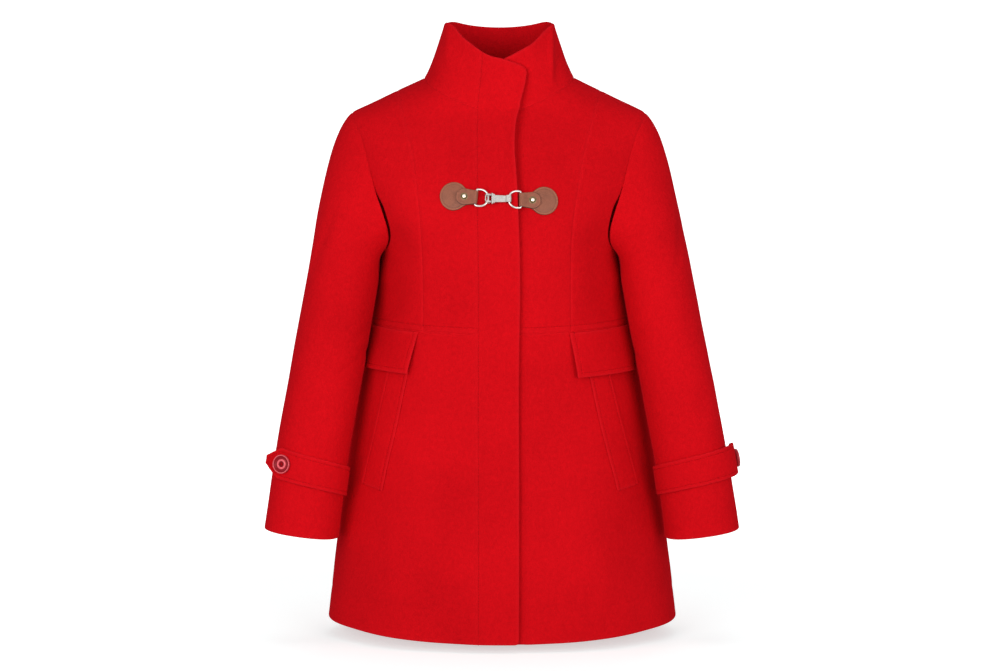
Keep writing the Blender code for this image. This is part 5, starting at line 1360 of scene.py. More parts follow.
def waviness(points):
    """Gentle waves of the cloth."""
    total = np.zeros(points.shape[:-1])
    for wave in WAVES:
        total += wave.size * np.sin(2 * np.pi * (points @ np.array(wave.direction)) / wave.length)
    return total


def body_relief(points):
    """How far folds, creases and waves push the body cloth out or in."""
    around = np.radians(body_angles(points)) * BODY_CREASE_RADIUS
    total = fold_relief(points) + crease_relief(around, points[..., 2], BODY_CREASES_ROUND)
    above_hem = points[..., 2] - hem_height(points[..., 0]) - HEM_TURN
    turn_up = HEM_TURN_DIP * np.exp(-(above_hem / HEM_TURN_WIDTH) ** 2)
    return total + waviness(points) - turn_up


def no_relief(points):
    """Cloth without folds of its own."""
    return np.zeros(points.shape[:-1])


def carry(grid, normals, lift=0.0):
    """Put places, directions and lift of a grid together."""
    lifts = np.broadcast_to(np.asarray(lift, dtype=float), grid.shape[:2])
    return np.concatenate([grid, np.broadcast_to(normals, grid.shape), lifts[..., None]], axis=-1)


def settle_piece(piece, material, slot, *nodes):
    """Give a piece its material and body, and let it stand for its solids. The slot is not used."""
    piece.data.materials.append(material)
    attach(piece, BODY)
    if nodes:
        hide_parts(*nodes)
    return piece


def outward(points, faces):
    """The faces turned so that the closed form they make points outwards."""
    volume = 0.0
    for face in faces:
        first = points[face[0]]
        for second, third in zip(face[1:-1], face[2:]):
            volume += np.dot(first, np.cross(points[second], points[third]))
    return faces if volume > 0 else [tuple(reversed(face)) for face in faces]


def place_object(name, data):
    """Put a new object with this data into the scene."""
    placed = bpy.data.objects.new(name, data)
    bpy.context.scene.collection.objects.link(placed)
    return placed


def make_object(name, points, faces, smooth_angle=SHARP_ANGLE):
    """Make a mesh object, leant to the side as the whole coat is."""
    points = np.array(points, dtype=float).reshape(-1, 3)
    points[:, 0] += LEAN_X(points[:, 2])
    mesh = bpy.data.meshes.new(name)
    mesh.from_pydata(points.tolist(), [], [tuple(int(i) for i in face) for face in faces])
    mesh.shade_smooth()
    mesh.set_sharp_from_angle(angle=np.radians(smooth_angle))
    return place_object(name, mesh)


def mark_points(piece, name, values):
    """Give every point of a piece a value for its finish."""
    layer = piece.data.attributes.new(name, "FLOAT", "POINT")
    layer.data.foreach_set("value", values)


def wall_quads(rows, columns, ring):
    """Four-sided faces of a closed wall, its outer grid of points first and its inner grid second."""
    place = np.arange(rows * columns).reshape(rows, columns)
    if ring:
        place = np.concatenate([place, place[:, :1]], axis=1)
    inner = place + rows * columns
    quads = [
        np.stack([place[:-1, :-1], place[:-1, 1:], place[1:, 1:], place[1:, :-1]], axis=-1),
        np.stack([inner[1:, :-1], inner[1:, 1:], inner[:-1, 1:], inner[:-1, :-1]], axis=-1),
        np.stack([place[0, 1:], place[0, :-1], inner[0, :-1], inner[0, 1:]], axis=-1),
        np.stack([place[-1, :-1], place[-1, 1:], inner[-1, 1:], inner[-1, :-1]], axis=-1),
    ]
    if not ring:
        quads.append(np.stack([place[:-1, 0], place[1:, 0], inner[1:, 0], inner[:-1, 0]], axis=-1))
        quads.append(np.stack([place[1:, -1], place[:-1, -1], inner[:-1, -1], inner[1:, -1]], axis=-1))
    return np.concatenate([quad.reshape(-1, 4) for quad in quads])


def wall_object(name, outer, inner, ring=False):
    """Make a closed wall between an outer and an inner grid of points."""
    points = np.concatenate([outer.reshape(-1, 3), inner.reshape(-1, 3)])
    faces = wall_quads(outer.shape[0], outer.shape[1], ring)
    a, b, c, d = (points[faces[:, corner]] for corner in range(4))
    volume = np.sum(a * np.cross(b, c)) + np.sum(a * np.cross(c, d))
    if volume < 0:
        faces = faces[:, ::-1]
    return make_object(name, points, faces)


def round_corner(points, end, radius):
    """Round the corner between one end row and the last column of a grid."""
    aside = np.clip(1 - edge_distance(points, "right") / radius, 0, 1)
    above = np.clip(1 - edge_distance(points, end) / radius, 0, 1)
    out = radius * aside * (np.sqrt(1 - above ** 2 / 2) - 1)
    up = radius * above * (np.sqrt(1 - aside ** 2 / 2) - 1)
    across = unit(np.gradient(points, axis=1))
    along = unit(np.gradient(points, axis=0)) * (1 if end == "top" else -1)
    return points + out[..., None] * across + up[..., None] * along


def edges_of(bottom=PLAIN_SEAM, top=PLAIN_SEAM, left=PLAIN_SEAM, right=PLAIN_SEAM):
    """The edges of a piece, which are plain seams unless another kind is given."""
    return {"bottom": bottom, "top": top, "left": left, "right": right}


def sew(node, data, edges, relief=body_relief, cloth=CLOTH, spacing=CLOTH_SPACING, ring=False,
        corners=None):
    """Make one cloth piece that stands for its solid, from a grid of places, directions and lifts."""
    data = redivide(data, edge_steps(edges.get("bottom")), edge_steps(edges.get("top")), spacing)
    if not ring:
        sideways = np.swapaxes(data, 0, 1)
        steps = edge_steps(edges.get("left")), edge_steps(edges.get("right"))
        data = np.swapaxes(redivide(sideways, *steps, spacing), 0, 1)
    points, normals, lift = data[..., :3], unit(data[..., 3:6]), data[..., 6]
    dip, rise, painted_highlight = edge_forms(points, edges, cloth)
    height = relief(points) + lift
    for end, radius in (corners or {}).items():
        points = round_corner(points, end, radius)
    outer = points + (height - dip)[..., None] * normals
    inner = points + (height - cloth + rise)[..., None] * normals
    piece = wall_object("wool_" + node, outer, inner, ring)
    # The painted highlight along rolled edges, seams and stitch puffs, on the outer side only.
    mark_points(piece, "painted_highlight", np.concatenate([painted_highlight.ravel(), np.zeros(painted_highlight.size)]))
    settle_piece(piece, wool(), "wool", node)
    SEWN[node] = (outer, normals, edges)
    return piece


@lru_cache(maxsize=None)
def coat_lines():
    """The seam curves of both sides and of the underlap."""
    return {RIGHT: side_curves(RIGHT), LEFT: side_curves(LEFT)}, underlap_curves()


@lru_cache(maxsize=None)
def collar_lines():
    """The collar's base grid with its directions, lifts and the neck's shared directions."""
    curves, underlap = coat_lines()
    right_heights, left_heights = edge_heights(COLLAR_TOP_RIGHT), edge_heights(COLLAR_TOP_LEFT)
    base = join(curves[RIGHT]["neck"], back_neck_curve(), curves[LEFT]["neck"][::-1],
                underlap["neck"][::-1])
    band_top_x = float(BAND_SEAM_X(BAND_SEAM[-1].height))
    right_top = collar_top(band_top_x, -np.pi / 2, right_heights, NECK_COLUMNS)
    back_angles = np.linspace(-np.pi / 2, np.pi / 2, COLLAR_BACK_SPOTS)
    back_top = spread([collar_top_point(angle, True, None) for angle in back_angles],
                      NECK_BACK_COLUMNS, seated=False)
    left_top = collar_top(LAP_SPLIT_X, np.pi / 2, left_heights, NECK_COLUMNS)[::-1]
    lap_top = collar_top(UNDERLAP_X, collar_angle(LAP_SPLIT_X), left_heights, UNDERLAP_COLUMNS)[::-1]
    grid = collar_rise(base, join(right_top, back_top, left_top, lap_top))
    normals = grid_normals(grid, grid * np.array([1.0, 1.0, 0.0]))
    seam = unit(normals[0] + body_normals(grid[0]))
    normals[0] = seam
    columns = NECK_COLUMNS + 1
    lift = np.zeros(grid.shape[:2])
    lift[:, :columns] = lap_relief(grid[:, :columns])
    under = np.zeros(grid.shape[1])
    under[-UNDERLAP_COLUMNS - 1:] = COLLAR_TUCK
    shares = np.linspace(0, 1, COLUMN_SCALE + 1)[1:-1]
    under[-UNDERLAP_COLUMNS - 1 - len(shares):-UNDERLAP_COLUMNS - 1] = COLLAR_TUCK * ease(shares)
    lift -= under * np.sqrt(np.linspace(0, 1, COLLAR_ROWS + 1))[:, None]
    back_end = columns + NECK_BACK_COLUMNS
    left_end = back_end + NECK_COLUMNS
    necks = {
        RIGHT: seam[:columns],
        "back": seam[columns - 1:back_end],
        LEFT: seam[back_end - 1:left_end][::-1],
        "underlap": seam[left_end - 1:][::-1],
    }
    return carry(open_seams(grid, ("bottom", "left")), normals, lift), necks


def collar_relief(points):
    """Soft ridges and hollows of the collar."""
    total = waviness(points) + lap_hollow(points) * (points[..., 0] > 0)
    front = ease((COLLAR_RIDGE_FRONT - points[..., 1]) / COLLAR_RIDGE_RUN)
    for ridge in COLLAR_RIDGES:
        rise = ease((points[..., 2] - ridge.low) / (ridge.high - ridge.low))
        total += ridge.depth * front * rise * np.exp(-((points[..., 0] - ridge.x) / ridge.width) ** 2)
    return total


@lru_cache(maxsize=None)
def sleeve_lines(side):
    """A sleeve's base grid with its directions, and the directions that it shares with the armhole."""
    lines = coat_lines()[0][side]
    armhole = join(lines["armhole_front"], lines["armhole_back"][::-1])[:-1]
    count = len(armhole)
    angles = np.arange(count) * 360.0 / count
    shared = ease((np.cos(np.radians(angles)) - CAP_SHARED_FROM) / CAP_SHARED_RUN)[:, None]
    body = body_normals(armhole)
    bicep_height = SLEEVE_STATIONS[-1].height
    down = sleeve_frame(side, bicep_height)[1]
    rows = [[] for _ in range(CAP_ROWS + 1)]
    leaves = []
    for angle, start in zip(angles, armhole):
        handle = blend_handles(angle)
        leave = unit(np.array([side * handle.out, -handle.front, -handle.down]))
        leaves.append(leave)
        end = sleeve_point(side, bicep_height, angle)
        first = start + handle.length * leave
        second = end - handle.bicep_length * down
        for row, part in zip(rows, np.linspace(0, 1, CAP_ROWS + 1)):
            row.append(bent_line(start, first, second, end, part))
    for height in np.linspace(bicep_height, SLEEVE_STATIONS[0].height, SLEEVE_ROWS + 1)[1:]:
        rows.append([sleeve_point(side, height, angle) for angle in angles])
    grid = np.array(rows)
    normals = grid_normals(grid, grid - grid.mean(axis=1, keepdims=True), ring=True)
    own = normals[0].copy()
    normals[0] = unit(own + shared * body)
    grid[0] += SEAM_GAP / 2 * np.array(leaves) + SEAM_GAP * (1 - shared) * body
    joined = unit(body + shared * own)
    armhole_normals = {
        "front": joined[:ARMHOLE_ROWS + 1],
        "back": np.concatenate([joined[:1], joined[ARMHOLE_ROWS:][::-1]]),
    }
    return carry(grid, normals), armhole_normals


def sleeve_relief(side):
    """A function of the creases of one sleeve."""
    creases = creases_round(SLEEVE_CREASES["right" if side == RIGHT else "left"], SLEEVE_CREASE_RADIUS)
    turn_span = 2 * np.pi * SLEEVE_CREASE_RADIUS

    def relief(points):
        """How far creases and waves push the cloth out or in."""
        centre = SLEEVE_CENTRE(points[..., 2])
        out = side * points[..., 0] - centre[..., 0]
        front = centre[..., 1] - points[..., 1]
        around = (np.arctan2(front, out) * SLEEVE_CREASE_RADIUS) % turn_span
        total = crease_relief(around, points[..., 2], creases)
        low, high = SLEEVE_CREASE_END
        return total * ease((points[..., 2] - low) / (high - low)) + waviness(points)

    return relief


def sew_body_piece(node, grid, sides, edges, normals=None, lift=0.0, relief=body_relief):
    """Sew one piece that lies on the body surface."""
    opened = open_seams(grid, sides)
    if normals is None:
        normals = body_normals(opened)
    return sew(node, carry(opened, normals, lift), edges, relief=relief)


def sew_fronts():
    """Sew the centre fronts and the side fronts."""
    curves, underlap = coat_lines()
    necks = collar_lines()[1]
    waist = Edge(SEAM, WAIST_STITCH)
    for side, word in SIDES:
        lines = curves[side]
        armholes = sleeve_lines(side)[1]
        bottom = lines["waist_in"]
        top = join(lines["neck"], lines["shoulder_in"])
        inner_edge = upright(BAND_SEAM_X, bottom[0][2], lines["neck"][0][2], BODICE_ROWS)
        seam_normals = necks[side]
        sides = ALL_SIDES
        edges = edges_of(bottom=waist)
        if side == LEFT:
            bottom = join(underlap["waist"], bottom)
            top = join(underlap["neck"], top)
            inner_edge = underlap["bodice"]
            seam_normals = join(necks["underlap"], necks[LEFT])
            sides = ("bottom", "top", "right")
            edges["left"] = PLAIN_EDGE
        grid = body_patch(bottom, top, inner_edge, lines["princess"])
        normals = body_normals(open_seams(grid, sides))
        normals[-1, :len(seam_normals)] = seam_normals
        lift = lap_relief(grid) if side == RIGHT else 0.0
        relief = left_relief if side == LEFT else body_relief
        sew_body_piece("front_" + word, grid, sides, edges, normals, lift, relief)
        outer_edge = join(lines["side_bodice"], lines["armhole_front"][::-1])
        grid = body_patch(lines["waist_out"], lines["shoulder_out"], lines["princess"], outer_edge)
        normals = body_normals(open_seams(grid, ALL_SIDES))
        normals[WAIST_TO_UNDERARM_ROWS:, -1] = armholes["front"][::-1]
        sew_body_piece("side_front_" + word, grid, ALL_SIDES, edges_of(bottom=waist), normals)


@lru_cache(maxsize=None)
def back_waist():
    """The waist seam of the back, from the wearer's right to the left."""
    right, left = coat_lines()[0][RIGHT], coat_lines()[0][LEFT]
    return back_level(waist_height, right["waist_out"][-1], left["waist_out"][-1], BACK_COLUMNS)


def sew_back():
    """Sew the back bodice."""
    curves = coat_lines()[0]
    right, left = curves[RIGHT], curves[LEFT]
    top = join(right["shoulder_out"][::-1], right["shoulder_in"][::-1], back_neck_curve(),
               left["shoulder_in"], left["shoulder_out"])
    right_edge = join(right["side_bodice"], right["armhole_back"][::-1])
    left_edge = join(left["side_bodice"], left["armhole_back"][::-1])
    grid = body_patch(back_waist(), top, right_edge, left_edge)
    normals = body_normals(open_seams(grid, ALL_SIDES))
    neck_start = SIDE_COLUMNS + INNER_SHOULDER_COLUMNS
    normals[-1, neck_start:neck_start + NECK_BACK_COLUMNS + 1] = collar_lines()[1]["back"]
    normals[WAIST_TO_UNDERARM_ROWS:, 0] = sleeve_lines(RIGHT)[1]["back"][::-1]
    normals[WAIST_TO_UNDERARM_ROWS:, -1] = sleeve_lines(LEFT)[1]["back"][::-1]
    edges = edges_of(bottom=Edge(SEAM, WAIST_STITCH))
    sew_body_piece("back_bodice", grid, ALL_SIDES, edges, normals)


def sew_skirts():
    """Sew the front skirts and the back skirt."""
    curves, underlap = coat_lines()
    for side, word in SIDES:
        lines = curves[side]
        top = join(lines["waist_in"], lines["waist_out"])
        bottom = lines["hem"]
        inner_edge = upright(BAND_SEAM_X, bottom[0][2], top[0][2], SKIRT_ROWS)
        sides = ("top", "left", "right")
        edges = edges_of(bottom=PLAIN_EDGE)
        if side == LEFT:
            top = join(underlap["waist"], top)
            bottom = join(underlap["hem"], bottom)
            inner_edge = underlap["skirt"]
            sides = ("top", "right")
            edges["left"] = PLAIN_EDGE
        grid = body_patch(bottom, top, inner_edge, lines["side_skirt"])
        lift = lap_relief(grid) if side == RIGHT else 0.0
        relief = left_relief if side == LEFT else body_relief
        sew_body_piece("skirt_front_" + word, grid, sides, edges, lift=lift, relief=relief)
    right, left = curves[RIGHT], curves[LEFT]
    hem = back_level(hem_height, right["hem"][-1], left["hem"][-1], BACK_COLUMNS)
    grid = body_patch(hem, back_waist(), right["side_skirt"], left["side_skirt"])
    sew_body_piece("skirt_back", grid, ("top", "left", "right"), edges_of(bottom=PLAIN_EDGE))


def lap_gape(points):
    """How far the band's free edge stands away from the front below it."""
    share = (points[..., 2] - LAP_GAPE_MIDDLE) / LAP_GAPE_RUN
    return LAP_GAPE * np.exp(-share ** 2) * ease((points[..., 0] - LAP_GAPE_FROM) / LAP_GAPE_WIDTH)


def lap_hollow(points):
    """The hollow that the cloth beside the lap edge sinks into."""
    height = points[..., 2]
    away = points[..., 0] - LAP_EDGE_X(height) - LAP_HOLLOW_PLACE
    fade = ease((LAP_HOLLOW_TOP[0] - height) / (LAP_HOLLOW_TOP[0] - LAP_HOLLOW_TOP[1]))
    front = points[..., 1] < 0
    return -LAP_HOLLOW * front * fade * np.exp(-(away / LAP_HOLLOW_WIDTH) ** 2)


def left_relief(points):
    """Folds and creases of the left front, and its hollow beside the lap edge."""
    return body_relief(points) + lap_hollow(points)


def band_relief(points):
    """Folds, creases and gape of the lapped band."""
    below = points[..., 2] < NECK_FRONT_MIDDLE.height
    return np.where(below, body_relief(points), waviness(points)) + lap_gape(points)


def sew_band():
    """Sew the lapped band that runs from the hem to the top of the collar."""
    levels = [
        across_front(float(BAND_SEAM_X(start)), float(LAP_EDGE_X(start)), height_of, BAND_COLUMNS)
        for height_of, start in ((hem_height, HEM_HEIGHT), (waist_height, WAIST_HEIGHT),
                                 (neck_front_height, NECK_FRONT[0].height))
    ]
    parts = []
    for low, high, count in zip(levels, levels[1:], (SKIRT_ROWS, BODICE_ROWS)):
        seam = upright(BAND_SEAM_X, low[0][2], high[0][2], count)
        edge = upright(LAP_EDGE_X, low[-1][2], high[-1][2], count)
        seam[0], seam[-1], edge[0], edge[-1] = low[0], high[0], low[-1], high[-1]
        parts.append(body_patch(low, high, seam, edge))
    heights = edge_heights(COLLAR_TOP_RIGHT)
    top = collar_top(float(BAND_SEAM_X(BAND_SEAM[-1].height)), collar_angle(LAP_EDGE[-1].x),
                     heights, BAND_COLUMNS)
    stand = collar_rise(levels[2], top)
    stand_normals = grid_normals(stand, np.broadcast_to(np.array([0.0, -1.0, 0.0]), stand.shape))
    grid = np.concatenate([parts[0], parts[1][1:], stand[1:]])
    body_rows = len(parts[0]) + len(parts[1]) - 1
    normals = np.concatenate([body_normals(grid[:body_rows]), stand_normals[1:]])
    normals[body_rows - 1] = unit(stand_normals[0] + body_normals(levels[2]))
    edges = edges_of(PLAIN_EDGE, PLAIN_EDGE, Edge(SEAM, BAND_STITCH), PLAIN_EDGE)
    data = carry(open_seams(grid, ("left",)), normals, LAP_LIFT)
    sew("front_band", data, edges, relief=band_relief,
        corners=BAND_CORNERS)


def lifted(grid):
    """The collar's grid with the top of its sides drawn up a little."""
    aside = np.abs(grid[..., 0])
    start = np.where(grid[..., 1] > 0, COLLAR_LIFT_START["back"], COLLAR_LIFT_START["front"])
    rise = ease((aside - start) / (COLLAR_LIFT_FULL - start))
    low, high = COLLAR_LIFT_END
    rise *= 1 - COLLAR_LIFT_LOSS * ease((aside - low) / (high - low))
    grid = grid.copy()
    grid[..., 2] += COLLAR_LIFT * rise * np.linspace(0, 1, len(grid))[:, None] ** 2
    return grid


def sew_collar():
    """Sew the standing collar."""
    edges = edges_of(top=PLAIN_EDGE, right=PLAIN_EDGE)
    sew("collar", lifted(collar_lines()[0]), edges, relief=collar_relief, cloth=COLLAR_CLOTH)


def sew_sleeves():
    """Sew the sleeves."""
    edges = {"bottom": PLAIN_SEAM, "top": PLAIN_EDGE}
    for side, word in SIDES:
        sew("sleeve_" + word, sleeve_lines(side)[0], edges, relief=sleeve_relief(side),
            spacing=SLEEVE_SPACING, ring=True)


def flap_grid(plan):
    """Points of a flap on the body, its top row first, and its angles round the body."""
    half = HALF_WIDTH(WAIST_HEIGHT)
    parts = np.linspace(0, 1, FLAP_ROWS + 1)[:, None]
    start = np.degrees(np.arcsin((plan.front_x + plan.slant * parts) / half))
    angles = start + (FLAP_END_ANGLE - start) * np.linspace(0, 1, FLAP_COLUMNS + 1)
    cut = np.clip(1 - (FLAP_END_ANGLE - angles) / FLAP_CORNER_ANGLE, 0, 1) ** 2
    top = waist_height(plan.side * half * np.sin(np.radians(angles))) - FLAP_TOP_GAP
    height = top - parts * (plan.drop - FLAP_CORNER_CUT * cut)
    across = np.sin(np.radians(angles)) * plan.side * HALF_WIDTH(height)
    x = across + front_shift(height) * np.cos(np.radians(angles))
    return settle(front_spots(x, height)), angles - start


def sew_flaps():
    """Sew the pocket flaps, hung from just under the waist seam."""
    parts = np.linspace(0, 1, FLAP_ROWS + 1)[:, None]
    for plan, word in zip(FLAPS, WORDS):
        grid, past_front = flap_grid(plan)
        left_over = past_front[:, -1:] - past_front
        flat = FLAP_STAND_TOP + (FLAP_STAND_BOTTOM - FLAP_STAND_TOP) * ease(parts)
        loose = FLAP_GAPE_BOTTOM * ease(parts) + FLAP_GAPE_FRONT * ease(2 * parts) * (
            1 - ease(past_front / FLAP_GAPE_RUN))
        lift = FLAP_CLOTH + flat + loose * ease(left_over / FLAP_GAPE_RUN)
        stitched = Edge(FREE, FLAP_STITCH)
        edges = edges_of(PLAIN_EDGE, stitched, stitched, PLAIN_EDGE)
        sew("pocket_flap_" + word, carry(grid, body_normals(grid), lift), edges,
            cloth=FLAP_CLOTH, spacing=SMALL_SPACING)


def sew_welts():
    """Sew the slanted pocket welts."""
    front, back = column(WELT_FRONT_EDGE, "x"), column(WELT_BACK_EDGE, "x")
    front_heights = np.linspace(WELT_FRONT_EDGE[0].height, WELT_FRONT_EDGE[-1].height, WELT_ROWS + 1)
    back_heights = np.linspace(WELT_BACK_EDGE[0].height, WELT_BACK_EDGE[-1].height, WELT_ROWS + 1)
    stitched = Edge(FREE, WELT_STITCH)
    edges = edges_of(PLAIN_EDGE, PLAIN_EDGE, stitched, stitched)
    for side, word in SIDES:
        rows = []
        for front_height, back_height in zip(front_heights, back_heights):
            row = []
            for share in np.linspace(0, 1, WELT_COLUMNS + 1):
                height = front_height + share * (back_height - front_height)
                x = float(front(front_height)) * (1 - share) + float(back(back_height)) * share
                row.append(on_body(side * x + WELT_SHIFT, height))
            rows.append(row)
        grid = np.array(rows)
        sew("pocket_welt_" + word, carry(grid, body_normals(grid), WELT_STAND + WELT_CLOTH), edges,
            cloth=WELT_CLOTH, spacing=SMALL_SPACING)


def sew_straps():
    """Sew the cuff straps with their pointed ends."""
    stitched = Edge(FREE, STRAP_STITCH)
    edges = edges_of(stitched, stitched, PLAIN_EDGE, stitched)
    for plan, word in zip(STRAPS, WORDS):
        angles = np.linspace(plan.start_angle, plan.tip_angle, STRAP_COLUMNS + 1)
        left = np.clip((angles - plan.tip_angle) / STRAP_POINT_ANGLE, 0, 1)
        widths = STRAP_HALF_WIDTH * (STRAP_TIP_SHARE + (1 - STRAP_TIP_SHARE) * left)
        low, high = (
            np.array([[strap_point(plan, angle, share * width, stand)
                       for angle, width in zip(angles, widths)]
                      for share in np.linspace(-1, 1, STRAP_ROWS + 1)])
            for stand in (0.0, STRAP_CLOTH))
        sew("cuff_strap_" + word, carry(low, unit(high - low), STRAP_CLOTH), edges, relief=no_relief,
            cloth=STRAP_CLOTH, spacing=SMALL_SPACING)


def square_to(axis):
    """Two directions at right angles to an axis and to each other."""
    first = unit(np.cross(axis, np.array([0.0, 0.0, 1.0])))
    return first, np.cross(axis, first)


def revolve(profile, centre, axis, turns):
    """Points and faces of a closed profile of radius and height pairs turned round an axis."""
    first, second = square_to(axis)
    points, faces = [], []
    count = len(profile)
    for turn in np.arange(turns) * 2 * np.pi / turns:
        spoke = np.cos(turn) * first + np.sin(turn) * second
        points += [centre + radius * spoke + height * axis for radius, height in profile]
    for place in range(turns):
        start, following = place * count, (place + 1) % turns * count
        for step in range(count):
            after = (step + 1) % count
            faces.append((start + step, following + step, following + after, start + after))
    return np.array(points), outward(points, faces)


def dome(profile, centre, axis, turns):
    """Points and faces of a profile that starts and ends on the axis, turned round it."""
    first, second = square_to(axis)
    points, faces = [centre + profile[0][1] * axis], []
    for radius, height in profile[1:-1]:
        for turn in np.arange(turns) * 2 * np.pi / turns:
            points.append(centre + radius * (np.cos(turn) * first + np.sin(turn) * second) + height * axis)
    points.append(centre + profile[-1][1] * axis)
    rings, last = len(profile) - 2, len(points) - 1
    for place in range(turns):
        following = (place + 1) % turns
        faces.append((0, 1 + following, 1 + place))
        top = 1 + (rings - 1) * turns
        faces.append((last, top + place, top + following))
        for ring in range(rings - 1):
            low = 1 + ring * turns
            faces.append((low + place, low + following, low + turns + following, low + turns + place))
    return np.array(points), outward(points, faces)


def slab(outline, holes, place, thickness):
    """Points and faces of a flat outline with holes, pushed from its plane by a thickness.

    The place holds an origin and three directions: the outline's two and the one it is pushed along.
    """
    origin, first, second, third = place
    loops = [outline] + holes
    flat = [spot for loop in loops for spot in loop]
    triangles = tessellate_polygon([[Vector((a, b, 0.0)) for a, b in loop] for loop in loops])
    points = []
    for shift in thickness:
        points += [origin + a * first + b * second + shift * third for a, b in flat]
    size = len(flat)
    faces = []
    for triangle in triangles:
        a, b, c = triangle
        turn = ((flat[b][0] - flat[a][0]) * (flat[c][1] - flat[a][1])
                - (flat[b][1] - flat[a][1]) * (flat[c][0] - flat[a][0]))
        if turn < 0:
            a, c = c, a
        faces.append((c, b, a))
        faces.append((size + a, size + b, size + c))
    start = 0
    for number, loop in enumerate(loops):
        area = sum(loop[i - 1][0] * loop[i][1] - loop[i][0] * loop[i - 1][1] for i in range(len(loop)))
        forward = (area > 0) == (number == 0)
        for spot in range(len(loop)):
            a, b = start + spot, start + (spot + 1) % len(loop)
            faces.append((a, b, size + b, size + a) if forward else (b, a, size + a, size + b))
        start += len(loop)
    return np.array(points), outward(points, faces)


def wire(path, normal, radius, sides, closed=True):
    """Points and faces of a round wire along a path that lies in one plane."""
    path = np.asarray(path, dtype=float)
    if closed:
        heading = unit(np.roll(path, -1, axis=0) - np.roll(path, 1, axis=0))
    else:
        heading = unit(np.gradient(path, axis=0))
    sideways = unit(np.cross(heading, normal))
    turns = np.arange(sides) * 2 * np.pi / sides
    points = []
    for spot, out in zip(path, sideways):
        points += [spot + radius * (np.cos(turn) * out + np.sin(turn) * normal) for turn in turns]
    count = len(path)
    faces = []
    for place in range(count if closed else count - 1):
        ahead = (place + 1) % count
        for spoke in range(sides):
            beside = (spoke + 1) % sides
            faces.append((place * sides + spoke, place * sides + beside,
                          ahead * sides + beside, ahead * sides + spoke))
    if not closed:
        faces.append(tuple(range(sides))[::-1])
        faces.append(tuple((count - 1) * sides + spoke for spoke in range(sides)))
    return np.array(points), outward(points, faces)


def together(*forms):
    """Join closed forms, each points and faces, into one list of points and one of faces."""
    points, faces, start = [], [], 0
    for form_points, form_faces in forms:
        points.append(form_points)
        faces += [tuple(start + corner for corner in face) for face in form_faces]
        start += len(form_points)
    return np.concatenate(points), faces


def circle(centre, radius, count, turn=0.0):
    """Points of a circle."""
    return arc(centre, radius, turn, turn + 360.0 * (count - 1) / count, count)


def button_seat(plan):
    """Middle of a cuff button's underside and the direction in which it faces."""
    height = strap_height(plan, plan.button_angle)
    middle = strap_point(plan, plan.button_angle, 0.0, STRAP_CLOTH)
    spots = [strap_point(plan, plan.button_angle + turn, rise, STRAP_CLOTH)
             for turn, rise in BUTTON_FEELERS]
    axis = unit(np.cross(spots[0] - spots[1], spots[2] - spots[3]))
    if np.dot(axis, middle - sleeve_centre(plan.side, height)) < 0:
        axis = -axis
    rise = max(float(np.dot(spot - middle, axis)) for spot in spots + [middle])
    return middle + (rise + SEAM_GAP) * axis, axis


def sew_buttons():
    """Make the cuff buttons, each with four holes and crossed thread."""
    for plan, word in zip(STRAPS, WORDS):
        seat, axis = button_seat(plan)
        first, second = square_to(axis)
        profile = [(radius, height) for radius, height, _ in BUTTON_PROFILE]
        ring = revolve(profile, seat, axis, BUTTON_TURNS)
        turns = np.radians(HOLE_TURN + 360.0 / HOLE_COUNT * np.arange(HOLE_COUNT))
        centres = [(HOLE_PLACE * np.cos(turn), HOLE_PLACE * np.sin(turn)) for turn in turns]
        holes = [circle(centre, HOLE_RADIUS, HOLE_SIDES) for centre in centres]
        plate = slab(circle((0.0, 0.0), BUTTON_PLATE, BUTTON_TURNS), holes,
                     (seat, first, second, axis), BUTTON_PLATE_HEIGHTS)
        points, faces = together(ring, plate)
        piece = make_object("button_" + word, points, faces)
        # Painted highlight on the button's ring tops and painted shade in its grooves.
        pale = np.zeros(len(points))
        pale[:len(ring[0])] = np.tile([row[2] for row in BUTTON_PROFILE], BUTTON_TURNS)
        mark_points(piece, "pale", pale)
        settle_piece(piece, button_plastic(), "button", "cuff_button_" + word)
        threads = []
        for start, end in ((0, 2), (1, 3)):
            ends = [seat + a * first + b * second for a, b in (centres[start], centres[end])]
            shares = np.linspace(0, 1, THREAD_STEPS)[:, None]
            bow = np.sin(np.pi * shares) ** 0.5 * (THREAD_STAND - THREAD_FOOT) + THREAD_FOOT
            path = ends[0] * (1 - shares) + ends[1] * shares + bow * axis
            flat = unit(np.cross(ends[1] - ends[0], axis))
            threads.append(wire(path, flat, THREAD_RADIUS, THREAD_SIDES, closed=False))
        thread_piece = make_object("button_thread_" + word, *together(*threads))
        settle_piece(thread_piece, thread_finish(), "wool")


def patch_top(share):
    """Height of the leather over its underside, by the share of the way to its rim."""
    groove = PATCH_GROOVE_DEPTH * np.exp(-((share - PATCH_GROOVE) / PATCH_GROOVE_WIDTH) ** 2)
    rim = round_off(1 - share, PATCH_ROUND, PATCH_RIM_DROP * LEATHER)
    return LEATHER + PATCH_DOME * (1 - share ** 2) - groove - rim


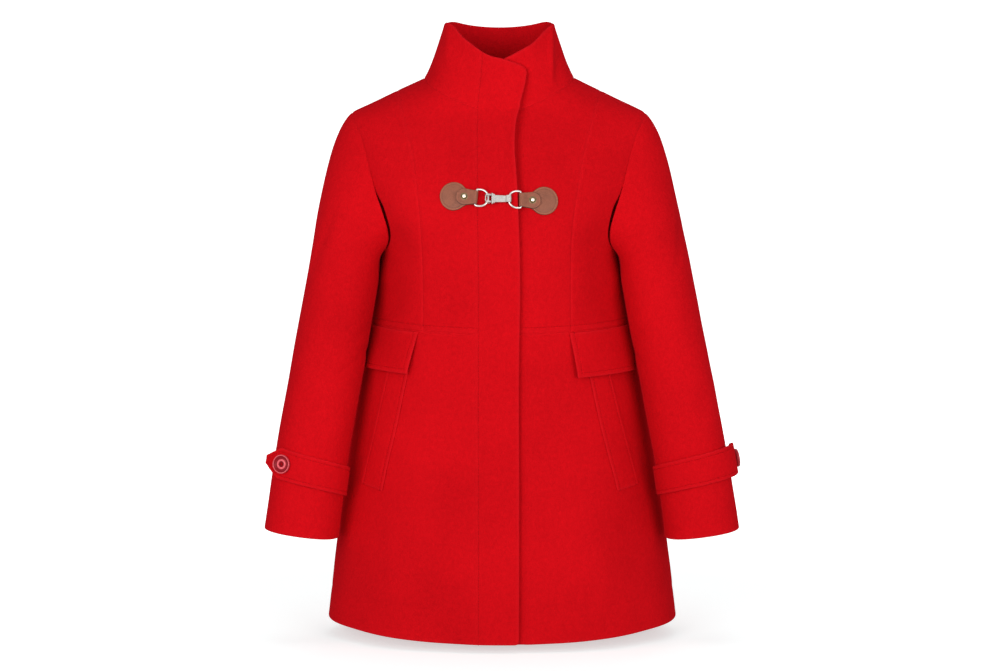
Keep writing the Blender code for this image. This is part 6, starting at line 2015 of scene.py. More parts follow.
def sew_patches():
    """Make the leather patches of the clasp."""
    outline = np.array(patch_outline())
    count = len(outline)
    for side, word in SIDES:
        points, faces = [], []
        for level in range(2):
            for share in PATCH_SHARES:
                stand = LEATHER_STAND + (patch_top(share) if level else 0.0)
                ring = share * (outline[:1] if share == 0 else outline)
                points.append(clasp_spots(side, ring, stand)[0])
        points = np.concatenate(points)
        size = 1 + (len(PATCH_SHARES) - 1) * count
        for level, start in enumerate((0, size)):
            for place in range(count):
                following = (place + 1) % count
                fan = [start, start + 1 + place, start + 1 + following]
                faces.append(tuple(fan if level else fan[::-1]))
                for ring in range(len(PATCH_SHARES) - 2):
                    low = start + 1 + ring * count
                    quad = [low + place, low + count + place, low + count + following, low + following]
                    faces.append(tuple(quad if level else quad[::-1]))
        rim = 1 + (len(PATCH_SHARES) - 2) * count
        for place in range(count):
            following = (place + 1) % count
            faces.append((rim + place, rim + following, size + rim + following, size + rim + place))
        piece = make_object("leather_patch_" + word, points, outward(points, faces))
        bands = np.interp(np.repeat(PATCH_SHARES[1:], count), PATCH_TONES[0], PATCH_TONES[1])
        mark_points(piece, "pale", np.tile(np.concatenate([[PATCH_TONES[1][0]], bands]), 2))
        settle_piece(piece, leather(), "leather", "clasp_patch_" + word)
        seam_stand = LEATHER_STAND + patch_top(PATCH_STITCH_SHARE)
        SEWN["clasp_patch_" + word] = clasp_spots(side, PATCH_STITCH_SHARE * outline, seam_stand)


def tab_half_width(reach):
    """Half the width of a tab by its reach from the ring's bar, round at its tail."""
    rivet = -RIVET_PLACE * TAB_TAIL
    if reach < rivet:
        return np.sqrt(max(TAB_END_RADIUS ** 2 - (reach - rivet) ** 2, TAB_LEAST_HALF ** 2))
    share = ease(reach / rivet)
    return float(TAB_RING_HALF + (TAB_END_RADIUS - TAB_RING_HALF) * share)


def tab_profile():
    """Outer and inner lines of the folded tab from its upper tail round the bar to its lower tail."""
    hole = WIRE_RADIUS + BAR_CLEARANCE
    loop = hole + TAB_LAYER
    low = -loop
    upper = low + 2 * TAB_LAYER + TAB_FOLD_GAP
    tail = -RIVET_PLACE * TAB_TAIL - TAB_END_RADIUS
    turns = np.linspace(0, np.pi / 2, TAB_TAIL_STEPS)
    round_end = tail + TAB_END_RADIUS * np.sin(turns) ** TAB_TAIL_POWER
    flat = np.linspace(round_end[-1], -loop - TAB_PRESS_FAR, TAB_FLAT_STEPS)[1:]
    reaches = np.concatenate([round_end, flat])
    press = -loop - TAB_PRESS_MID
    lines = []
    for radius, top, bottom in ((loop, upper, low), (hole, upper - TAB_LAYER, low + TAB_LAYER)):
        line = [(reach, top) for reach in reaches]
        line += [(press, top + TAB_PRESS_RISE), (-TAB_PRESS_NEAR, radius - TAB_FOLD_GAP)]
        line += arc((0.0, 0.0), radius, 90, -90, TAB_BEND_STEPS)
        line.append((-TAB_PRESS_NEAR, bottom))
        line += [(reach, bottom) for reach in reaches[::-1]]
        lines.append(np.array(line))
    return lines[0], lines[1], upper


def sew_tabs():
    """Make the folded leather tabs and their rivets."""
    outer_line, inner_line, upper = tab_profile()
    shares = np.sin(np.linspace(-np.pi / 2, np.pi / 2, TAB_ACROSS + 1))
    for side, word in SIDES:
        bar, ahead, across, normal = tab_frame(side)
        grids = []
        for line, other in ((outer_line, inner_line), (inner_line, outer_line)):
            rows = []
            for spot, facing in zip(line, other):
                half = tab_half_width(min(spot[0], facing[0], 0.0))
                shrink = TAB_ROUND * np.abs(shares) ** TAB_ROUND_POWER
                into = facing - spot
                into = into / max(np.linalg.norm(into), TINY)
                rows.append([bar + (spot[0] + into[0] * fall) * ahead
                             + (spot[1] + into[1] * fall) * normal + share * half * across
                             for share, fall in zip(shares, shrink)])
            grids.append(np.array(rows))
        piece = wall_object("leather_tab_" + word, grids[0], grids[1])
        tail = np.clip((outer_line[:, 0] - outer_line[:, 0].min()) / TAB_TONE_RUN, 0, 1)
        rim = np.minimum(tail[:, None], np.clip((1 - np.abs(shares)) / TAB_TONE_SHARE, 0, 1)[None, :])
        mark_points(piece, "pale", np.tile(np.interp(rim, TAB_TONES[0], TAB_TONES[1]).ravel(), 2))
        settle_piece(piece, leather(), "leather", "clasp_tab_" + word)
        seat = bar - RIVET_PLACE * TAB_TAIL * ahead + (upper + SEAM_GAP) * normal
        profile = [(radius, height) for radius, height, _ in RIVET_PROFILE]
        rivet = make_object("rivet_" + word, *dome(profile, seat, normal, RIVET_TURNS))
        # Painted shade round the rivet's dome and a painted highlight on it.
        painted_light_tones = [row[2] for row in RIVET_PROFILE]
        mark_points(rivet, "pale", np.repeat(painted_light_tones, [1] + [RIVET_TURNS] * (len(painted_light_tones) - 2) + [1]))
        settle_piece(rivet, brass(), "brass", "clasp_rivet_" + word)


def fit_rings():
    """Make the D rings, each with its bar in its tab."""
    ends = dict(zip((RIGHT, LEFT), hook_seats()))
    for side, word in SIDES:
        bar, _, across, _ = tab_frame(side)
        ahead = unit(ends[side] - bar)
        normal = unit(np.cross(ahead, across))
        path = [bar + reach * ahead + height * across for reach, height in ring_path()]
        piece = make_object("ring_" + word, *wire(path, normal, WIRE_RADIUS, WIRE_SIDES))
        settle_piece(piece, steel(), "steel", "d_ring_" + word)


def hook_eye(reach):
    """Outline and hole of an eye of the hook at a reach along it."""
    radii = HOOK_EYE + HOOK_EYE_WALL, HOOK_EYE
    outline, hole = (circle((reach, 0.0), radius, EYE_TURNS) for radius in radii)
    return outline, [hole]


def fit_hook():
    """Make the hook: an open eye, a collar and a flat shank that wraps the other ring."""
    right_end, left_end = hook_seats()
    along = unit(left_end - right_end)
    across = tab_frame(RIGHT)[2]
    across = unit(across - np.dot(across, along) * along)
    normal = unit(np.cross(along, across))
    if normal[1] > 0:
        normal = -normal
    span = float(np.linalg.norm(left_end - right_end))
    outer = HOOK_EYE + HOOK_EYE_WALL
    side_on = (right_end, along, normal, across)
    face_on = (right_end, along, across, normal)
    eye_ends = [(sign * EYE_SIDE_PLACE - EYE_SIDE_HALF, sign * EYE_SIDE_PLACE + EYE_SIDE_HALF)
                for sign in (-1, 1)]
    forms = [slab(*hook_eye(0.0), side_on, ends) for ends in eye_ends]
    reach = EYE_SIDE_PLACE + EYE_SIDE_HALF
    wall = circle((-(HOOK_EYE + HOOK_EYE_WALL / 2), 0.0), HOOK_EYE_WALL / 2 + EYE_WALL_OVERLAP,
                  EYE_WALL_TURNS)
    flange_end = FLANGE_FROM + FLANGE_LENGTH
    flange = rounded_block(FLANGE_FROM, flange_end, FLANGE_THICK / 2, FLANGE_CORNER)
    shoulder_end = flange_end + SHOULDER_LENGTH
    shoulder = rounded_block(shoulder_end - SHOULDER_LENGTH - SHOULDER_OVERLAP, shoulder_end,
                             FLANGE_THICK / 2, SHOULDER_CORNER)
    shank_start = shoulder_end - SHANK_OVERLAP
    shank_end = span - outer + SHANK_EYE_OVERLAP
    shank = [(shank_start, -PLATE_HALF_START), (shank_end, -PLATE_HALF_END),
             (shank_end, PLATE_HALF_END), (shank_start, PLATE_HALF_START)]
    for outline, holes, place, half in (
            (wall, [], side_on, reach), (flange, [], side_on, FLANGE_HALF),
            (shoulder, [], side_on, SHOULDER_HALF), (shank, [], face_on, PLATE_THICK / 2),
            (*hook_eye(span), side_on, HOOK_END_HALF)):
        forms.append(slab(outline, holes, place, (-half, half)))
    piece = make_object("hook", *together(*forms), smooth_angle=HOOK_SHARP_ANGLE)
    soften(piece, HOOK_SOFTNESS)
    settle_piece(piece, steel(), "steel", "snap_hook")


def rounded_block(start, end, half, corner):
    """A rounded rectangle between two reaches."""
    points = []
    for centre, turn in (((end - corner, half - corner), 0), ((start + corner, half - corner), 90),
                         ((start + corner, corner - half), 180), ((end - corner, corner - half), 270)):
        points += arc(centre, corner, turn, turn + 90, CORNER_STEPS)
    return points


def soften(piece, width):
    """Round the sharp edges of a piece by a small bevel."""
    modifier = piece.modifiers.new("soft edges", "BEVEL")
    modifier.width = width
    modifier.segments = 2
    modifier.limit_method = "ANGLE"
    modifier.angle_limit = np.radians(SHARP_ANGLE)
    make_plain(piece)


def make_plain(piece):
    """Turn a piece with modifiers into a plain mesh."""
    depsgraph = bpy.context.evaluated_depsgraph_get()
    mesh = bpy.data.meshes.new_from_object(piece.evaluated_get(depsgraph))
    old = piece.data
    piece.modifiers.clear()
    piece.data = mesh
    mesh.name = piece.name
    bpy.data.meshes.remove(old)


def stitch_rows():
    """The paths of the stitching, each a name, points on the cloth and outward directions."""
    rows = []
    for node, sewn in SEWN.items():
        if node.startswith("clasp_patch"):
            points, normals = sewn
            closed = np.concatenate([points, points[:1]]), np.concatenate([normals, normals[:1]])
            rows.append((node, *closed))
            continue
        outer, normals, edges = sewn
        for side, edge in edges.items():
            if not edge.stitch:
                continue
            steps = list(edge_steps(edge))
            index = steps.index(edge.stitch + STITCH_STEPS[2])
            first, last = stitch_ends(edges, side)
            line = edge_first(outer, side)[index]
            facing = edge_first(normals, side)[index]
            rows.append((node, line[first:len(line) - last], facing[first:len(line) - last]))
    return rows


def stitch_ends(edges, side):
    """How many points to leave out at both ends of a stitched row, so that rows meet at corners."""
    others = ("left", "right") if side in ("bottom", "top") else ("bottom", "top")
    left_out = []
    for other in others:
        edge = edges.get(other)
        steps = edge_steps(edge)
        stitched = edge is not None and edge.stitch
        left_out.append(len(steps) - 3 if stitched else min(2, len(steps) - 1))
    return left_out


def node_of(tree, kind, **values):
    """Add a node to a tree and set its named inputs."""
    made = tree.nodes.new(kind)
    for name, value in values.items():
        made.inputs[name.replace("_", " ")].default_value = value
    return made


def stitch_tree():
    """The node tree that sets stitches along lines that carry an outward direction."""
    tree = bpy.data.node_groups.new("Stitches", "GeometryNodeTree")
    tree.is_modifier = True
    face = tree.interface
    face.new_socket("Geometry", in_out="INPUT", socket_type="NodeSocketGeometry")
    for name, value in (("Pitch", STITCH_PITCH), ("Stitch Length", STITCH_LENGTH),
                        ("Thread Width", STITCH_WIDTH)):
        socket = face.new_socket(name, in_out="INPUT", socket_type="NodeSocketFloat")
        socket.default_value = value
    face.new_socket("Thread", in_out="INPUT", socket_type="NodeSocketMaterial")
    face.new_socket("Geometry", in_out="OUTPUT", socket_type="NodeSocketGeometry")
    node = tree.nodes.new
    start, end = node("NodeGroupInput"), node("NodeGroupOutput")
    curve, spots = node("GeometryNodeMeshToCurve"), node("GeometryNodeCurveToPoints")
    spots.mode = "LENGTH"
    facing = node("GeometryNodeInputNamedAttribute")
    facing.data_type = "FLOAT_VECTOR"
    facing.inputs["Name"].default_value = "facing"
    keep = node("GeometryNodeCaptureAttribute")
    keep.capture_items.new("VECTOR", "Facing")
    lie, stand = node("FunctionNodeAlignRotationToVector"), node("FunctionNodeAlignRotationToVector")
    lie.axis, stand.axis, stand.pivot_axis = "X", "Z", "X"
    ball = node_of(tree, "GeometryNodeMeshUVSphere", Segments=STITCH_SEGMENTS, Rings=STITCH_RINGS,
                   Radius=0.5)
    size, shape = node("ShaderNodeCombineXYZ"), node("GeometryNodeTransform")
    place, real = node("GeometryNodeInstanceOnPoints"), node("GeometryNodeRealizeInstances")
    smooth, finish = node("GeometryNodeSetShadeSmooth"), node("GeometryNodeSetMaterial")
    for source, given, target, taken in (
            (start, "Geometry", keep, "Geometry"),
            (facing, "Attribute", keep, "Facing"),
            (keep, "Geometry", curve, "Mesh"),
            (curve, "Curve", spots, "Curve"),
            (start, "Pitch", spots, "Length"),
            (spots, "Tangent", lie, "Vector"),
            (lie, "Rotation", stand, "Rotation"),
            (keep, "Facing", stand, "Vector"),
            (start, "Stitch Length", size, "X"),
            (start, "Thread Width", size, "Y"),
            (start, "Thread Width", size, "Z"),
            (ball, "Mesh", shape, "Geometry"),
            (size, "Vector", shape, "Scale"),
            (spots, "Points", place, "Points"),
            (shape, "Geometry", place, "Instance"),
            (stand, "Rotation", place, "Rotation"),
            (place, "Instances", real, "Geometry"),
            (real, "Geometry", smooth, "Geometry"),
            (smooth, "Geometry", finish, "Geometry"),
            (start, "Thread", finish, "Material"),
            (finish, "Geometry", end, "Geometry"),
    ):
        tree.links.new(source.outputs[given], target.inputs[taken])
    return tree


def sew_stitches(pitch, length, width):
    """Sew the rows of stitches, one piece for each cloth or leather piece that has them."""
    tree = stitch_tree()
    names = {item.name: item.identifier for item in tree.interface.items_tree if item.in_out == "INPUT"}
    by_node = {}
    for node, points, normals in stitch_rows():
        by_node.setdefault(node, []).append((points, normals))
    for node, rows in by_node.items():
        points, lines, facing = [], [], []
        for line, normals in rows:
            start = len(points)
            points += list(line + STITCH_RISE * width * normals)
            facing += list(normals)
            lines += [(start + i, start + i + 1) for i in range(len(line) - 1)]
        points = np.array(points)
        points[:, 0] += LEAN_X(points[:, 2])
        mesh = bpy.data.meshes.new("stitches_" + node)
        mesh.from_pydata(points.tolist(), lines, [])
        layer = mesh.attributes.new("facing", "FLOAT_VECTOR", "POINT")
        layer.data.foreach_set("vector", np.array(facing).ravel())
        piece = place_object("stitches_" + node, mesh)
        modifier = piece.modifiers.new("stitches", "NODES")
        modifier.node_group = tree
        leathern = node.startswith("clasp")
        share = STITCH_ON_LEATHER if leathern else 1.0
        for name, value in (("Pitch", pitch), ("Stitch Length", length), ("Thread Width", width)):
            modifier[names[name]] = value * share
        modifier[names["Thread"]] = tan_thread() if leathern else thread_finish()
        make_plain(piece)
        if not piece.data.polygons:
            raise RuntimeError("no stitches were made for " + node)
        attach(piece, BODY)


def object_place(tree, scale=(1.0, 1.0, 1.0)):
    """The place on the object, stretched by a scale, for the patterns of a finish."""
    coordinates = tree.nodes.new("ShaderNodeTexCoord")
    mapping = node_of(tree, "ShaderNodeMapping", Scale=scale)
    tree.links.new(coordinates.outputs["Object"], mapping.inputs["Vector"])
    return mapping.outputs["Vector"]


def cloudy(tree, place, grain):
    """A soft irregular pattern."""
    made = node_of(tree, "ShaderNodeTexNoise", Scale=grain.scale, Detail=grain.detail,
                   Roughness=grain.roughness, Distortion=grain.distortion)
    tree.links.new(place, made.inputs["Vector"])
    return made.outputs["Fac"]


def weigh(tree, *parts):
    """Add patterns, each with its weight."""
    total = None
    for value, weight in parts:
        scaled = tree.nodes.new("ShaderNodeMath")
        scaled.operation = "MULTIPLY_ADD"
        tree.links.new(value, scaled.inputs[0])
        scaled.inputs[1].default_value = weight
        if total is None:
            scaled.inputs[2].default_value = 0.0
        else:
            tree.links.new(total, scaled.inputs[2])
        total = scaled.outputs[0]
    return total


def stored(tree, name):
    """A value that is stored on the points."""
    mark = tree.nodes.new("ShaderNodeAttribute")
    mark.attribute_name = name
    return mark.outputs["Fac"]


def ranged(tree, value, low, high, start=0.0, end=1.0):
    """Map a pattern from one range to another."""
    made = node_of(tree, "ShaderNodeMapRange")
    for place, number in enumerate((low, high, start, end), 1):
        made.inputs[place].default_value = number
    tree.links.new(value, made.inputs["Value"])
    return made.outputs["Result"]


def blended(tree, factor, first, second):
    """Mix two colours, each a value or a socket, by a pattern."""
    made = tree.nodes.new("ShaderNodeMix")
    made.data_type = "RGBA"
    tree.links.new(factor, made.inputs[0])
    for socket, colour in ((made.inputs[6], first), (made.inputs[7], second)):
        if isinstance(colour, bpy.types.NodeSocket):
            tree.links.new(colour, socket)
        else:
            socket.default_value = (*colour[:3], 1.0)
    return made.outputs[2]


def bumped(tree, height, distance, strength=1.0, under=None):
    """A bump from a pattern, over another bump if one is given."""
    made = node_of(tree, "ShaderNodeBump", Strength=strength, Distance=distance)
    tree.links.new(height, made.inputs["Height"])
    if under is not None:
        tree.links.new(under, made.inputs["Normal"])
    return made.outputs["Normal"]


def toned(tree, middle, dark, pale):
    """A colour that turns dark or pale with the value stored on the points: the leather's own tone, and
    painted shade and highlight on the buttons and rivets.
    """
    mark = stored(tree, "pale")
    low = blended(tree, ranged(tree, mark, 0.0, 0.5), dark, middle)
    return blended(tree, ranged(tree, mark, 0.5, 1.0), low, pale)


def shaded(colour, amount):
    """A colour made darker or lighter."""
    return tuple(min(channel * amount, 1.0) for channel in colour[:3])


def two_shades(tree, pattern, colour, amounts):
    """A colour that goes from one shade of itself to another with a pattern."""
    return blended(tree, pattern, *(shaded(colour, amount) for amount in amounts))


def start_finish(name, colour, **values):
    """A new material with its shader, its plain values set on the shader's own sockets."""
    material = bpy.data.materials.new(name)
    material.use_nodes = True
    tree = material.node_tree
    shader = tree.nodes["Principled BSDF"]
    shader.inputs["Base Color"].default_value = (*colour[:3], 1.0)
    material.diffuse_color = (*colour[:3], 1.0)
    for socket, value in values.items():
        shader.inputs[socket.replace("_", " ")].default_value = value
    return material, tree, shader


def finish_links(tree, shader, **sockets):
    """Join patterns to the inputs of a shader."""
    for name, socket in sockets.items():
        tree.links.new(socket, shader.inputs[name.replace("_", " ")])


@lru_cache(maxsize=None)
def wool():
    """Brushed wool: felted nap with fine upright fibres, with a painted highlight along rolled edges,
    seams and stitch puffs.
    """
    settings = bpy.context.scene.coat_wool
    colour = settings.colour
    material, tree, shader = start_finish(
        "brushed_wool", colour, Sheen_Weight=settings.sheen, Sheen_Roughness=0.45,
        Sheen_Tint=(*WOOL_SHEEN, 1.0), Specular_IOR_Level=0.0)
    place = object_place(tree)
    cloud = cloudy(tree, place, WOOL_CLOUD)
    felt = cloudy(tree, place, WOOL_FELT)
    tuft = cloudy(tree, place, WOOL_TUFT)
    fibre = cloudy(tree, object_place(tree, WOOL_FIBRE_STRETCH), WOOL_FIBRE)
    tone = weigh(tree, (cloud, 0.30), (felt, 0.30), (tuft, 0.20), (fibre, 0.20))
    nap = two_shades(tree, ranged(tree, tone, *WOOL_TONE_RUN), colour, WOOL_SHADES)
    # Painted highlight: a paler red along rolled edges, seams and stitch puffs.
    highlight_share = ranged(tree, stored(tree, "painted_highlight"), 0.0, 1.0, 0.0, settings.edge_highlight)
    highlighted = blended(tree, highlight_share, nap, WOOL_PAINTED_HIGHLIGHT)
    pile = weigh(tree, (felt, 0.45), (tuft, 0.30), (fibre, 0.25))
    rough = ranged(tree, felt, *PATTERN_RUN, *WOOL_ROUGHNESS)
    finish_links(tree, shader, Base_Color=highlighted, Roughness=rough,
                 Normal=bumped(tree, pile, settings.nap))
    return material


@lru_cache(maxsize=None)
def thread_finish():
    """Matching sewing thread with a twist."""
    colour = shaded(bpy.context.scene.coat_wool.colour, RED_THREAD_SHADE)
    return twisted_thread("red_thread", colour)


@lru_cache(maxsize=None)
def tan_thread():
    """Tan thread for the leather."""
    colour = shaded(bpy.context.scene.coat_clasp.leather, TAN_THREAD_SHADE)
    return twisted_thread("tan_thread", colour)


def twisted_thread(name, colour):
    """Sewing thread with fine slanted twist lines."""
    material, tree, shader = start_finish(name, colour, Specular_IOR_Level=THREAD_GLOSS)
    place = object_place(tree, THREAD_STRETCH)
    twist = node_of(tree, "ShaderNodeTexWave", Scale=THREAD_TWIST, Distortion=1.5, Detail=1.0)
    tree.links.new(place, twist.inputs["Vector"])
    lines = twist.outputs["Fac"]
    finish_links(tree, shader, Base_Color=two_shades(tree, lines, colour, THREAD_SHADES),
                 Roughness=ranged(tree, lines, 0.0, 1.0, *THREAD_ROUGHNESS),
                 Normal=bumped(tree, lines, *THREAD_BUMP))
    return material


@lru_cache(maxsize=None)
def leather():
    """Smooth brown leather with fine grain, mottled by handling."""
    colour = bpy.context.scene.coat_clasp.leather
    material, tree, shader = start_finish("brown_leather", colour, Specular_IOR_Level=0.28)
    place = object_place(tree)
    stains = cloudy(tree, place, LEATHER_STAINS)
    pores = cloudy(tree, place, LEATHER_PORES)
    cells = node_of(tree, "ShaderNodeTexVoronoi", Scale=LEATHER_CELLS)
    cells.feature = "DISTANCE_TO_EDGE"
    tree.links.new(place, cells.inputs["Vector"])
    creased = ranged(tree, cells.outputs["Distance"], *LEATHER_CELL_RUN)
    tone = weigh(tree, (stains, 0.50), (pores, 0.25), (creased, 0.25))
    mottled = two_shades(tree, ranged(tree, tone, *LEATHER_TONE_RUN), colour, LEATHER_SHADES)
    shade = toned(tree, mottled, shaded(colour, LEATHER_DARK), shaded(colour, LEATHER_PALE))
    grain = weigh(tree, (creased, 0.6), (pores, 0.4))
    rough = ranged(tree, stains, *PATTERN_RUN, *LEATHER_ROUGHNESS)
    finish_links(tree, shader, Base_Color=shade, Roughness=rough,
                 Normal=bumped(tree, grain, *LEATHER_BUMP))
    return material


def brushed_metal(name, colour, roughness, stretch, painted_light_tones=None):
    """Polished metal with fine brushing, light stains and soft scratches, with painted shade and highlight
    by the stored values when these are given.
    """
    material, tree, shader = start_finish(name, colour, Metallic=1.0)
    place = object_place(tree)
    stains = cloudy(tree, place, METAL_STAINS)
    brushing = cloudy(tree, object_place(tree, stretch), METAL_BRUSHING)
    tone = weigh(tree, (stains, 0.6), (brushing, 0.4))
    shade = two_shades(tree, ranged(tree, tone, *PATTERN_RUN), colour, METAL_SHADES)
    # Painted shade and highlight by the values stored on the points.
    if painted_light_tones:
        shade = toned(tree, shade, *painted_light_tones)
    rough = ranged(tree, tone, *PATTERN_RUN, *roughness)
    finish_links(tree, shader, Base_Color=shade, Roughness=rough,
                 Normal=bumped(tree, brushing, *METAL_BUMP))
    return material


@lru_cache(maxsize=None)
def steel():
    """Polished nickel steel."""
    colour = bpy.context.scene.coat_clasp.steel
    return brushed_metal("polished_steel", colour, STEEL_ROUGHNESS, STEEL_STRETCH)


@lru_cache(maxsize=None)
def brass():
    """Dull brass of the rivets, with painted shade round the dome and a painted highlight on it."""
    colour = bpy.context.scene.coat_clasp.brass
    painted_light_tones = shaded(colour, BRASS_PAINTED_SHADE), BRASS_PAINTED_HIGHLIGHT
    return brushed_metal("dull_brass", colour, BRASS_ROUGHNESS, BRASS_STRETCH, painted_light_tones)


@lru_cache(maxsize=None)
def button_plastic():
    """Glossy red plastic, faintly clouded, with a painted highlight on its ring tops and painted shade in
    its grooves.
    """
    colour = bpy.context.scene.coat_clasp.button
    material, tree, shader = start_finish("red_button", colour, Coat_Weight=0.05, Coat_Roughness=0.12,
                                          Specular_IOR_Level=0.12)
    place = object_place(tree)
    cloud = cloudy(tree, place, BUTTON_CLOUD)
    clouded = two_shades(tree, ranged(tree, cloud, *PATTERN_RUN), colour, BUTTON_SHADES)
    # Painted shade in the grooves and a painted highlight on the ring tops.
    shade = toned(tree, clouded, BUTTON_PAINTED_SHADE, BUTTON_PAINTED_HIGHLIGHT)
    rough = ranged(tree, cloud, *PATTERN_RUN, *BUTTON_ROUGHNESS)
    finish_links(tree, shader, Base_Color=shade, Roughness=rough,
                 Normal=bumped(tree, cloud, *BUTTON_BUMP))
    return material


def floor_finish():
    """Plain pale paper that glows, as paper lit from all sides does, but little round the coat, where the
    lower glow is a painted shade.
    """
    settings = bpy.context.scene.coat_stage
    colour = settings.floor_colour
    material, tree, shader = start_finish("pale_paper", colour, Specular_IOR_Level=0.0,
                                          Emission_Color=(*WHITE, 1.0))
    place = object_place(tree)
    cloud = cloudy(tree, place, PAPER_CLOUD)
    near = tree.nodes.new("ShaderNodeVectorMath")
    near.operation = "DISTANCE"
    tree.links.new(place, near.inputs[0])
    near.inputs[1].default_value = (0.0, 0.0, FLOOR_HEIGHT)
    # The paper glows less round the coat: a painted shade there.
    glow = ranged(tree, near.outputs["Value"], *GLOW_RUN, settings.shadow_glow, settings.floor_glow)
    finish_links(tree, shader, Base_Color=two_shades(tree, cloud, colour, PAPER_SHADES),
                 Roughness=ranged(tree, cloud, *PATTERN_RUN, *PAPER_ROUGHNESS),
                 Emission_Strength=glow)
    return material


def paper_sweep():
    """The floor, which bends up far behind the coat."""
    run = [(FLOOR_NEAR, FLOOR_HEIGHT)]
    centre = (FLOOR_BEND, FLOOR_HEIGHT + BEND_RADIUS)
    run += arc(centre, BEND_RADIUS, -90.0, 0.0, BEND_STEPS)
    run.append((FLOOR_BEND + BEND_RADIUS, FLOOR_TOP))
    points = [(x, y, z) for y, z in run for x in (-FLOOR_HALF, FLOOR_HALF)]
    faces = [(2 * i, 2 * i + 1, 2 * i + 3, 2 * i + 2) for i in range(len(run) - 1)]
    mesh = bpy.data.meshes.new("paper_sweep")
    mesh.from_pydata(points, [], faces)
    mesh.shade_smooth()
    mesh.materials.append(floor_finish())
    sweep = place_object("paper_sweep", mesh)
    sweep.visible_diffuse = False
    sweep.visible_glossy = False
    return sweep


def turn_towards(holder, aim):
    """Turn a lamp or the camera so that it looks along a direction."""
    holder.rotation_euler = aim.to_track_quat("-Z", "Y").to_euler()


def hang_lamp(plan, power, only=None):
    """Hang one soft square lamp and aim it; it lights one object only if that is given."""
    lamp = bpy.data.lights.new(plan.name, "AREA")
    lamp.energy = power
    lamp.size = plan.size
    lamp.spread = np.radians(plan.spread)
    holder = place_object(plan.name, lamp)
    holder.location = plan.place
    turn_towards(holder, Vector(plan.aim) - Vector(plan.place))
    holder.visible_camera = False
    if only is not None:
        lit = bpy.data.collections.new(plan.name + "_lights")
        lit.objects.link(only)
        holder.light_linking.receiver_collection = lit


def set_up_camera():
    """Stand the camera level with the chest and look a little down."""
    camera = bpy.data.cameras.new("camera")
    camera.sensor_width = SENSOR
    camera.lens = FOCAL_PIXELS * SENSOR / IMAGE_WIDTH
    camera.clip_end = CAMERA_FAR
    holder = place_object("camera", camera)
    holder.location = CAMERA_PLACE
    turn_towards(holder, Vector((0.0, -CAMERA_PLACE[1], -CAMERA_DROP)))
    bpy.context.scene.camera = holder


def light_room():
    """Even pale light from all round."""
    scene = bpy.context.scene
    world = bpy.data.worlds.new("studio")
    world.use_nodes = True
    tree = world.node_tree
    ground = tree.nodes["Background"]
    ground.inputs["Color"].default_value = (*WHITE, 1.0)
    path = tree.nodes.new("ShaderNodeLightPath")
    strength = ranged(tree, path.outputs["Is Glossy Ray"], 0.0, 1.0, scene.coat_stage.room_light,
                      scene.coat_stage.gloss_light)
    tree.links.new(strength, ground.inputs["Strength"])
    scene.world = world
    scene.view_settings.view_transform = "Standard"
    scene.view_settings.look = "None"


def balanced(slot):
    """The slot's colour as the finish needs it under these lamps."""
    return tuple(channel * share for channel, share in zip(SLOT_COLOURS[slot], BALANCE[slot]))


def colour_field(name, description, default):
    """A colour in the sidebar."""
    return bpy.props.FloatVectorProperty(
        name=name, description=description, subtype="COLOR", size=3, min=0.0, max=1.0,
        default=default)


def share_field(name, description, default):
    """A share from 0 to 1 in the sidebar."""
    return bpy.props.FloatProperty(
        name=name, description=description, subtype="FACTOR", min=0.0, max=1.0, default=default)


def length_field(name, description, low, high, default):
    """A length in the sidebar."""
    return bpy.props.FloatProperty(
        name=name, description=description, subtype="DISTANCE", unit="LENGTH", min=low, max=high,
        default=default)


def strength_field(name, description, high, default):
    """A strength of light in the sidebar."""
    return bpy.props.FloatProperty(
        name=name, description=description, min=0.0, max=high, default=default)


class CoatWoolSettings(bpy.types.PropertyGroup):
    """Colour and feel of the wool."""

    colour: colour_field("Wool Colour", "Colour of the brushed wool", balanced("wool"))
    sheen: share_field("Sheen", "How much the raised fibres catch the light", 0.07)
    nap: length_field("Nap Height", "Height of the brushed nap", 0.0, 0.003, 0.0007)
    # Strength of the painted highlight along rolled edges and seams.
    edge_highlight: share_field("Painted Edge Highlight", "How much paler the rolled edges and seams are", 0.35)


class CoatSewingSettings(bpy.types.PropertyGroup):
    """Sizes of the topstitching."""

    pitch: length_field("Stitch Pitch", "Distance from one stitch to the next", 0.002, 0.01,
                        STITCH_PITCH)
    length: length_field("Stitch Length", "Length of one stitch", 0.001, 0.008, STITCH_LENGTH)
    width: length_field("Thread Width", "Thickness of the sewing thread", 0.0002, 0.002,
                        STITCH_WIDTH)


class CoatClaspSettings(bpy.types.PropertyGroup):
    """Colours of the clasp and the buttons."""

    leather: colour_field("Leather Colour", "Colour of the leather patches and tabs",
                          balanced("leather"))
    steel: colour_field("Steel Colour", "Colour of the rings and the hook", SLOT_COLOURS["steel"])
    brass: colour_field("Rivet Colour", "Colour of the rivets", SLOT_COLOURS["brass"])
    button: colour_field("Button Colour", "Colour of the cuff buttons", SLOT_COLOURS["button"])


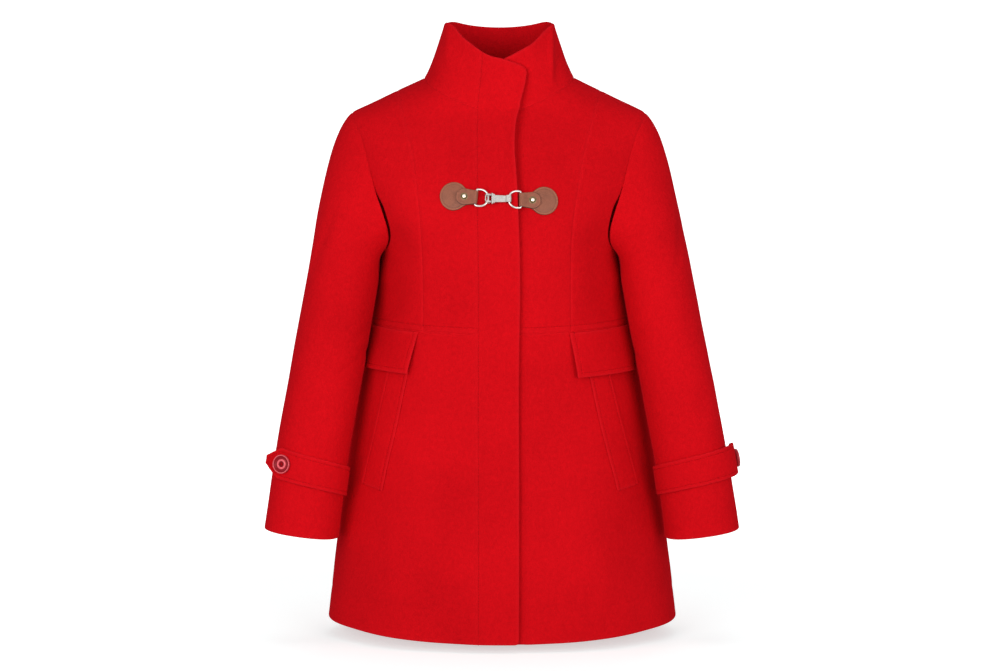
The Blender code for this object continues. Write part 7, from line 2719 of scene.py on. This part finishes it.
class CoatStageSettings(bpy.types.PropertyGroup):
    """Floor and light of the studio."""

    floor_colour: colour_field("Floor Colour", "Colour of the paper sweep", (0.64, 0.70, 0.70))
    floor_glow: strength_field("Floor Glow", "Light that the paper sends out itself", 2.0, 1.03)
    # The lower glow round the coat is a painted shade.
    shadow_glow: strength_field("Shadow Glow", "Light that the paper sends out round the coat",
                                2.0, 0.56)
    room_light: strength_field("Room Light", "Strength of the light from all round", 2.0, 0.42)
    gloss_light: strength_field("Gloss Light", "Strength of the room as polished parts mirror it",
                                3.0, 1.0)
    lamp_power: bpy.props.FloatProperty(
        name="Lamp Power", description="Power of which each lamp takes its own share",
        subtype="POWER", unit="POWER", min=0.0, max=500.0, default=15.5)


class SetStage(bpy.types.Operator):
    """Lay the paper sweep, hang the lamps and stand the camera"""

    bl_idname = "coat.set_stage"
    bl_label = "Set Stage"

    def execute(self, context):
        sweep = paper_sweep()
        power = context.scene.coat_stage.lamp_power
        for plan in LAMPS:
            hang_lamp(plan, plan.share * power)
        hang_lamp(FLOOR_LAMP, FLOOR_LAMP.share * power, sweep)
        light_room()
        set_up_camera()
        return {"FINISHED"}


class SewCollar(bpy.types.Operator):
    """Sew the standing funnel collar"""

    bl_idname = "coat.sew_collar"
    bl_label = "Sew Collar"

    def execute(self, context):
        sew_collar()
        return {"FINISHED"}


class SewBodice(bpy.types.Operator):
    """Sew the centre fronts, side fronts and back of the bodice"""

    bl_idname = "coat.sew_bodice"
    bl_label = "Sew Bodice"

    def execute(self, context):
        sew_fronts()
        sew_back()
        return {"FINISHED"}


class SewSkirts(bpy.types.Operator):
    """Sew the flared front and back skirts"""

    bl_idname = "coat.sew_skirts"
    bl_label = "Sew Skirts"

    def execute(self, context):
        sew_skirts()
        return {"FINISHED"}


class SewBand(bpy.types.Operator):
    """Sew the lapped front band"""

    bl_idname = "coat.sew_band"
    bl_label = "Sew Band"

    def execute(self, context):
        sew_band()
        return {"FINISHED"}


class SewSleeves(bpy.types.Operator):
    """Sew both sleeves"""

    bl_idname = "coat.sew_sleeves"
    bl_label = "Sew Sleeves"

    def execute(self, context):
        sew_sleeves()
        return {"FINISHED"}


class SewPockets(bpy.types.Operator):
    """Sew the pocket flaps and welts"""

    bl_idname = "coat.sew_pockets"
    bl_label = "Sew Pockets"

    def execute(self, context):
        sew_flaps()
        sew_welts()
        return {"FINISHED"}


class SewCuffs(bpy.types.Operator):
    """Sew the cuff straps and their buttons"""

    bl_idname = "coat.sew_cuffs"
    bl_label = "Sew Cuffs"

    def execute(self, context):
        sew_straps()
        sew_buttons()
        return {"FINISHED"}


class FitClasp(bpy.types.Operator):
    """Fit the leather patches, tabs, rivets, rings and hook"""

    bl_idname = "coat.fit_clasp"
    bl_label = "Fit Clasp"

    def execute(self, context):
        sew_patches()
        sew_tabs()
        fit_rings()
        fit_hook()
        return {"FINISHED"}


class SewStitches(bpy.types.Operator):
    """Sew the topstitching of the pieces made so far"""

    bl_idname = "coat.sew_stitches"
    bl_label = "Sew Stitches"

    def execute(self, context):
        settings = context.scene.coat_sewing
        sew_stitches(settings.pitch, settings.length, settings.width)
        return {"FINISHED"}


class WoolCoatPanel(bpy.types.Panel):
    """Sizes, colours and steps of the coat"""

    bl_idname = "VIEW3D_PT_wool_coat"
    bl_label = "Wool Coat"
    bl_space_type = "VIEW_3D"
    bl_region_type = "UI"
    bl_category = "Wool Coat"

    def draw(self, context):
        for group in SETTINGS:
            box = self.layout.box()
            settings = getattr(context.scene, group)
            for name in settings.bl_rna.properties.keys():
                if name not in ("rna_type", "name"):
                    box.prop(settings, name)
        for step in STEPS:
            self.layout.operator(step.bl_idname)


SETTINGS = {
    "coat_wool": CoatWoolSettings,
    "coat_sewing": CoatSewingSettings,
    "coat_clasp": CoatClaspSettings,
    "coat_stage": CoatStageSettings,
}
STEPS = (SetStage, SewCollar, SewBodice, SewSkirts, SewBand, SewSleeves, SewPockets, SewCuffs,
         FitClasp, SewStitches)


def register():
    """Register the settings, the steps and the panel."""
    for group, kind in SETTINGS.items():
        bpy.utils.register_class(kind)
        setattr(bpy.types.Scene, group, bpy.props.PointerProperty(type=kind))
    for step in STEPS + (WoolCoatPanel,):
        bpy.utils.register_class(step)


def unregister():
    """Take the panel, the steps and the settings out again."""
    for step in (WoolCoatPanel,) + STEPS[::-1]:
        bpy.utils.unregister_class(step)
    for group, kind in SETTINGS.items():
        delattr(bpy.types.Scene, group)
        bpy.utils.unregister_class(kind)


def main():
    """Dress the whole coat."""
    register()
    bpy.ops.coat.set_stage()
    bpy.ops.coat.sew_collar()
    bpy.ops.coat.sew_bodice()
    bpy.ops.coat.sew_skirts()
    bpy.ops.coat.sew_band()
    bpy.ops.coat.sew_sleeves()
    bpy.ops.coat.sew_pockets()
    bpy.ops.coat.sew_cuffs()
    bpy.ops.coat.fit_clasp()
    bpy.ops.coat.sew_stitches()


if __name__ == "__main__":
    main()
